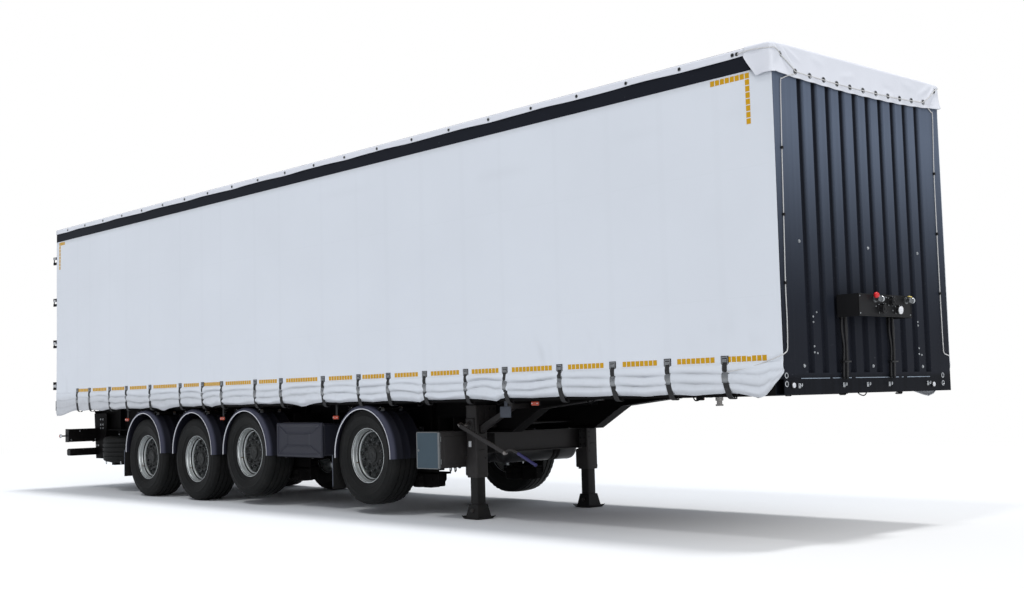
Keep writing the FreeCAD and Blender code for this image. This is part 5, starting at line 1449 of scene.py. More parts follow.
# ---------------------------------------------------------------- mudguards
class TRAILER_OT_mudguards(bpy.types.Operator):
    """Builds the mudguards with rolled shoulders, pale trims and their tubular stays"""
    bl_idname = "trailer.mudguards"
    bl_label = "Mudguards"

    thickness, lip, skirt = 0.006, 0.046, 0.03

    def execute(self, context):
        made = [[], [], [], []]
        for n in (1, 2, 3, 4):
            low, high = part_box("tyre_%d_left" % n)
            raised = low.z > 0.05
            centre = ((low.x + high.x) / 2, (low.z + high.z) / 2 + (0.0 if raised else 0.094))
            tubes, clamps = self.stays(centre)
            for kept, parts in zip(made, ([self.shell(centre)], [self.trim(centre)], tubes, clamps)):
                kept += parts
        looks = ("guard_plastic", "guard_trim", "chassis_paint", "zinc_plate")
        piece("mudguard_shells", [(both(parts), look) for parts, look in zip(made, looks)],
            ("mudguards",), 35.0)
        return {"FINISHED"}

    def path(self, centre, radius, steps=56):
        """Half circle from behind the wheel over it to its front,
        with a short straight skirt at both ends."""
        t = np.linspace(math.pi, 0, steps)
        arc = np.stack([centre[0] + radius * np.cos(t), 0 * t, centre[1] + radius * np.sin(t)], 1)
        return np.concatenate([arc[:1] - (0, 0, self.skirt), arc[:1] - (0, 0, self.skirt / 2), arc,
            arc[-1:] - (0, 0, self.skirt / 2), arc[-1:] - (0, 0, self.skirt)])

    def shell(self, centre):
        """Section: flat roof from y 0.858 and a rolled shoulder, carried round the arc."""
        base, inner, outer, t = 0.54, 0.858, 1.25, self.thickness
        q = np.linspace(0, math.pi / 2, 8)
        ys = outer - self.lip
        skin = [(inner, 0.558), (inner + 0.012, 0.554), (1.0, 0.554), (1.004, 0.5565), (1.02, 0.5565),
            (1.024, 0.554), (1.1, 0.554), (1.104, 0.5565), (1.12, 0.5565), (1.124, 0.554)]
        skin += [(ys + self.lip * math.sin(a), 0.554 - self.lip + self.lip * math.cos(a)) for a in q]
        under = [(ys + (self.lip - t) * math.sin(a), 0.554 - self.lip + (self.lip - t) * math.cos(a))
            for a in q[::-1]]
        section = skin + under + [(inner + 0.012, 0.548), (inner, 0.552)]
        return carried([(y, r - base) for y, r in section], self.path(centre, base), Y)

    def trim(self, centre):
        """Flat bead clipped on the lip's edge."""
        base = 0.5085
        bead = [(1.2435, 0.0015), (1.2435, -0.0035), (1.247, -0.0055), (1.2515, -0.005), (1.2535, -0.002),
            (1.2535, 0.0035), (1.2515, 0.005), (1.249, 0.0035)]
        return carried(bead, self.path(centre, base), Y)

    def stays(self, centre):
        """Two tubes across under the guard's roof, from the beam to the shoulder,
        with a bolted clamp over each."""
        tubes, clamps = [], []
        for angle in (math.radians(62), math.radians(118)):
            x, z = centre[0] + 0.568 * math.cos(angle), centre[1] + 0.568 * math.sin(angle)
            tubes.append(cylinder(0.019, 0, 0.61, (x, 0.602, z), Y, 16))
            for y in (0.92, 1.17):
                clamps += [cylinder(0.023, -0.02, 0.02, (x, y, z), Y, 16, bore=0.019),
                    block((x - 0.045, y - 0.015, z - 0.016), (x + 0.045, y + 0.015, z - 0.011), 0.001)]
        return tubes, clamps

# ---------------------------------------------------------------- front wall
def tube(corners, radius, count=0, sides=10, eased=True):
    """Round bar along a path; a bar whose radius is an array swells and narrows along its way."""
    corners = np.asarray(corners, float)
    path = smooth_path(corners, count or 6 * len(corners)) if eased else corners
    slant = np.abs(unit(np.gradient(path, axis=0))).max(0)
    if np.ndim(radius):
        return carried(circle(1.0, sides), path, np.eye(3)[slant.argmin()], scale=radius)
    return carried(circle(radius, sides), path, np.eye(3)[slant.argmin()])


def hose(corners, radius, pitch=0.008):
    """Ridged sheath: its radius swings by a tenth once in every pitch along the path."""
    corners = np.asarray(corners, float)
    reach = np.linalg.norm(np.diff(corners, axis=0), axis=1).sum()
    count = int(reach / pitch * 4)
    swell = radius * (0.95 + 0.07 * np.cos(np.arange(count) * np.pi / 2))
    return tube(corners, swell, count, 12)


def ridge(u, v, segments, width):
    """1 within half a width of any of the segments (u0, v0, u1, v1), easing to 0 at a whole width."""
    segments = np.asarray(segments, float)
    start, run = segments[:, :2], segments[:, 2:] - segments[:, :2]
    from_start = np.stack([u, v], -1)[..., None, :] - start
    t = np.clip((from_start * run).sum(-1) / (run ** 2).sum(-1), 0, 1)
    gap = np.linalg.norm(from_start - t[..., None] * run, axis=-1).min(-1)
    return 1 - step(gap, width / 2, width)


def blank_plate(low, high, axis):
    """Thin sign plate with a raised rim and four screws; axis is the way it faces."""
    low, high, out = np.asarray(low, float), np.asarray(high, float), np.asarray(axis, float)
    flat = [k for k in range(3) if not out[k]]
    parts = [block(low, high, 0.001)]
    for k, other in (flat, flat[::-1]):
        for end in (0, 1):
            a, b = low.copy(), high.copy()
            a[other] = (low, high)[end][other] - (0.006 if end else 0.0)
            b[other] = a[other] + 0.006
            parts.append(block(a + out * 0.0012, b + out * 0.0012, 0.0006))
    for su in (0, 1):
        for sv in (0, 1):
            place = (low + high) / 2
            for k, s in zip(flat, (su, sv)):
                place[k] = (high[k] - 0.014) if s else (low[k] + 0.014)
            place = place + out * np.abs(high - low).min() / 2
            parts.append(bolt_row(0.0035, 0.003, out, place))
    return joined(parts)


class TRAILER_OT_front(bpy.types.Operator):
    """Fits bolts, hooks, lamps, the worn ledge and the rope's clips on the front wall"""
    bl_idname = "trailer.front"
    bl_label = "Front wall fittings"

    big = ((-0.985, 2.418), (0.0, 2.419), (0.788, 2.418), (-0.985, 1.426), (0.0, 1.422), (0.788, 1.415))
    small = ((-0.789, 1.856), (-0.838, 1.819), (-0.838, 1.776), (-0.838, 1.581), (-0.838, 1.533),
        (-0.797, 1.527), (0.74, 1.576), (0.74, 1.525), (0.78, 1.517), (0.74, 1.807), (0.742, 1.776))
    hooks = (-1.061, -0.444, -0.095, 0.24, 0.864)
    lamps = ((-1.149, 1.274), (0.945, 1.259))
    rivets = ((-1.228, 1.351), (-1.228, 1.285), (1.12, 1.337), (1.12, 1.268))
    worn = ((-1.034, -0.64), (-0.6, -0.33), (-0.27, 0.39), (0.44, 0.465), (0.525, 0.9))
    clips = ((-1, 1.174, 3.151), (-1, 1.187, 2.617), (-1, 1.201, 2.075), (1, 1.135, 3.165), (1, 1.133, 2.614),
        (1, 1.135, 2.072))

    def execute(self, context):
        x = FRONT
        bolts = [bolt_row(0.0105, 0.009, X, [(x, y, z) for y, z in self.big]),
            bolt_row(0.0065, 0.006, X, [(x, y, z) for y, z in self.small])]
        hooks = copies(self.hook(), [(x, y, 1.268) for y in self.hooks])
        rivets = copies(turned(mm((15, 0), (24, 0), (24, 2), (20, 4), (16, 3), (15, 0)), ORIGIN, X, 20),
            [(x + 0.0005, y, z) for y, z in self.rivets])
        ledge = [block((x - 0.001, a, 1.3235), (x + 0.0012, b, 1.3295), 0.0005) for a, b in self.worn]
        glass = turned(mm((0, 10), (21, 10), (20, 16), (12, 20), (0, 21)), ORIGIN, X, 24)
        base = turned(mm((0, 0), (27, 0), (27, 8), (22, 11.5), (0, 11.5)), ORIGIN, X, 24)
        places = [(x, y, z) for y, z in self.lamps]
        piece("front_fittings",
            [(bolts + [hooks, rivets], "zinc_plate"), (ledge, "worn_edge"),
            (copies(base, places), "black_fitting"), (copies(glass, places), "clear_lens")])
        piece("rope_clips", [([self.clip(x, side * y, z) for side, y, z in self.clips], "black_fitting")])
        return {"FINISHED"}

    def hook(self):
        """Rope hook: a plate with two rivets and a rod bent out and up."""
        rod = tube([(0.003, 0.0, 0.014), (0.012, 0.0, 0.004), (0.022, 0.0, -0.004), (0.027, 0.0, 0.006),
            (0.026, 0.0, 0.018)], 0.0048, 16, 8)
        return joined([block((0, -0.014, -0.018), (0.0035, 0.014, 0.02), 0.0012), rod,
            bolt_row(0.003, 0.003, X, [(0.003, 0, -0.012), (0.003, 0.0, 0.016)])])

    def clip(self, x, y, z):
        """Collar round the rope on a small foot."""
        collar = turned(mm((6.2, -11), (11.5, -11), (12.5, -6), (12.5, 6), (11.5, 11), (6.2, 11)),
            (x + 0.009, y, z), Z, 16)
        return joined([collar, block((x, y - 0.015, z - 0.006), (x + 0.006, y + 0.015, z + 0.006), 0.001)])


# ---------------------------------------------------------------- connections
class TRAILER_OT_connections(bpy.types.Operator):
    """Builds the connection box with its couplings, sockets and sheathed lines"""
    bl_idname = "trailer.connections"
    bl_label = "Connections"

    def execute(self, context):
        box, screws = self.box()
        piece("connection_box", [(box, "black_fitting"), (screws, "zinc_plate")],
            ("connection_panel",))
        low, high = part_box("connection_panel")
        parts = []
        for y, cap in ((-0.255, "red_cap"), (0.215, "yellow_cap")):
            parts += self.coupling(high.x, y, high.z - 0.04, cap)
        for y, z, r, lid in ((-0.175, 0.066, 0.04, "black_fitting"), (-0.03, 0.128, 0.036, "black_fitting"),
                (0.07, 0.062, 0.034, "socket_lid")):
            parts += self.socket(high.x, y, low.z + z, r, lid)
        piece("coupling_heads", parts, ("couplings",))
        lines, collars = self.lines(low.z)
        piece("air_hoses", [(lines, "hose_sheath"), (collars, "black_fitting")], ("air_lines",), 50.0)
        return {"FINISHED"}

    def box(self):
        """Folded sheet box, open below, with a rolled rim round its face and a lip under it."""
        low, high = [np.array(corner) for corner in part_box("connection_panel")]
        t = 0.004
        plates = [block((high[0] - t, low[1], low[2] + 0.006), (high[0], high[1], high[2]), 0.001),
            block((low[0], low[1], high[2] - t), high, 0.001),
            block((low[0], low[1], low[2]), (high[0], low[1] + t, high[2]), 0.001),
            block((low[0], high[1] - t, low[2]), high, 0.001),
            block((low[0], low[1], low[2] + 0.02), (low[0] + t, high[1], high[2]), 0.001),
            block((high[0] - 0.035, low[1] + 0.03, low[2] + 0.004),
            (high[0] + 0.005, high[1] - 0.06, low[2] + 0.009), 0.001)]
        x = high[0] + 0.001
        inset = 0.006
        rim = [(x, low[1] + inset, low[2] + inset), (x, high[1] - inset, low[2] + inset),
            (x, high[1] - inset, high[2] - inset), (x, low[1] + inset, high[2] - inset)]
        plates += [tube([rim[k], rim[(k + 1) % 4]], 0.0035, 2, 8, False) for k in range(4)]
        feet = [block((low[0], y - 0.02, low[2] - 0.05), (low[0] + 0.006, y + 0.02, low[2] + 0.03), 0.001)
            for y in (low[1] + 0.05, high[1] - 0.05)]
        screws = [(high[0], y, z) for y in (low[1] + 0.022, high[1] - 0.022)
            for z in (low[2] + 0.024, high[2] - 0.02)]
        screws += [(high[0], -0.09, high[2] - 0.022), (high[0], 0.008, low[2] + 0.055),
            (high[0], 0.145, low[2] + 0.045), (high[0], -0.245, low[2] + 0.085),
            (low[0] + 0.006, low[1] + 0.05, low[2] - 0.035), (low[0] + 0.006, high[1] - 0.05, low[2] - 0.035)]
        return joined(plates + feet), bolt_row(0.0045, 0.004, X, screws)

    def coupling(self, x, y, z, cap):
        """Palm coupling: flange and body in cast metal, bright sealing face to the left,
        coloured dust cap on top."""
        flange = turned(mm((0, 0), (30, 0), (30, 6), (18, 9), (17, 22), (23, 27), (25, 48), (19, 54),
            (0, 55)), (x, y, z), X, 24)
        neck = turned(mm((17, -30), (19, 0), (19, 30), (13, 34)), (x + 0.036, y, z), Y, 20)
        face = turned(mm((13, 33), (23, 34), (26, 38), (26, 46), (21, 49), (9, 47), (0, 47)),
            (x + 0.036, y, z), Y, 24)
        lug = block((x + 0.03, y - 0.012, z + 0.01), (x + 0.044, y + 0.02, z + 0.026), 0.003)
        dome = [(0.012, 0), (0.021, 0.003), (0.024, 0.012), (0.022, 0.026), (0.015, 0.037), (0.006, 0.042),
            (0, 0.043)]
        if y < 0:
            lid = turned(dome, (x + 0.036, y - 0.026, z + 0.014), (0.15, -0.75, 1.0), 24)
        else:
            lid = turned(mm((0, 0), (19, 0), (20, 4), (16, 8), (0, 9)), (x + 0.036, y + 0.004, z + 0.026),
                (0.1, 0.2, 1.0), 24)
        return [(joined([flange, neck, lug]), "cast_metal"), (face, "zinc_plate"), (lid, cap)]

    def socket(self, x, y, z, r, lid):
        """Round socket: square flange with four screws, ribbed barrel, hinged lid with a raised rim and its
        hinge pin."""
        flange = block((x, y - r, z - r), (x + 0.005, y + r, z + r), 0.0025)
        barrel = turned([(0, 0.004), (r * 0.84, 0.004), (r * 0.84, 0.014), (r * 0.78, 0.015),
            (r * 0.78, 0.023), (r * 0.86, 0.024), (r * 0.86, 0.031), (0, 0.031)], (x, y, z), X, 28)
        cover = turned([(0, 0.032), (r * 0.93, 0.032), (r * 0.97, 0.036), (r * 0.95, 0.042), (r * 0.8, 0.044),
            (r * 0.74, 0.041), (r * 0.35, 0.041), (r * 0.3, 0.046), (0, 0.046)], (x, y, z), (1, 0.03, -0.1),
            28)
        hinge = block((x + 0.004, y - 0.013, z + r * 0.8), (x + 0.04, y + 0.013, z + r * 0.8 + 0.012), 0.003)
        pin = tube([(x + 0.034, y - 0.019, z + r * 0.8 + 0.008), (x + 0.034, y + 0.019, z + r * 0.8 + 0.008)],
            0.003, 2, 8, False)
        screws = bolt_row(0.0038, 0.003, X,
            [(x + 0.005, y + a * r * 0.82, z + b * r * 0.82) for a in (-1, 1) for b in (-1, 1)])
        return [([flange, barrel, hinge], "black_fitting"), (cover, lid), ([screws, pin], "zinc_plate")]

    def lines(self, top):
        """Two bundles of three ridged sheaths from the box down to the ledge, with collars and a clamp."""
        x = FRONT
        sheaths, collars = [], []
        for y in (-0.44, 0.27):
            for k, (shift, out) in enumerate(((-0.026, 0.02), (0.0, 0.034), (0.026, 0.02))):
                sway = 0.008 * (k - 1)
                path = [(x + out, y + shift, top + 0.01), (x + out, y + shift + sway, 1.72),
                    (x + out + 0.004, y + shift - sway, 1.58), (x + out, y + shift, 1.44),
                    (x + out - 0.004, y + shift, 1.335)]
                sheaths.append(hose(path, 0.0115, 0.012))
                collars.append(turned(mm((0, 0), (13.5, 0), (13.5, 12), (9, 14), (9, 26), (0, 26)),
                    (x + out - 0.004, y + shift, 1.318), Z, 6))
            sheaths.append(block((x, y - 0.046, 1.452), (x + 0.05, y + 0.046, 1.466), 0.002))
        return joined(sheaths), joined(collars)


# ---------------------------------------------------------------- boxes
class TRAILER_OT_boxes(bpy.types.Operator):
    """Builds the moulded toolboxes, the control box and the air tanks"""
    bl_idname = "trailer.boxes"
    bl_label = "Boxes and tanks"

    def execute(self, context):
        tub, lid, seal, latches, plates = self.toolbox()
        piece("toolbox_shells",
            [(both([tub]), "moulded_plastic"), (both([lid]), "moulded_plastic"),
            (both([seal]), "black_fitting"), (both([latches]), "black_fitting"),
            (both([plates]), "chassis_paint")], ("toolboxes",), 28.0)
        self.control()
        self.tanks()
        return {"FINISHED"}

    def toolbox(self):
        """Left toolbox: rounded tub, lid with a raised border and ribs, seal, latches and carriers.

        Lid: y = 1.190 + 9 mm * border + 7 mm * ribs over (u, v), u from the rear, v from below.
        """
        x0, x1, z0, z1 = at(7.396), at(6.443), 0.6, 0.998
        tub = block((x0 + 0.022, 0.782, z0 + 0.016), (x1 - 0.022, 1.16, z1 - 0.014), 0.022)
        seal = block((x0 + 0.03, 1.15, z0 + 0.022), (x1 - 0.03, 1.176, z1 - 0.02), 0.006)
        u, v = np.meshgrid(np.linspace(0, 1, 93), np.linspace(0, 1, 45), indexing="ij")
        near = np.minimum(np.minimum(u, 1 - u) * 0.953, np.minimum(v, 1 - v) * 0.398)
        border = 1 - step(near, 0.03, 0.042)
        ribs = ridge(u * 0.953, v * 0.398,
            [(0.207, 0.272, 0.705, 0.272), (0.207, 0.13, 0.705, 0.13), (0.05, 0.362, 0.207, 0.272),
            (0.905, 0.368, 0.705, 0.272), (0.06, 0.04, 0.207, 0.13), (0.915, 0.034, 0.705, 0.13)], 0.011)
        panel = step(v, 0.33, 0.36) * step(1 - v, 0.31, 0.34) * step(u, 0.22, 0.26) * step(1 - u, 0.26, 0.3)
        round_off = 0.012 * (1 - step(near, 0.0, 0.012))
        y = 1.19 + 0.009 * border + 0.007 * ribs - 0.003 * panel - round_off
        face = np.stack([x0 + u * (x1 - x0), y, z0 + v * (z1 - z0)], -1)
        back = np.stack([x0 + 0.003 + u * (x1 - x0 - 0.006), np.full_like(y, 1.168),
            z0 + 0.003 + v * (z1 - z0 - 0.006)], -1)
        latches = []
        for x in (x0 + 0.2, x1 - 0.2):
            latches += [block((x - 0.022, 1.15, z0 - 0.006), (x + 0.022, 1.192, z0 + 0.003), 0.002),
                tube([(x - 0.016, 1.186, z0 - 0.008), (x, 1.194, z0 - 0.012), (x + 0.016, 1.186, z0 - 0.008)],
                0.004, 8, 8)]
        latches += [tube([(x0 + 0.1, 1.166, z1 + 0.003), (x1 - 0.1, 1.166, z1 + 0.003)], 0.005, 2, 8, False)]
        plates = []
        for x in (x0 + 0.064, x1 - 0.064):
            plates += [block((x - 0.004, BEAM_FACE, z1 - 0.014), (x + 0.004, 0.992, z1 + 0.11), 0.001),
                block((x - 0.03, 0.784, z1 - 0.015), (x + 0.03, 0.992, z1 - 0.008), 0.001),
                bolt_row(0.008, 0.008, Z, [(x - 0.018, 0.86, z1 - 0.008), (x + 0.018, 0.94, z1 - 0.008)])]
        return tub, tile(face, back), seal, joined(latches), joined(plates)

    def control(self):
        """Control box: body with a pressed side, sealed door in a bright frame, hinges, lock,
        glands below."""
        x0, x1, z0, z1 = at(4.7), at(4.33), 0.52, 0.9
        body = [block((x0 + 0.006, -1.172, z0 + 0.006), (x1 - 0.006, -0.69, z1 - 0.006), 0.008)]
        body += [block((x1 - 0.008, -1.13, z0 + 0.05), (x1 - 0.003, -0.74, z1 - 0.05), 0.002),
            block((x0, -1.172, z1 - 0.012), (x1 + 0.004, -0.69, z1), 0.003)]
        seal = block((x0 + 0.012, -1.18, z0 + 0.012), (x1 - 0.012, -1.168, z1 - 0.012), 0.002)
        frame_bars = [block((x0, -1.2, z0), (x0 + 0.012, -1.178, z1), 0.002),
            block((x1 - 0.024, -1.2, z0), (x1, -1.178, z1), 0.003),
            block((x0, -1.2, z0), (x1, -1.178, z0 + 0.01), 0.002),
            block((x0, -1.2, z1 - 0.01), (x1, -1.178, z1), 0.002)]
        door = block((x0 + 0.01, -1.198, z0 + 0.008), (x1 - 0.022, -1.18, z1 - 0.008), 0.002)
        fittings = [tube([(x1 + 0.006, -1.18, z), (x1 + 0.006, -1.18, z + 0.05)], 0.006, 2, 10, False)
            for z in (z0 + 0.05, z1 - 0.1)]
        fittings.append(turned(mm((0, 0), (13, 0), (13, 3), (8, 5), (0, 5)), (x0 + 0.035, -1.198, 0.71),
            RIGHT, 18))
        glands = [turned(mm((0, 0), (16, 0), (16, -12), (10, -20), (0, -20)), (x, -0.82, z0 + 0.008), Z, 8)
            for x in (x0 + 0.08, x0 + 0.16, x0 + 0.24)]
        glands += [tube([(x, -0.82, z0), (x - 0.02, -0.8, z0 - 0.05), (x - 0.12, -0.7, z0 - 0.03),
            (x - 0.25, -0.62, z0 + 0.06)], 0.006, 20, 8) for x in (x0 + 0.08, x0 + 0.16)]
        plates = [block((x - 0.004, -0.945, z1 - 0.004), (x + 0.004, -BEAM_FACE, z1 + 0.14), 0.001)
            for x in (x0 + 0.064, x1 - 0.064)]
        piece("control_cabinet",
            [(body, "control_paint"), (seal, "black_fitting"), (frame_bars, "control_frame"),
            (door, "control_door"), (fittings, "control_frame"), (glands, "black_fitting"),
            (plates, "chassis_paint")], ("control_box",), 30.0)

    def tanks(self):
        """Two air tanks with domed ends, weld rings, straps, drain valves and pipes."""
        r, y0, y1, z = 0.132, -0.145, 0.955, 0.655
        span = y1 - y0
        dome = [(0, 0), (0.045, 0.003), (0.085, 0.012), (0.115, 0.028), (0.129, 0.048), (r, 0.068),
            (r, 0.085), (0.1335, 0.087), (0.1335, 0.093), (r, 0.095)]
        outline = dome + [(radius, span - along) for radius, along in dome[::-1]]
        shells, straps, valves, pipes = [], [], [], []
        for x in (at(4.59), at(4.88)):
            shells.append(turned(outline, (x, y0, z), Y, 40))
            for y in (0.57, 0.63):
                straps += [cylinder(0.136, -0.02, 0.02, (x, y, z), Y, 40, bore=0.1325),
                    block((x - 0.006, y - 0.025, z + 0.128), (x + 0.006, y + 0.025, 0.88), 0.001)]
            valves.append(turned(mm((0, 0), (10, 0), (10, -16), (5, -24), (0, -24)), (x, 0.2, z - 0.13), Z,
                6))
            pipes.append(tube([(x, y0 + 0.004, z), (x, y0 - 0.03, z + 0.004), (x + 0.05, y0 - 0.05, z + 0.1),
                (x + 0.06, y0 - 0.05, 0.86)], 0.006, 20, 8))
        straps += both([block((at(4.78), 0.58, 0.862), (at(4.27), 0.62, 0.8805), 0.002)])
        piece("air_tank_shells", [(shells, "tank_paint"), (straps, "chassis_paint"), (valves, "zinc_plate"),
            (pipes, "black_fitting")], ("air_tanks",), 30.0)


# ---------------------------------------------------------------- landing gear
class TRAILER_OT_legs(bpy.types.Operator):
    """Builds the landing legs: ribbed housings, gearbox, cross shaft, feet with pivots, folding crank"""
    bl_idname = "trailer.legs"
    bl_label = "Landing gear"

    def execute(self, context):
        housing, bolts = self.housing()
        gearbox, plate = self.gearbox()
        piece("leg_tubes",
            [(both([housing]), "leg_paint"), (both([bolts]), "black_fitting"), (gearbox, "leg_paint"),
            (plate, "blank_plate"), (self.shaft(), "greased_tube")], ("leg_housings",), 30.0)
        foot, pivot = self.foot()
        piece("leg_shoes", [(both([foot]), "greased_tube"), (both([pivot]), "leg_paint")],
            ("leg_feet",), 30.0)
        piece("crank_handle", list(zip(self.crank(), ("leg_paint", "worn_steel", "blue_grip"))),
            ("leg_crank",), 40.0)
        return {"FINISHED"}

    def square(self, half, corner):
        """Square profile with rounded corners."""
        t = np.linspace(0, np.pi / 2, 5)
        turn = np.arange(4)[:, None] * np.pi / 2 + t
        middle = np.array([(1, 1), (-1, 1), (-1, -1), (1, -1)])[:, None] * (half - corner)
        return (middle + corner * np.stack([np.cos(turn), np.sin(turn)], -1)).reshape(-1, 2)

    def housing(self):
        """Left housing: tube, folded side flanges, bracket to the beam with bolts, lower collar."""
        x, y = LEG, 0.81
        tube_part = carried(self.square(0.078, 0.014), [(x, y, z) for z in (0.422, 0.432, 0.8, 1.158)], X)
        collar = carried(self.square(0.08, 0.014), [(x, y, z) for z in (0.44, 0.4405, 0.4695, 0.47)], X)
        cap = carried(self.square(0.0795, 0.01), [(x, y, z) for z in (1.148, 1.1485, 1.1595, 1.16)], X)
        flanges = [block((x - 0.08, BEAM_FACE, 0.928), (x - 0.072, y - 0.06, 1.158), 0.001),
            block((x + 0.072, BEAM_FACE, 0.928), (x + 0.08, y - 0.06, 1.158), 0.001),
            block((x - 0.074, 0.676, 0.93), (x + 0.074, 0.684, 1.156), 0.001),
            block((x - 0.16, y - 0.035, 0.436), (x - 0.07, y + 0.035, 0.64), 0.012),
            block((x - 0.086, y - 0.03, 0.7), (x + 0.086, y + 0.03, 0.708), 0.002),
            block((x - 0.086, y - 0.03, 0.86), (x + 0.086, y + 0.03, 0.868), 0.002)]
        heads = [bolt_row(0.009, 0.008, X, (x + 0.08, py, pz)) for py in (0.64, 0.7)
            for pz in (0.96, 1.04, 1.12)]
        heads += [bolt_row(0.007, 0.006, X, (x + 0.078, y - 0.045, pz)) for pz in (0.62, 0.78, 0.83)]
        return joined([tube_part, collar, cap] + flanges), joined(heads)

    def gearbox(self):
        """Gearbox on the right leg's outer face with a bolted cover and a bearing hub;
        a blank plate below it."""
        x, face = LEG, -0.89
        case = [block((x - 0.06, face - 0.02, 0.89), (x + 0.06, face + 0.004, 1.03), 0.006),
            turned(mm((45, 18), (45, 24), (34, 28), (32, 50), (26, 56), (0, 56)), (x, face, 0.96), RIGHT, 28)]
        case += [bolt_row(0.006, 0.005, RIGHT, (x + a, face - 0.02, 0.96 + b)) for a in (-0.048, 0.048)
            for b in (-0.058, 0.0, 0.058)]
        plate = blank_plate((x - 0.038, face - 0.0015, 0.735), (x + 0.004, face + 0.003, 0.795), RIGHT)
        return joined(case), plate

    def shaft(self):
        """Cross shaft between the legs with a coupling sleeve at its middle and at each end."""
        x, z = LEG + 0.01, 0.96
        outline = [(0, -0.735), (0.022, -0.735), (0.022, -0.66), (0.013, -0.655), (0.013, -0.06),
            (0.02, -0.055), (0.02, 0.055), (0.013, 0.06), (0.013, 0.655), (0.022, 0.66), (0.022, 0.735),
            (0, 0.735)]
        return turned(outline, (x, 0, z), Y, 16)

    def foot(self):
        """Left foot: inner tube, tapered socket, pivot pin and a pressed shoe whose ends curve up."""
        x, y = LEG, 0.81
        inner = carried(self.square(0.056, 0.01), [(x, y, z) for z in (0.06, 0.07, 0.5, 0.96)], X)
        r = math.sqrt(2)
        fork = [turned([(0.094 * r, 0.012), (0.068 * r, 0.148), (0.058 * r, 0.15), (0.057 * r, 0.11),
            (0, 0.108), (0, 0.012)], (x, y, 0), Z, 4, math.pi / 4)]
        q = np.linspace(-1, 1, 25)
        rise = 0.022 * step(np.abs(q), 0.7, 1.0) ** 1.4
        w = np.linspace(-1, 1, 13)
        lift = 0.006 * step(np.abs(w), 0.82, 1.0)
        top = np.stack(np.broadcast_arrays((x + q * 0.134)[:, None], y + w * 0.114,
            0.01 + rise[:, None] + lift), -1)
        shoe = tile(top, top - (0, 0, 0.01))
        pivot = [turned(mm((0, 70), (20, 70), (20, 94), (14, 97), (0, 97)), (x, y, 0.085), (0, side, 0), 18)
            for side in (-1, 1)]
        return joined([inner, shoe] + fork), joined(pivot)

    def crank(self):
        """Crank folded down and forwards: hub fork, arm, elbow joint, bent handle and its grip."""
        x, y = LEG, -1.02
        out = y - 0.02
        elbow, bend, tip = (at(3.5), out, 0.69), (at(3.42), out, 0.722), (at(3.06), out, 0.58)
        fork = joined([cylinder(0.017, 0, 0.075, (x, -0.944, 0.96), RIGHT, 18),
            turned(mm((10, -20), (21, -20), (24, -16), (24, 16), (21, 20), (10, 20)), (x, y, 0.96),
            (1, 0, 1.3), 20), tube([(x - 0.012, out - 0.008, 0.972), (x + 0.01, out - 0.008, 0.952)], 0.01, 2,
            10, False), turned(mm((0, -18), (16, -18), (19, -14), (19, 14), (16, 18), (0, 18)), elbow, Y, 18),
            bolt_row(0.008, 0.006, RIGHT, (elbow[0], out - 0.018, elbow[2]))])
        arm = joined([carried(oblong(0.009, 0.02), [(x, out, 0.96), (x + 0.34, out, 0.827), elbow], Y),
            tube([elbow, (at(3.46), out, 0.716), bend, (at(3.37), out, 0.712), (at(3.3), out, 0.684)], 0.0125,
            24, 12)])
        a, b = np.array((at(3.315), out, 0.69)), np.array(tip)
        run = np.linalg.norm(b - a)
        grip = turned([(0.011, 0), (0.0165, 0.004), (0.0165, 0.02), (0.015, 0.024), (0.015, run - 0.022),
            (0.0175, run - 0.016), (0.0175, run - 0.004), (0.013, run), (0, run)], a, b - a, 18)
        return arm, fork, grip


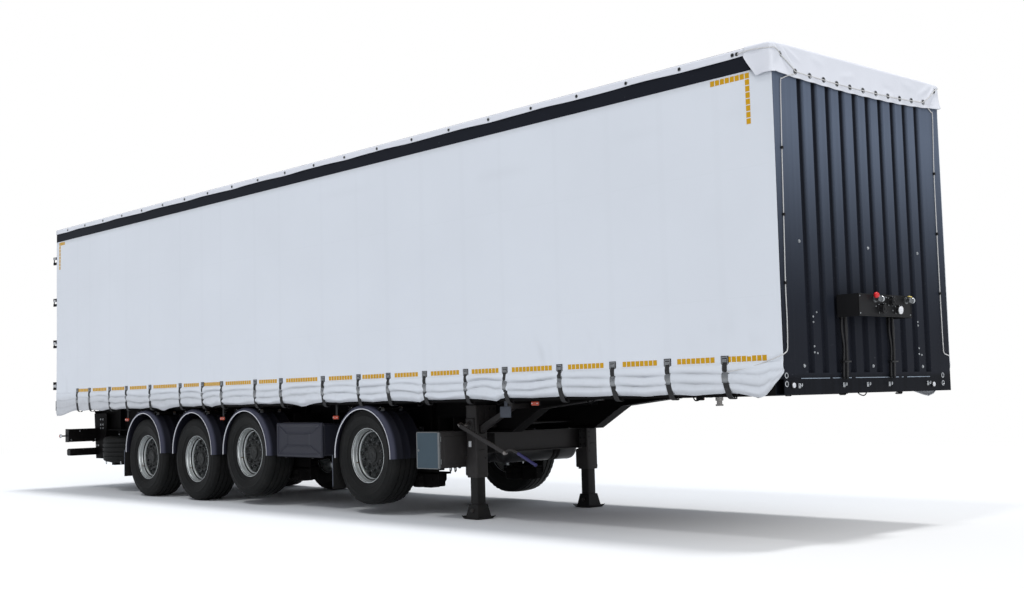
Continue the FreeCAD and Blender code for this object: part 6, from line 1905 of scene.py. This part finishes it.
# ---------------------------------------------------------------- axles
class TRAILER_OT_axles(bpy.types.Operator):
    """Adds bellows, clamps, dampers, brake gear and hoses to the axles"""
    bl_idname = "trailer.axles"
    bl_label = "Axles"

    def execute(self, context):
        bellows, plates, clamps, dampers, brakes, nuts, hoses = [[] for k in range(7)]
        for n in (1, 2, 3, 4):
            low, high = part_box("tyre_%d_left" % n)
            x, z = (low.x + high.x) / 2, (low.z + high.z) / 2
            clamps.append(self.clamps(x, z))
            if low.z > 0.05:
                clamps.append(self.lift(x + 0.5))
            dampers.append(self.damper(x, z))
            made = (*self.spring(x, z), *self.brake(x, z))
            for part, kept in zip(made, (bellows, plates, brakes, nuts, hoses)):
                kept.append(part)
        piece("air_bellows", [(both(bellows), "flap_rubber"), (both(plates), "zinc_plate")],
            ("air_springs",), 50.0)
        piece("axle_gear",
            [(both(clamps), "chassis_paint"), (both(brakes), "chassis_paint"), (both(nuts), "zinc_plate"),
            (both(dampers), "damper_paint"), (both(hoses), "black_fitting")], (), 35.0)
        return {"FINISHED"}

    def spring(self, x, z):
        """Left air spring: piston, rolled lobe swelling to 146 mm, upper bead; clamp rings and plates."""
        seat = z - 0.095
        low = seat + (seat - 0.5) / 0.5 * 0.38 + 0.049
        tall = 0.88 - low
        q = np.linspace(-1, 1, 15)
        lobe_middle, lobe_half = tall * 0.62, tall * 0.3
        lobe = [(0.112 + 0.032 * math.sqrt(max(0.0, 1 - v ** 4)), lobe_middle + lobe_half * v) for v in q]
        outline = ([(0, 0.012), (0.092, 0.012), (0.096, tall * 0.2), (0.108, tall * 0.27)] + lobe
            + [(0.104, tall - 0.014), (0, tall - 0.014)])
        centre = (x - 0.38, 0.6, low)
        rings = [cylinder(0.105, 0.0, 0.012, centre, Z, 32, bore=0.08),
            turned([(0.09, tall - 0.016), (0.142, tall - 0.016), (0.144, tall - 0.012), (0.144, tall),
            (0.09, tall)], centre, Z, 32)]
        rings += [bolt_row(0.01, 0.01, (0, 0, -1), (x - 0.38 + a, 0.6 + b, low + tall - 0.016))
            for a, b in ((-0.127, 0), (0.127, 0), (0, 0.127), (0, -0.127))]
        return turned(outline, centre, Z, 40), joined(rings)

    def clamps(self, x, z):
        """Two hoops over the axle into the arm's seat, with a top plate, nuts below and the pivot's bolt."""
        parts = [block((x - 0.08, 0.545, z + 0.06), (x + 0.08, 0.655, z + 0.07), 0.003)]
        for y in (0.562, 0.638):
            hoop = [(x - 0.07, y, z - 0.15), (x - 0.07, y, z + 0.06), (x - 0.06, y, z + 0.0755),
                (x + 0.06, y, z + 0.0755), (x + 0.07, y, z + 0.06), (x + 0.07, y, z - 0.15)]
            parts.append(tube(hoop, 0.009, 40, 10))
            parts += [bolt_row(0.016, 0.02, (0, 0, -1), (x + side * 0.07, y, z - 0.122)) for side in (-1, 1)]
        pin = bolt(0.03, 0.024, Y)
        parts.append(moved(pin, Matrix.Translation((x + 0.5, 0.664, 0.5))))
        parts.append(mirror(moved(pin, Matrix.Translation((x + 0.5, -0.536, 0.5)))))
        parts.append(block((x + 0.43, 0.6635, 0.6), (x + 0.57, 0.668, 0.86), 0.002))
        return joined(parts)

    def lift(self, x):
        """Left lifting gear of a raised axle: bracket under the hanger with a cut corner, its bolt,
        and a squat bellows."""
        outline = [(-0.02, 0.45), (-0.02, 0.285), (0.1, 0.285), (0.185, 0.315), (0.235, 0.375), (0.235, 0.45)]
        cheeks = [grid(np.array([[(x + a, y, z) for a, z in outline] for y in span]), close_v=True)
            for span in ((0.664, 0.676), (0.763, 0.775))]
        cheeks = [(points, faces + [np.arange(6)[None], np.arange(6, 12)[None, ::-1]])
            for points, faces in cheeks]
        cheeks.append(block((x - 0.27, 0.763, 0.435), (x + 0.235, 0.775, 0.575), 0.003))
        webs = [block((x - 0.01, 0.668, 0.285), (x + 0.1, 0.77, 0.295), 0.002),
            block((x + 0.1, 0.668, 0.3), (x + 0.225, 0.77, 0.43), 0.01),
            block((x - 0.08, 0.6, 0.43), (x + 0.235, 0.775, 0.452), 0.003)]
        head = bolt_row(0.016, 0.012, Y, (x + 0.13, 0.775, 0.375))
        bellows = turned(mm((0, 430), (100, 430), (118, 415), (122, 385), (110, 358), (122, 335), (118, 300),
            (95, 284), (0, 282)), (x - 0.145, 0.69, 0), Z, 36)
        top = block((x - 0.26, 0.6, 0.428), (x - 0.02, 0.775, 0.44), 0.003)
        return joined(cheeks + webs + [head, bellows, top])

    def damper(self, x, z):
        """Damper: body, dust tube, rod and two eyes."""
        a, b = np.array((x + 0.085, 0.715, z - 0.015)), np.array((x + 0.33, 0.715, 0.9))
        run = np.linalg.norm(b - a)
        outline = [(0, 0.018), (0.012, 0.02), (0.027, 0.03), (0.03, 0.04), (0.03, run * 0.55),
            (0.012, run * 0.56), (0.012, run * 0.6), (0.035, run * 0.61), (0.035, run - 0.05),
            (0.028, run - 0.04), (0.012, run - 0.02), (0, run - 0.018)]
        eyes = [cylinder(0.022, -0.024, 0.024, end, Y, 18, bore=0.01) for end in (a, b)]
        pins = [cylinder(0.0095, -0.05, 0.03, end, Y, 12) for end in (a, b)]
        lugs = [block((x + 0.06, 0.66, z - 0.04), (x + 0.11, 0.69, z + 0.01), 0.004),
            block((b[0] - 0.04, 0.674, 0.86), (b[0] + 0.04, 0.684, 0.94), 0.003)]
        return joined([turned(outline, a, b - a, 24)] + eyes + pins + lugs)

    def brake(self, x, z):
        """Brake chamber's bands, nuts and studs; cam shaft with its lever; hoses up to the beam."""
        y, back = 0.33, x - 0.06
        band = [(0.077, 0.0), (0.086, 0.0), (0.0865, 0.005), (0.086, 0.01), (0.077, 0.01)]
        dome = [(0.078, 0), (0.076, 0.01), (0.06, 0.016), (0.02, 0.018), (0, 0.018)]
        bands = [turned(band, (back - d, y, z), BACK, 28) for d in (0.052, 0.118)]
        bands.append(turned(dome, (back - 0.17, y, z), BACK, 28))
        bands.append(turned(mm((17, 0), (17, 500), (13, 500), (13, 0)), (x - 0.115, 0.345, z - 0.01), Y, 14))
        bands.append(block((x - 0.13, 0.352, z - 0.03), (x - 0.098, 0.372, z + 0.135), 0.008))
        nuts = [bolt_row(0.009, 0.012, BACK, (back - 0.188, y + a, z + b))
            for a, b in ((0.0, 0.0), (0.03, 0.02), (-0.03, -0.02))]
        nuts += [bolt_row(0.007, 0.01, (0, s, 0), (back - d, y + s * 0.086, z)) for d in (0.057, 0.123)
            for s in (-1, 1)]
        hoses = [tube([(back - 0.08, y + off, z + 0.074), (back - 0.06, y + off, z + 0.15),
            (back + 0.04, y + 0.1, z + 0.2), (back + 0.05, y + 0.22, 0.93), (back + 0.02, 0.588, 1.02)],
            0.0085, 28, 8) for off in (-0.02, 0.03)]
        return joined(bands), joined(nuts), joined(hoses)


# ---------------------------------------------------------------- chassis
class TRAILER_OT_chassis(bpy.types.Operator):
    """Adds bolts, pipes, gussets, stiffeners and rope hooks to the frame, and the side markers"""
    bl_idname = "trailer.chassis"
    bl_label = "Chassis details"

    def execute(self, context):
        members = [at(0.3 + k * (13.3 - 0.3) / 19) for k in range(20)]
        heads = [bolt_row(0.009, 0.008, Y,
            [(x + a, BEAM_FACE, z) for x in members for a in (-0.028, 0.028) for z in (1.248, 1.29)]),
            bolt_row(0.012, 0.01, Y, [(at(d), 0.675, 1.135) for d in (3.66, 3.74)])]
        stiff = [block((at(d) - 0.004, BEAM_FACE, 0.892), (at(d) + 0.004, 0.672, 1.3), 0.001)
            for d in (5.1, 5.98, 7.55, 8.43, 8.86, 9.74, 10.22, 11.1, 12.6)]
        pipes = [self.pipe(0.56 - 0.02 * k, 1.165 - 0.008 * k) for k in range(4)]
        ties = [block((at(d) - 0.008, 0.49, 1.13), (at(d) + 0.008, 0.597, 1.18), 0.004)
            for d in np.arange(3.8, 12.8, 0.7)]
        hooks = copies(self.rope_hook(), [(at(d), 1.236, 1.2005) for d in np.arange(0.9, 13.2, 1.23)])
        piece("frame_fasteners",
            [(both(heads + stiff + [hooks]), "chassis_paint"), (pipes + ties, "black_fitting")],
            (), 35.0)
        sign = [blank_plate((at(3.43), -1.155, 1.04), (at(3.275), -1.15, 1.147), RIGHT),
            block((at(3.375), -1.15, 1.06), (at(3.33), -1.146, 1.202), 0.001)]
        piece("blank_sign", [(sign, "sign_paint")])
        self.coupling_plate()
        self.brace()
        lamps, holders, backs = self.markers()
        piece("marker_lamps",
            [(both(lamps), "amber_lens"), (both(holders), "black_fitting"), (both(backs), "zinc_plate")],
            ("side_markers",), 30.0)
        return {"FINISHED"}

    def pipe(self, y, z):
        """Pipe along the beam's inner face from the gooseneck to the last axle, sagging between its ties."""
        d = np.arange(3.8, 12.7, 0.0875)
        sag = 0.004 * np.abs(np.sin((d - 3.8) * math.pi / 0.7))
        return carried(circle(0.0075, 8), np.stack([at(d), y + 0 * d, z - sag], 1), Y)

    def rope_hook(self):
        """Hook under the side rail: a rod bent into a V that opens outwards."""
        return tube([(-0.05, -0.02, 0.0), (-0.03, -0.008, -0.022), (0.0, 0.002, -0.032),
            (0.03, -0.008, -0.022), (0.05, -0.02, 0.0)], 0.0055, 20, 8)

    def coupling_plate(self):
        """Bolt ring round the king pin and a ring of grease on the skid plate's face."""
        ring = [(at(1.65) + 0.115 * math.cos(a), 0.115 * math.sin(a), 1.1895)
            for a in np.arange(8) * math.pi / 4]
        heads = bolt_row(0.011, 0.006, (0, 0, -1), ring)
        grease = cylinder(0.3, 0, 0.0012, (at(1.65), 0, 1.1886), Z, 48, bore=0.045)
        piece("coupling_bolts", [(heads, "zinc_plate"), (grease, "grease")], (), 35.0)

    def brace(self):
        """End plates and bolts of the channel between the legs, and of the stays."""
        x = LEG
        ends = [block((x + 0.056, 0.62, 0.668), (x + 0.064, 0.73, 0.87), 0.002),
            block((at(3.66), 0.783, 1.112), (at(3.6) + 0.002, 0.837, 1.118), 0.001),
            block((x + 0.081, 0.772, 0.872), (x + 0.088, 0.848, 0.96), 0.002)]
        heads = bolt_row(0.009, 0.008, X,
            [(x + 0.064, y, z) for y in (0.645, 0.705) for z in (0.7, 0.77, 0.84)])
        piece("leg_brace_details", [(both(ends + [heads]), "chassis_paint")], (), 30.0)

    def markers(self):
        """Left lamps: rounded ribbed lens on a back plate, folded strap up to the rail, two screws."""
        lamps, holders, backs = [], [], []
        for d, z in ((2.87, 1.15), (6.136, 1.035), (8.63, 1.035), (11.27, 1.03)):
            x0, x1 = at(d) - 0.0525, at(d) + 0.0525
            low, high = (x0 + 0.003, 1.203, z + 0.003), (x1 - 0.003, 1.2215, z + 0.041)
            lamps.append(block(low, high, 0.006))
            backs += [block((at(d) - 0.008 + s * 0.036, 1.2212, z + 0.018),
                (at(d) + 0.008 + s * 0.036, 1.2225, z + 0.026), 0.0006) for s in (-1, 1)]
            holders.append(block((x0, 1.196, z), (x1, 1.205, z + 0.044), 0.002))
            if z < 1.1:
                holders += [block((at(d) - 0.018, 1.196, z + 0.03), (at(d) + 0.018, 1.2, 1.203), 0.001),
                    block((at(d) - 0.018, 1.176, 1.196), (at(d) + 0.018, 1.2, 1.202), 0.001),
                    tube([(at(d), 1.194, z + 0.02), (at(d) - 0.02, 1.18, z + 0.05), (at(d), 1.17, 1.205)],
                    0.004, 14, 8)]
        return lamps, holders, backs


# ---------------------------------------------------------------- rear
class TRAILER_OT_rear(bpy.types.Operator):
    """Builds the doors' skins, lock rods, rear lamps, buffers, blank plates and mud flaps"""
    bl_idname = "trailer.rear"
    bl_label = "Rear"

    hinges = (1.56, 2.22, 2.88, 3.54)

    def execute(self, context):
        skin, bars, seal, bolts = self.door()
        rods, guides, handles, grips = self.rods()
        for side, turn in (("left", lambda part: part), ("right", mirror)):
            body = "door_" + side
            piece("door_skin_" + side,
                [(turn(skin), "door_paint"), (turn(bars), "mill_aluminium"), (turn(seal), "black_fitting"),
                (turn(bolts), "zinc_plate")], ("door_" + side,), 30.0, body)
            piece("lock_gear_" + side,
                [(turn(rods), "zinc_plate"), (turn(guides), "zinc_plate"), (turn(handles), "zinc_plate"),
                (turn(grips), "black_fitting")], ("lock_rods_" + side,), 35.0, body)
        self.lamps()
        self.bumper()
        self.flaps()
        return {"FINISHED"}

    def door(self):
        """Left leaf: planked skin, frame bars, lipped seal, and at each hinge a strap, arm and bored knuckle.

        Skin: x = rear - 1 mm + 2.5 mm in a 6 mm joint at every 0.211 m of height.
        """
        y0, y1, z0, z1, x = 0.006, 1.226, 1.358, 3.894, REAR
        z = np.unique(np.concatenate([np.linspace(z0 + 0.05, z1 - 0.05, 13)[:, None]
            + np.array([-0.004, -0.0025, 0.0025, 0.004])]))
        z = z[(z > z0 + 0.04) & (z < z1 - 0.04)]
        plank = (z1 - z0 - 0.1) / 12
        near = np.abs(np.mod(z - z0 - 0.05 + plank / 2, plank) - plank / 2)
        deep = 0.0025 * (1 - step(near, 0.0026, 0.0039))
        y = np.linspace(y0 + 0.045, y1 - 0.055, 5)
        face = np.stack(np.broadcast_arrays((x + 0.0015 + deep)[None], y[:, None], z[None]), -1)
        skin = tile(face, face * (0, 1, 1) + (x + 0.038, 0, 0))
        bars = [block((x, y0, z0), (x + 0.04, y0 + 0.05, z1), 0.004),
            block((x, y1 - 0.06, z0), (x + 0.04, y1, z1), 0.004),
            block((x + 0.0005, y0, z0), (x + 0.04, y1, z0 + 0.055), 0.004),
            block((x + 0.0005, y0, z1 - 0.055), (x + 0.04, y1, z1), 0.004)]
        seal = [block((x + 0.012, y1 - 0.002, z0 + 0.004), (x + 0.034, y1 + 0.006, z1 - 0.004), 0.002),
            block((x + 0.012, y0 - 0.003, z0 + 0.004), (x + 0.03, y0 + 0.002, z1 - 0.004), 0.002),
            block((x + 0.012, y0, z1 - 0.002), (x + 0.034, y1, z1 + 0.006), 0.002)]
        hinge_x, hinge_y, bolts = x - 0.052, 1.258, []
        for low in self.hinges:
            mid = low + 0.02
            bars.append(cylinder(0.014, 0, 0.04, (hinge_x, hinge_y, low), Z, 20, bore=0.0085))
            arm = np.array([(x - 0.012, hinge_y - 0.03), (x - 0.001, hinge_y - 0.01),
                (hinge_x + 0.007, hinge_y + 0.011), (hinge_x - 0.009, hinge_y - 0.0085)])
            sheet = np.array([[(a, b, low + c) for a, b in arm] for c in (0.001, 0.039)])
            made, faces = grid(sheet, close_v=True)
            bars.append((made, faces + [np.arange(4)[None], np.arange(4, 8)[None, ::-1]]))
            bars.append(block((x - 0.012, y1 - 0.17, low), (x, hinge_y - 0.008, low + 0.04), 0.003))
            bolts += [bolt_row(0.0075, 0.007, BACK, (x - 0.012, y, mid)) for y in (1.085, 1.13, 1.175)]
        bolts += [bolt_row(0.004, 0.0025, BACK, (x, y, z)) for y in (y0 + 0.02, y1 - 0.02)
            for z in np.arange(z0 + 0.1, z1, 0.26)]
        return skin, joined(bars), joined(seal), joined(bolts)

    def rods(self):
        """Two lock rods with bushed guides, cams at both ends, and a hinged handle with its catch."""
        x = REAR - 0.017
        rods, guides, handles, grips = [], [], [], []
        for y in (0.86, 0.2744):
            rods.append(turned(mm((0, 1370), (11.5, 1372), (11.5, 3878), (0, 3880)), (x, y, 0), Z, 16))
            for z in np.linspace(1.42, 3.755, 5):
                guides += [turned(mm((11.5, 0), (13, 2), (13, 43), (11.5, 45)), (x, y, z), Z, 16),
                    block((REAR - 0.007, y - 0.03, z), (REAR - 0.0005, y + 0.03, z + 0.045), 0.002)]
                guides += [bolt_row(0.005, 0.004, BACK, (REAR - 0.007, y + s * 0.023, z + 0.0225))
                    for s in (-1, 1)]
            for z in (1.366, 3.852):
                guides.append(block((x - 0.012, y - 0.02, z), (x + 0.012, y + 0.02, z + 0.028), 0.005))
                guides.append(block((x - 0.01, y + 0.012, z + 0.006), (x + 0.01, y + 0.034, z + 0.022),
                    0.004))
            z = 1.716
            bar = [(x - 0.004, y, z), (x - 0.006, y + 0.05, z), (x - 0.008, y + 0.2, z),
                (x - 0.006, y + 0.335, z + 0.004)]
            handles.append(carried(oblong(0.004, 0.014), smooth_path(bar, 20), X))
            grips.append(carried(oblong(0.0045, 0.016),
                smooth_path([(x - 0.008, y + 0.2, z), (x - 0.0075, y + 0.27, z),
                (x - 0.006, y + 0.33, z + 0.004)], 10), X))
            guides += [block((REAR - 0.008, y + 0.225, z - 0.03), (REAR - 0.0005, y + 0.27, z + 0.03), 0.002),
                block((REAR - 0.02, y + 0.232, z - 0.026), (REAR - 0.006, y + 0.262, z - 0.018), 0.002)]
        return joined(rods), joined(guides), joined(handles), joined(grips)

    def lamps(self):
        """Tail lamps: tub, bezel and four ribbed cells; position lamps on bent rubber arms; cables."""
        x = REAR + 0.15
        red, amber, clear = "red_lens", "amber_lens", "clear_lens"
        tub = [block((x - 0.034, 0.7, 0.751), (x, 1.12, 0.881), 0.006)]
        cells = ((0.709, 0.837, red), (0.843, 0.917, clear), (0.923, 1.011, red), (1.017, 1.111, amber))
        lenses = {red: [], amber: [], clear: []}
        for low, high, look in cells:
            lenses[look].append(block((x - 0.055, low, 0.76), (x - 0.032, high, 0.872), 0.008))
        tub += [block((x - 0.046, y - 0.003, 0.753), (x - 0.03, y + 0.003, 0.879), 0.001)
            for y in (0.84, 0.92, 1.014)]
        tub.append(tube([(x - 0.004, 0.76, 0.756), (x + 0.01, 0.75, 0.735), (x + 0.04, 0.73, 0.712),
            (x + 0.1, 0.7, 0.74)], 0.007, 16, 8))
        mid = 0.816
        tub.append(tube([(x + 0.035, 1.155, mid), (x + 0.035, 1.2, mid - 0.005),
            (x + 0.035, 1.246, mid - 0.002)], 0.011, 12, 12))
        tub.append(turned(mm((16, 0), (19, 6), (19, 12), (0, 12)), (x + 0.035, 1.159, mid), Y, 14))
        tub.append(block((x + 0.028, 1.24, mid - 0.03), (x + 0.042, 1.268, mid + 0.022), 0.003))
        dome = [(0.022, 0), (0.024, 0.006), (0.023, 0.018), (0.017, 0.028), (0.008, 0.032), (0, 0.033)]
        squeeze = Matrix.Translation((x + 0.035, 1.254, mid - 0.004)) @ Matrix.Diagonal((1, 0.56, 1, 1))
        for way, look in ((-1, red), (1, clear)):
            lenses[look].append(moved(turned(dome, (way * 0.006, 0, 0), (way, 0, 0), 20), squeeze))
        screws = bolt_row(0.004, 0.003, BACK,
            [(x - 0.034, y, z) for y in (0.7035, 1.1165) for z in (0.757, 0.875)])
        parts = [(both(tub), "black_fitting"), (both([screws]), "zinc_plate")]
        parts += [(both(made), look) for look, made in lenses.items()]
        piece("tail_lamps", parts, ("rear_lamps",), 30.0)

    def bumper(self):
        """End caps, bolts, number plate's holder, rubber buffers, keepers and the spare's hanging bolts."""
        x0, x1 = REAR + 0.15, REAR + 0.26
        caps = [block((x0 - 0.003, 1.153, 0.715), (x1 + 0.003, 1.1635, 0.917), 0.002),
            block((x0 - 0.003, 1.127, 0.524), (x1 + 0.003, 1.1385, 0.598), 0.004)]
        heads = [bolt_row(0.008, 0.007, X, [(x1, y, 0.748) for y in (0.732, 1.116)] + [(x1, 0.98, 0.88)]),
            bolt_row(0.011, 0.01, Y, [(x, 0.687, z) for x in (-6.46, -6.54) for z in (0.914, 0.969, 1.05)]),
            bolt_row(0.01, 0.009, Y, [(x, 0.687, z) for x in (-6.62, -6.68) for z in (0.65,)]),
            bolt_row(0.009, 0.008, BACK, [(x0, y, z) for y in (0.64, 1.13) for z in (0.742, 0.89)])]
        buffers = [block((REAR - 0.045, 0.9, 1.215), (REAR, 0.98, 1.325), 0.012),
            block((REAR - 0.008, 0.88, 1.208), (REAR, 1.0, 1.332), 0.002)]
        heads.append(bolt_row(0.006, 0.005, BACK,
            [(REAR - 0.008, y, z) for y in (0.889, 0.991) for z in (1.225, 1.315)]))
        keepers = [block((REAR - 0.026, y - 0.032, 1.296), (REAR, y + 0.032, 1.35), 0.003)
            for y in (0.86, 0.2744)]
        marks = [block((x0 - 0.0012, a, 0.548), (x0 + 0.001, a + 0.12, 0.578), 0.0004)
            for a in (0.62, 0.8, 0.98)]
        plate = blank_plate((x0 - 0.004, -0.26, 0.762), (x0, 0.26, 0.872), BACK)
        piece("bumper_fittings",
            [(both(caps + buffers), "black_fitting"), (both(heads), "zinc_plate"),
            (both(keepers), "chassis_paint"), (both(marks), "red_reflector"), (plate, "blank_plate")],
            (), 30.0)
        low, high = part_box("spare_wheel")
        x, y = (low.x + high.x) / 2, (low.y + high.y) / 2
        cage = [tube([(x + s * 0.24, y - 0.42, 0.395), (x + s * 0.24, y - 0.425, 0.46),
            (x + s * 0.24, y - 0.38, 0.5)], 0.009, 12, 8) for s in (-1, 1)]
        cage += [cylinder(0.012, 0, 0.3, (x, y, 0.38), Z, 12),
            cylinder(0.06, 0, 0.008, (x, y, 0.628), Z, 24, bore=0.012),
            bolt_row(0.022, 0.024, Z, (x, y, 0.636))]
        cage += [bolt_row(0.01, 0.01, RIGHT, (x + s * 0.575, -0.63, z)) for s in (-1, 1)
            for z in (0.72, 0.82)]
        piece("spare_fittings", [(cage, "zinc_plate")], (), 35.0)

    def flaps(self):
        """Flaps with upright ribs, a stiffer lower edge and a row of bolts: x = back + 2 mm * |cos(ribs)|."""
        sheets, edges, bolts = [], [], []
        for n in (1, 4):
            low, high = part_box("tyre_%d_left" % n)
            top = 0.64 if n == 1 else 0.63
            x = (low.x + high.x) / 2 - 0.554
            y, z = np.linspace(0.858, 1.25, 71), np.array([0.262, 0.264, 0.29, 0.294, 0.45, top - 0.03, top])
            rib = 0.0022 * np.abs(np.cos((y - 0.858) / 0.028 * math.pi))
            thick = np.where(z < 0.292, 0.0, 1.0)
            back = np.stack(np.broadcast_arrays(x - 0.0078 + rib[:, None] * thick, y[:, None], z[None]), -1)
            front = np.stack(np.broadcast_arrays(x - 0.0004 - rib[:, None] * thick, y[:, None], z[None]), -1)
            sheets.append(tile(back, front))
            edges.append(block((x - 0.0088, 1.2465, 0.29), (x + 0.0005, 1.251, top), 0.0006))
            bolts += [bolt_row(0.007, 0.005, BACK, (x - 0.008, by, top - 0.02))
                for by in np.linspace(0.885, 1.225, 5)]
        piece("flap_sheets",
            [(both(sheets), "flap_rubber"), (both(edges), "flap_edge"), (both(bolts), "zinc_plate")],
            ("mudflaps",), 35.0)


PROPERTY_GROUPS = {"trailer_colours": TrailerColours, "trailer_cloth": TrailerCloth,
    "trailer_wheels": TrailerWheels, "trailer_stage": TrailerStage}
OPERATORS = [TRAILER_OT_stage, TRAILER_OT_finishes, TRAILER_OT_curtains, TRAILER_OT_buckles, TRAILER_OT_roof,
    TRAILER_OT_wheels, TRAILER_OT_mudguards, TRAILER_OT_front, TRAILER_OT_connections, TRAILER_OT_boxes,
    TRAILER_OT_legs, TRAILER_OT_axles, TRAILER_OT_chassis, TRAILER_OT_rear]


class TRAILER_PT_panel(bpy.types.Panel):
    """Lists the steps that build the trailer's looks"""
    bl_label = "Trailer"
    bl_idname = "TRAILER_PT_panel"
    bl_space_type = "VIEW_3D"
    bl_region_type = "UI"
    bl_category = "Trailer"

    def draw(self, context):
        for operator in OPERATORS:
            self.layout.operator(operator.bl_idname)


def register():
    for group in PROPERTY_GROUPS.values():
        bpy.utils.register_class(group)
    for key, group in PROPERTY_GROUPS.items():
        setattr(bpy.types.Scene, key, PointerProperty(type=group))
    for operator in OPERATORS:
        bpy.utils.register_class(operator)
    bpy.utils.register_class(TRAILER_PT_panel)


def unregister():
    bpy.utils.unregister_class(TRAILER_PT_panel)
    for operator in reversed(OPERATORS):
        bpy.utils.unregister_class(operator)
    for key, group in PROPERTY_GROUPS.items():
        delattr(bpy.types.Scene, key)
        bpy.utils.unregister_class(group)


def main():
    """Builds everything in order."""
    register()
    for operator in OPERATORS:
        group, name = operator.bl_idname.split(".")
        getattr(getattr(bpy.ops, group), name)()


if __name__ == "__main__":
    main()
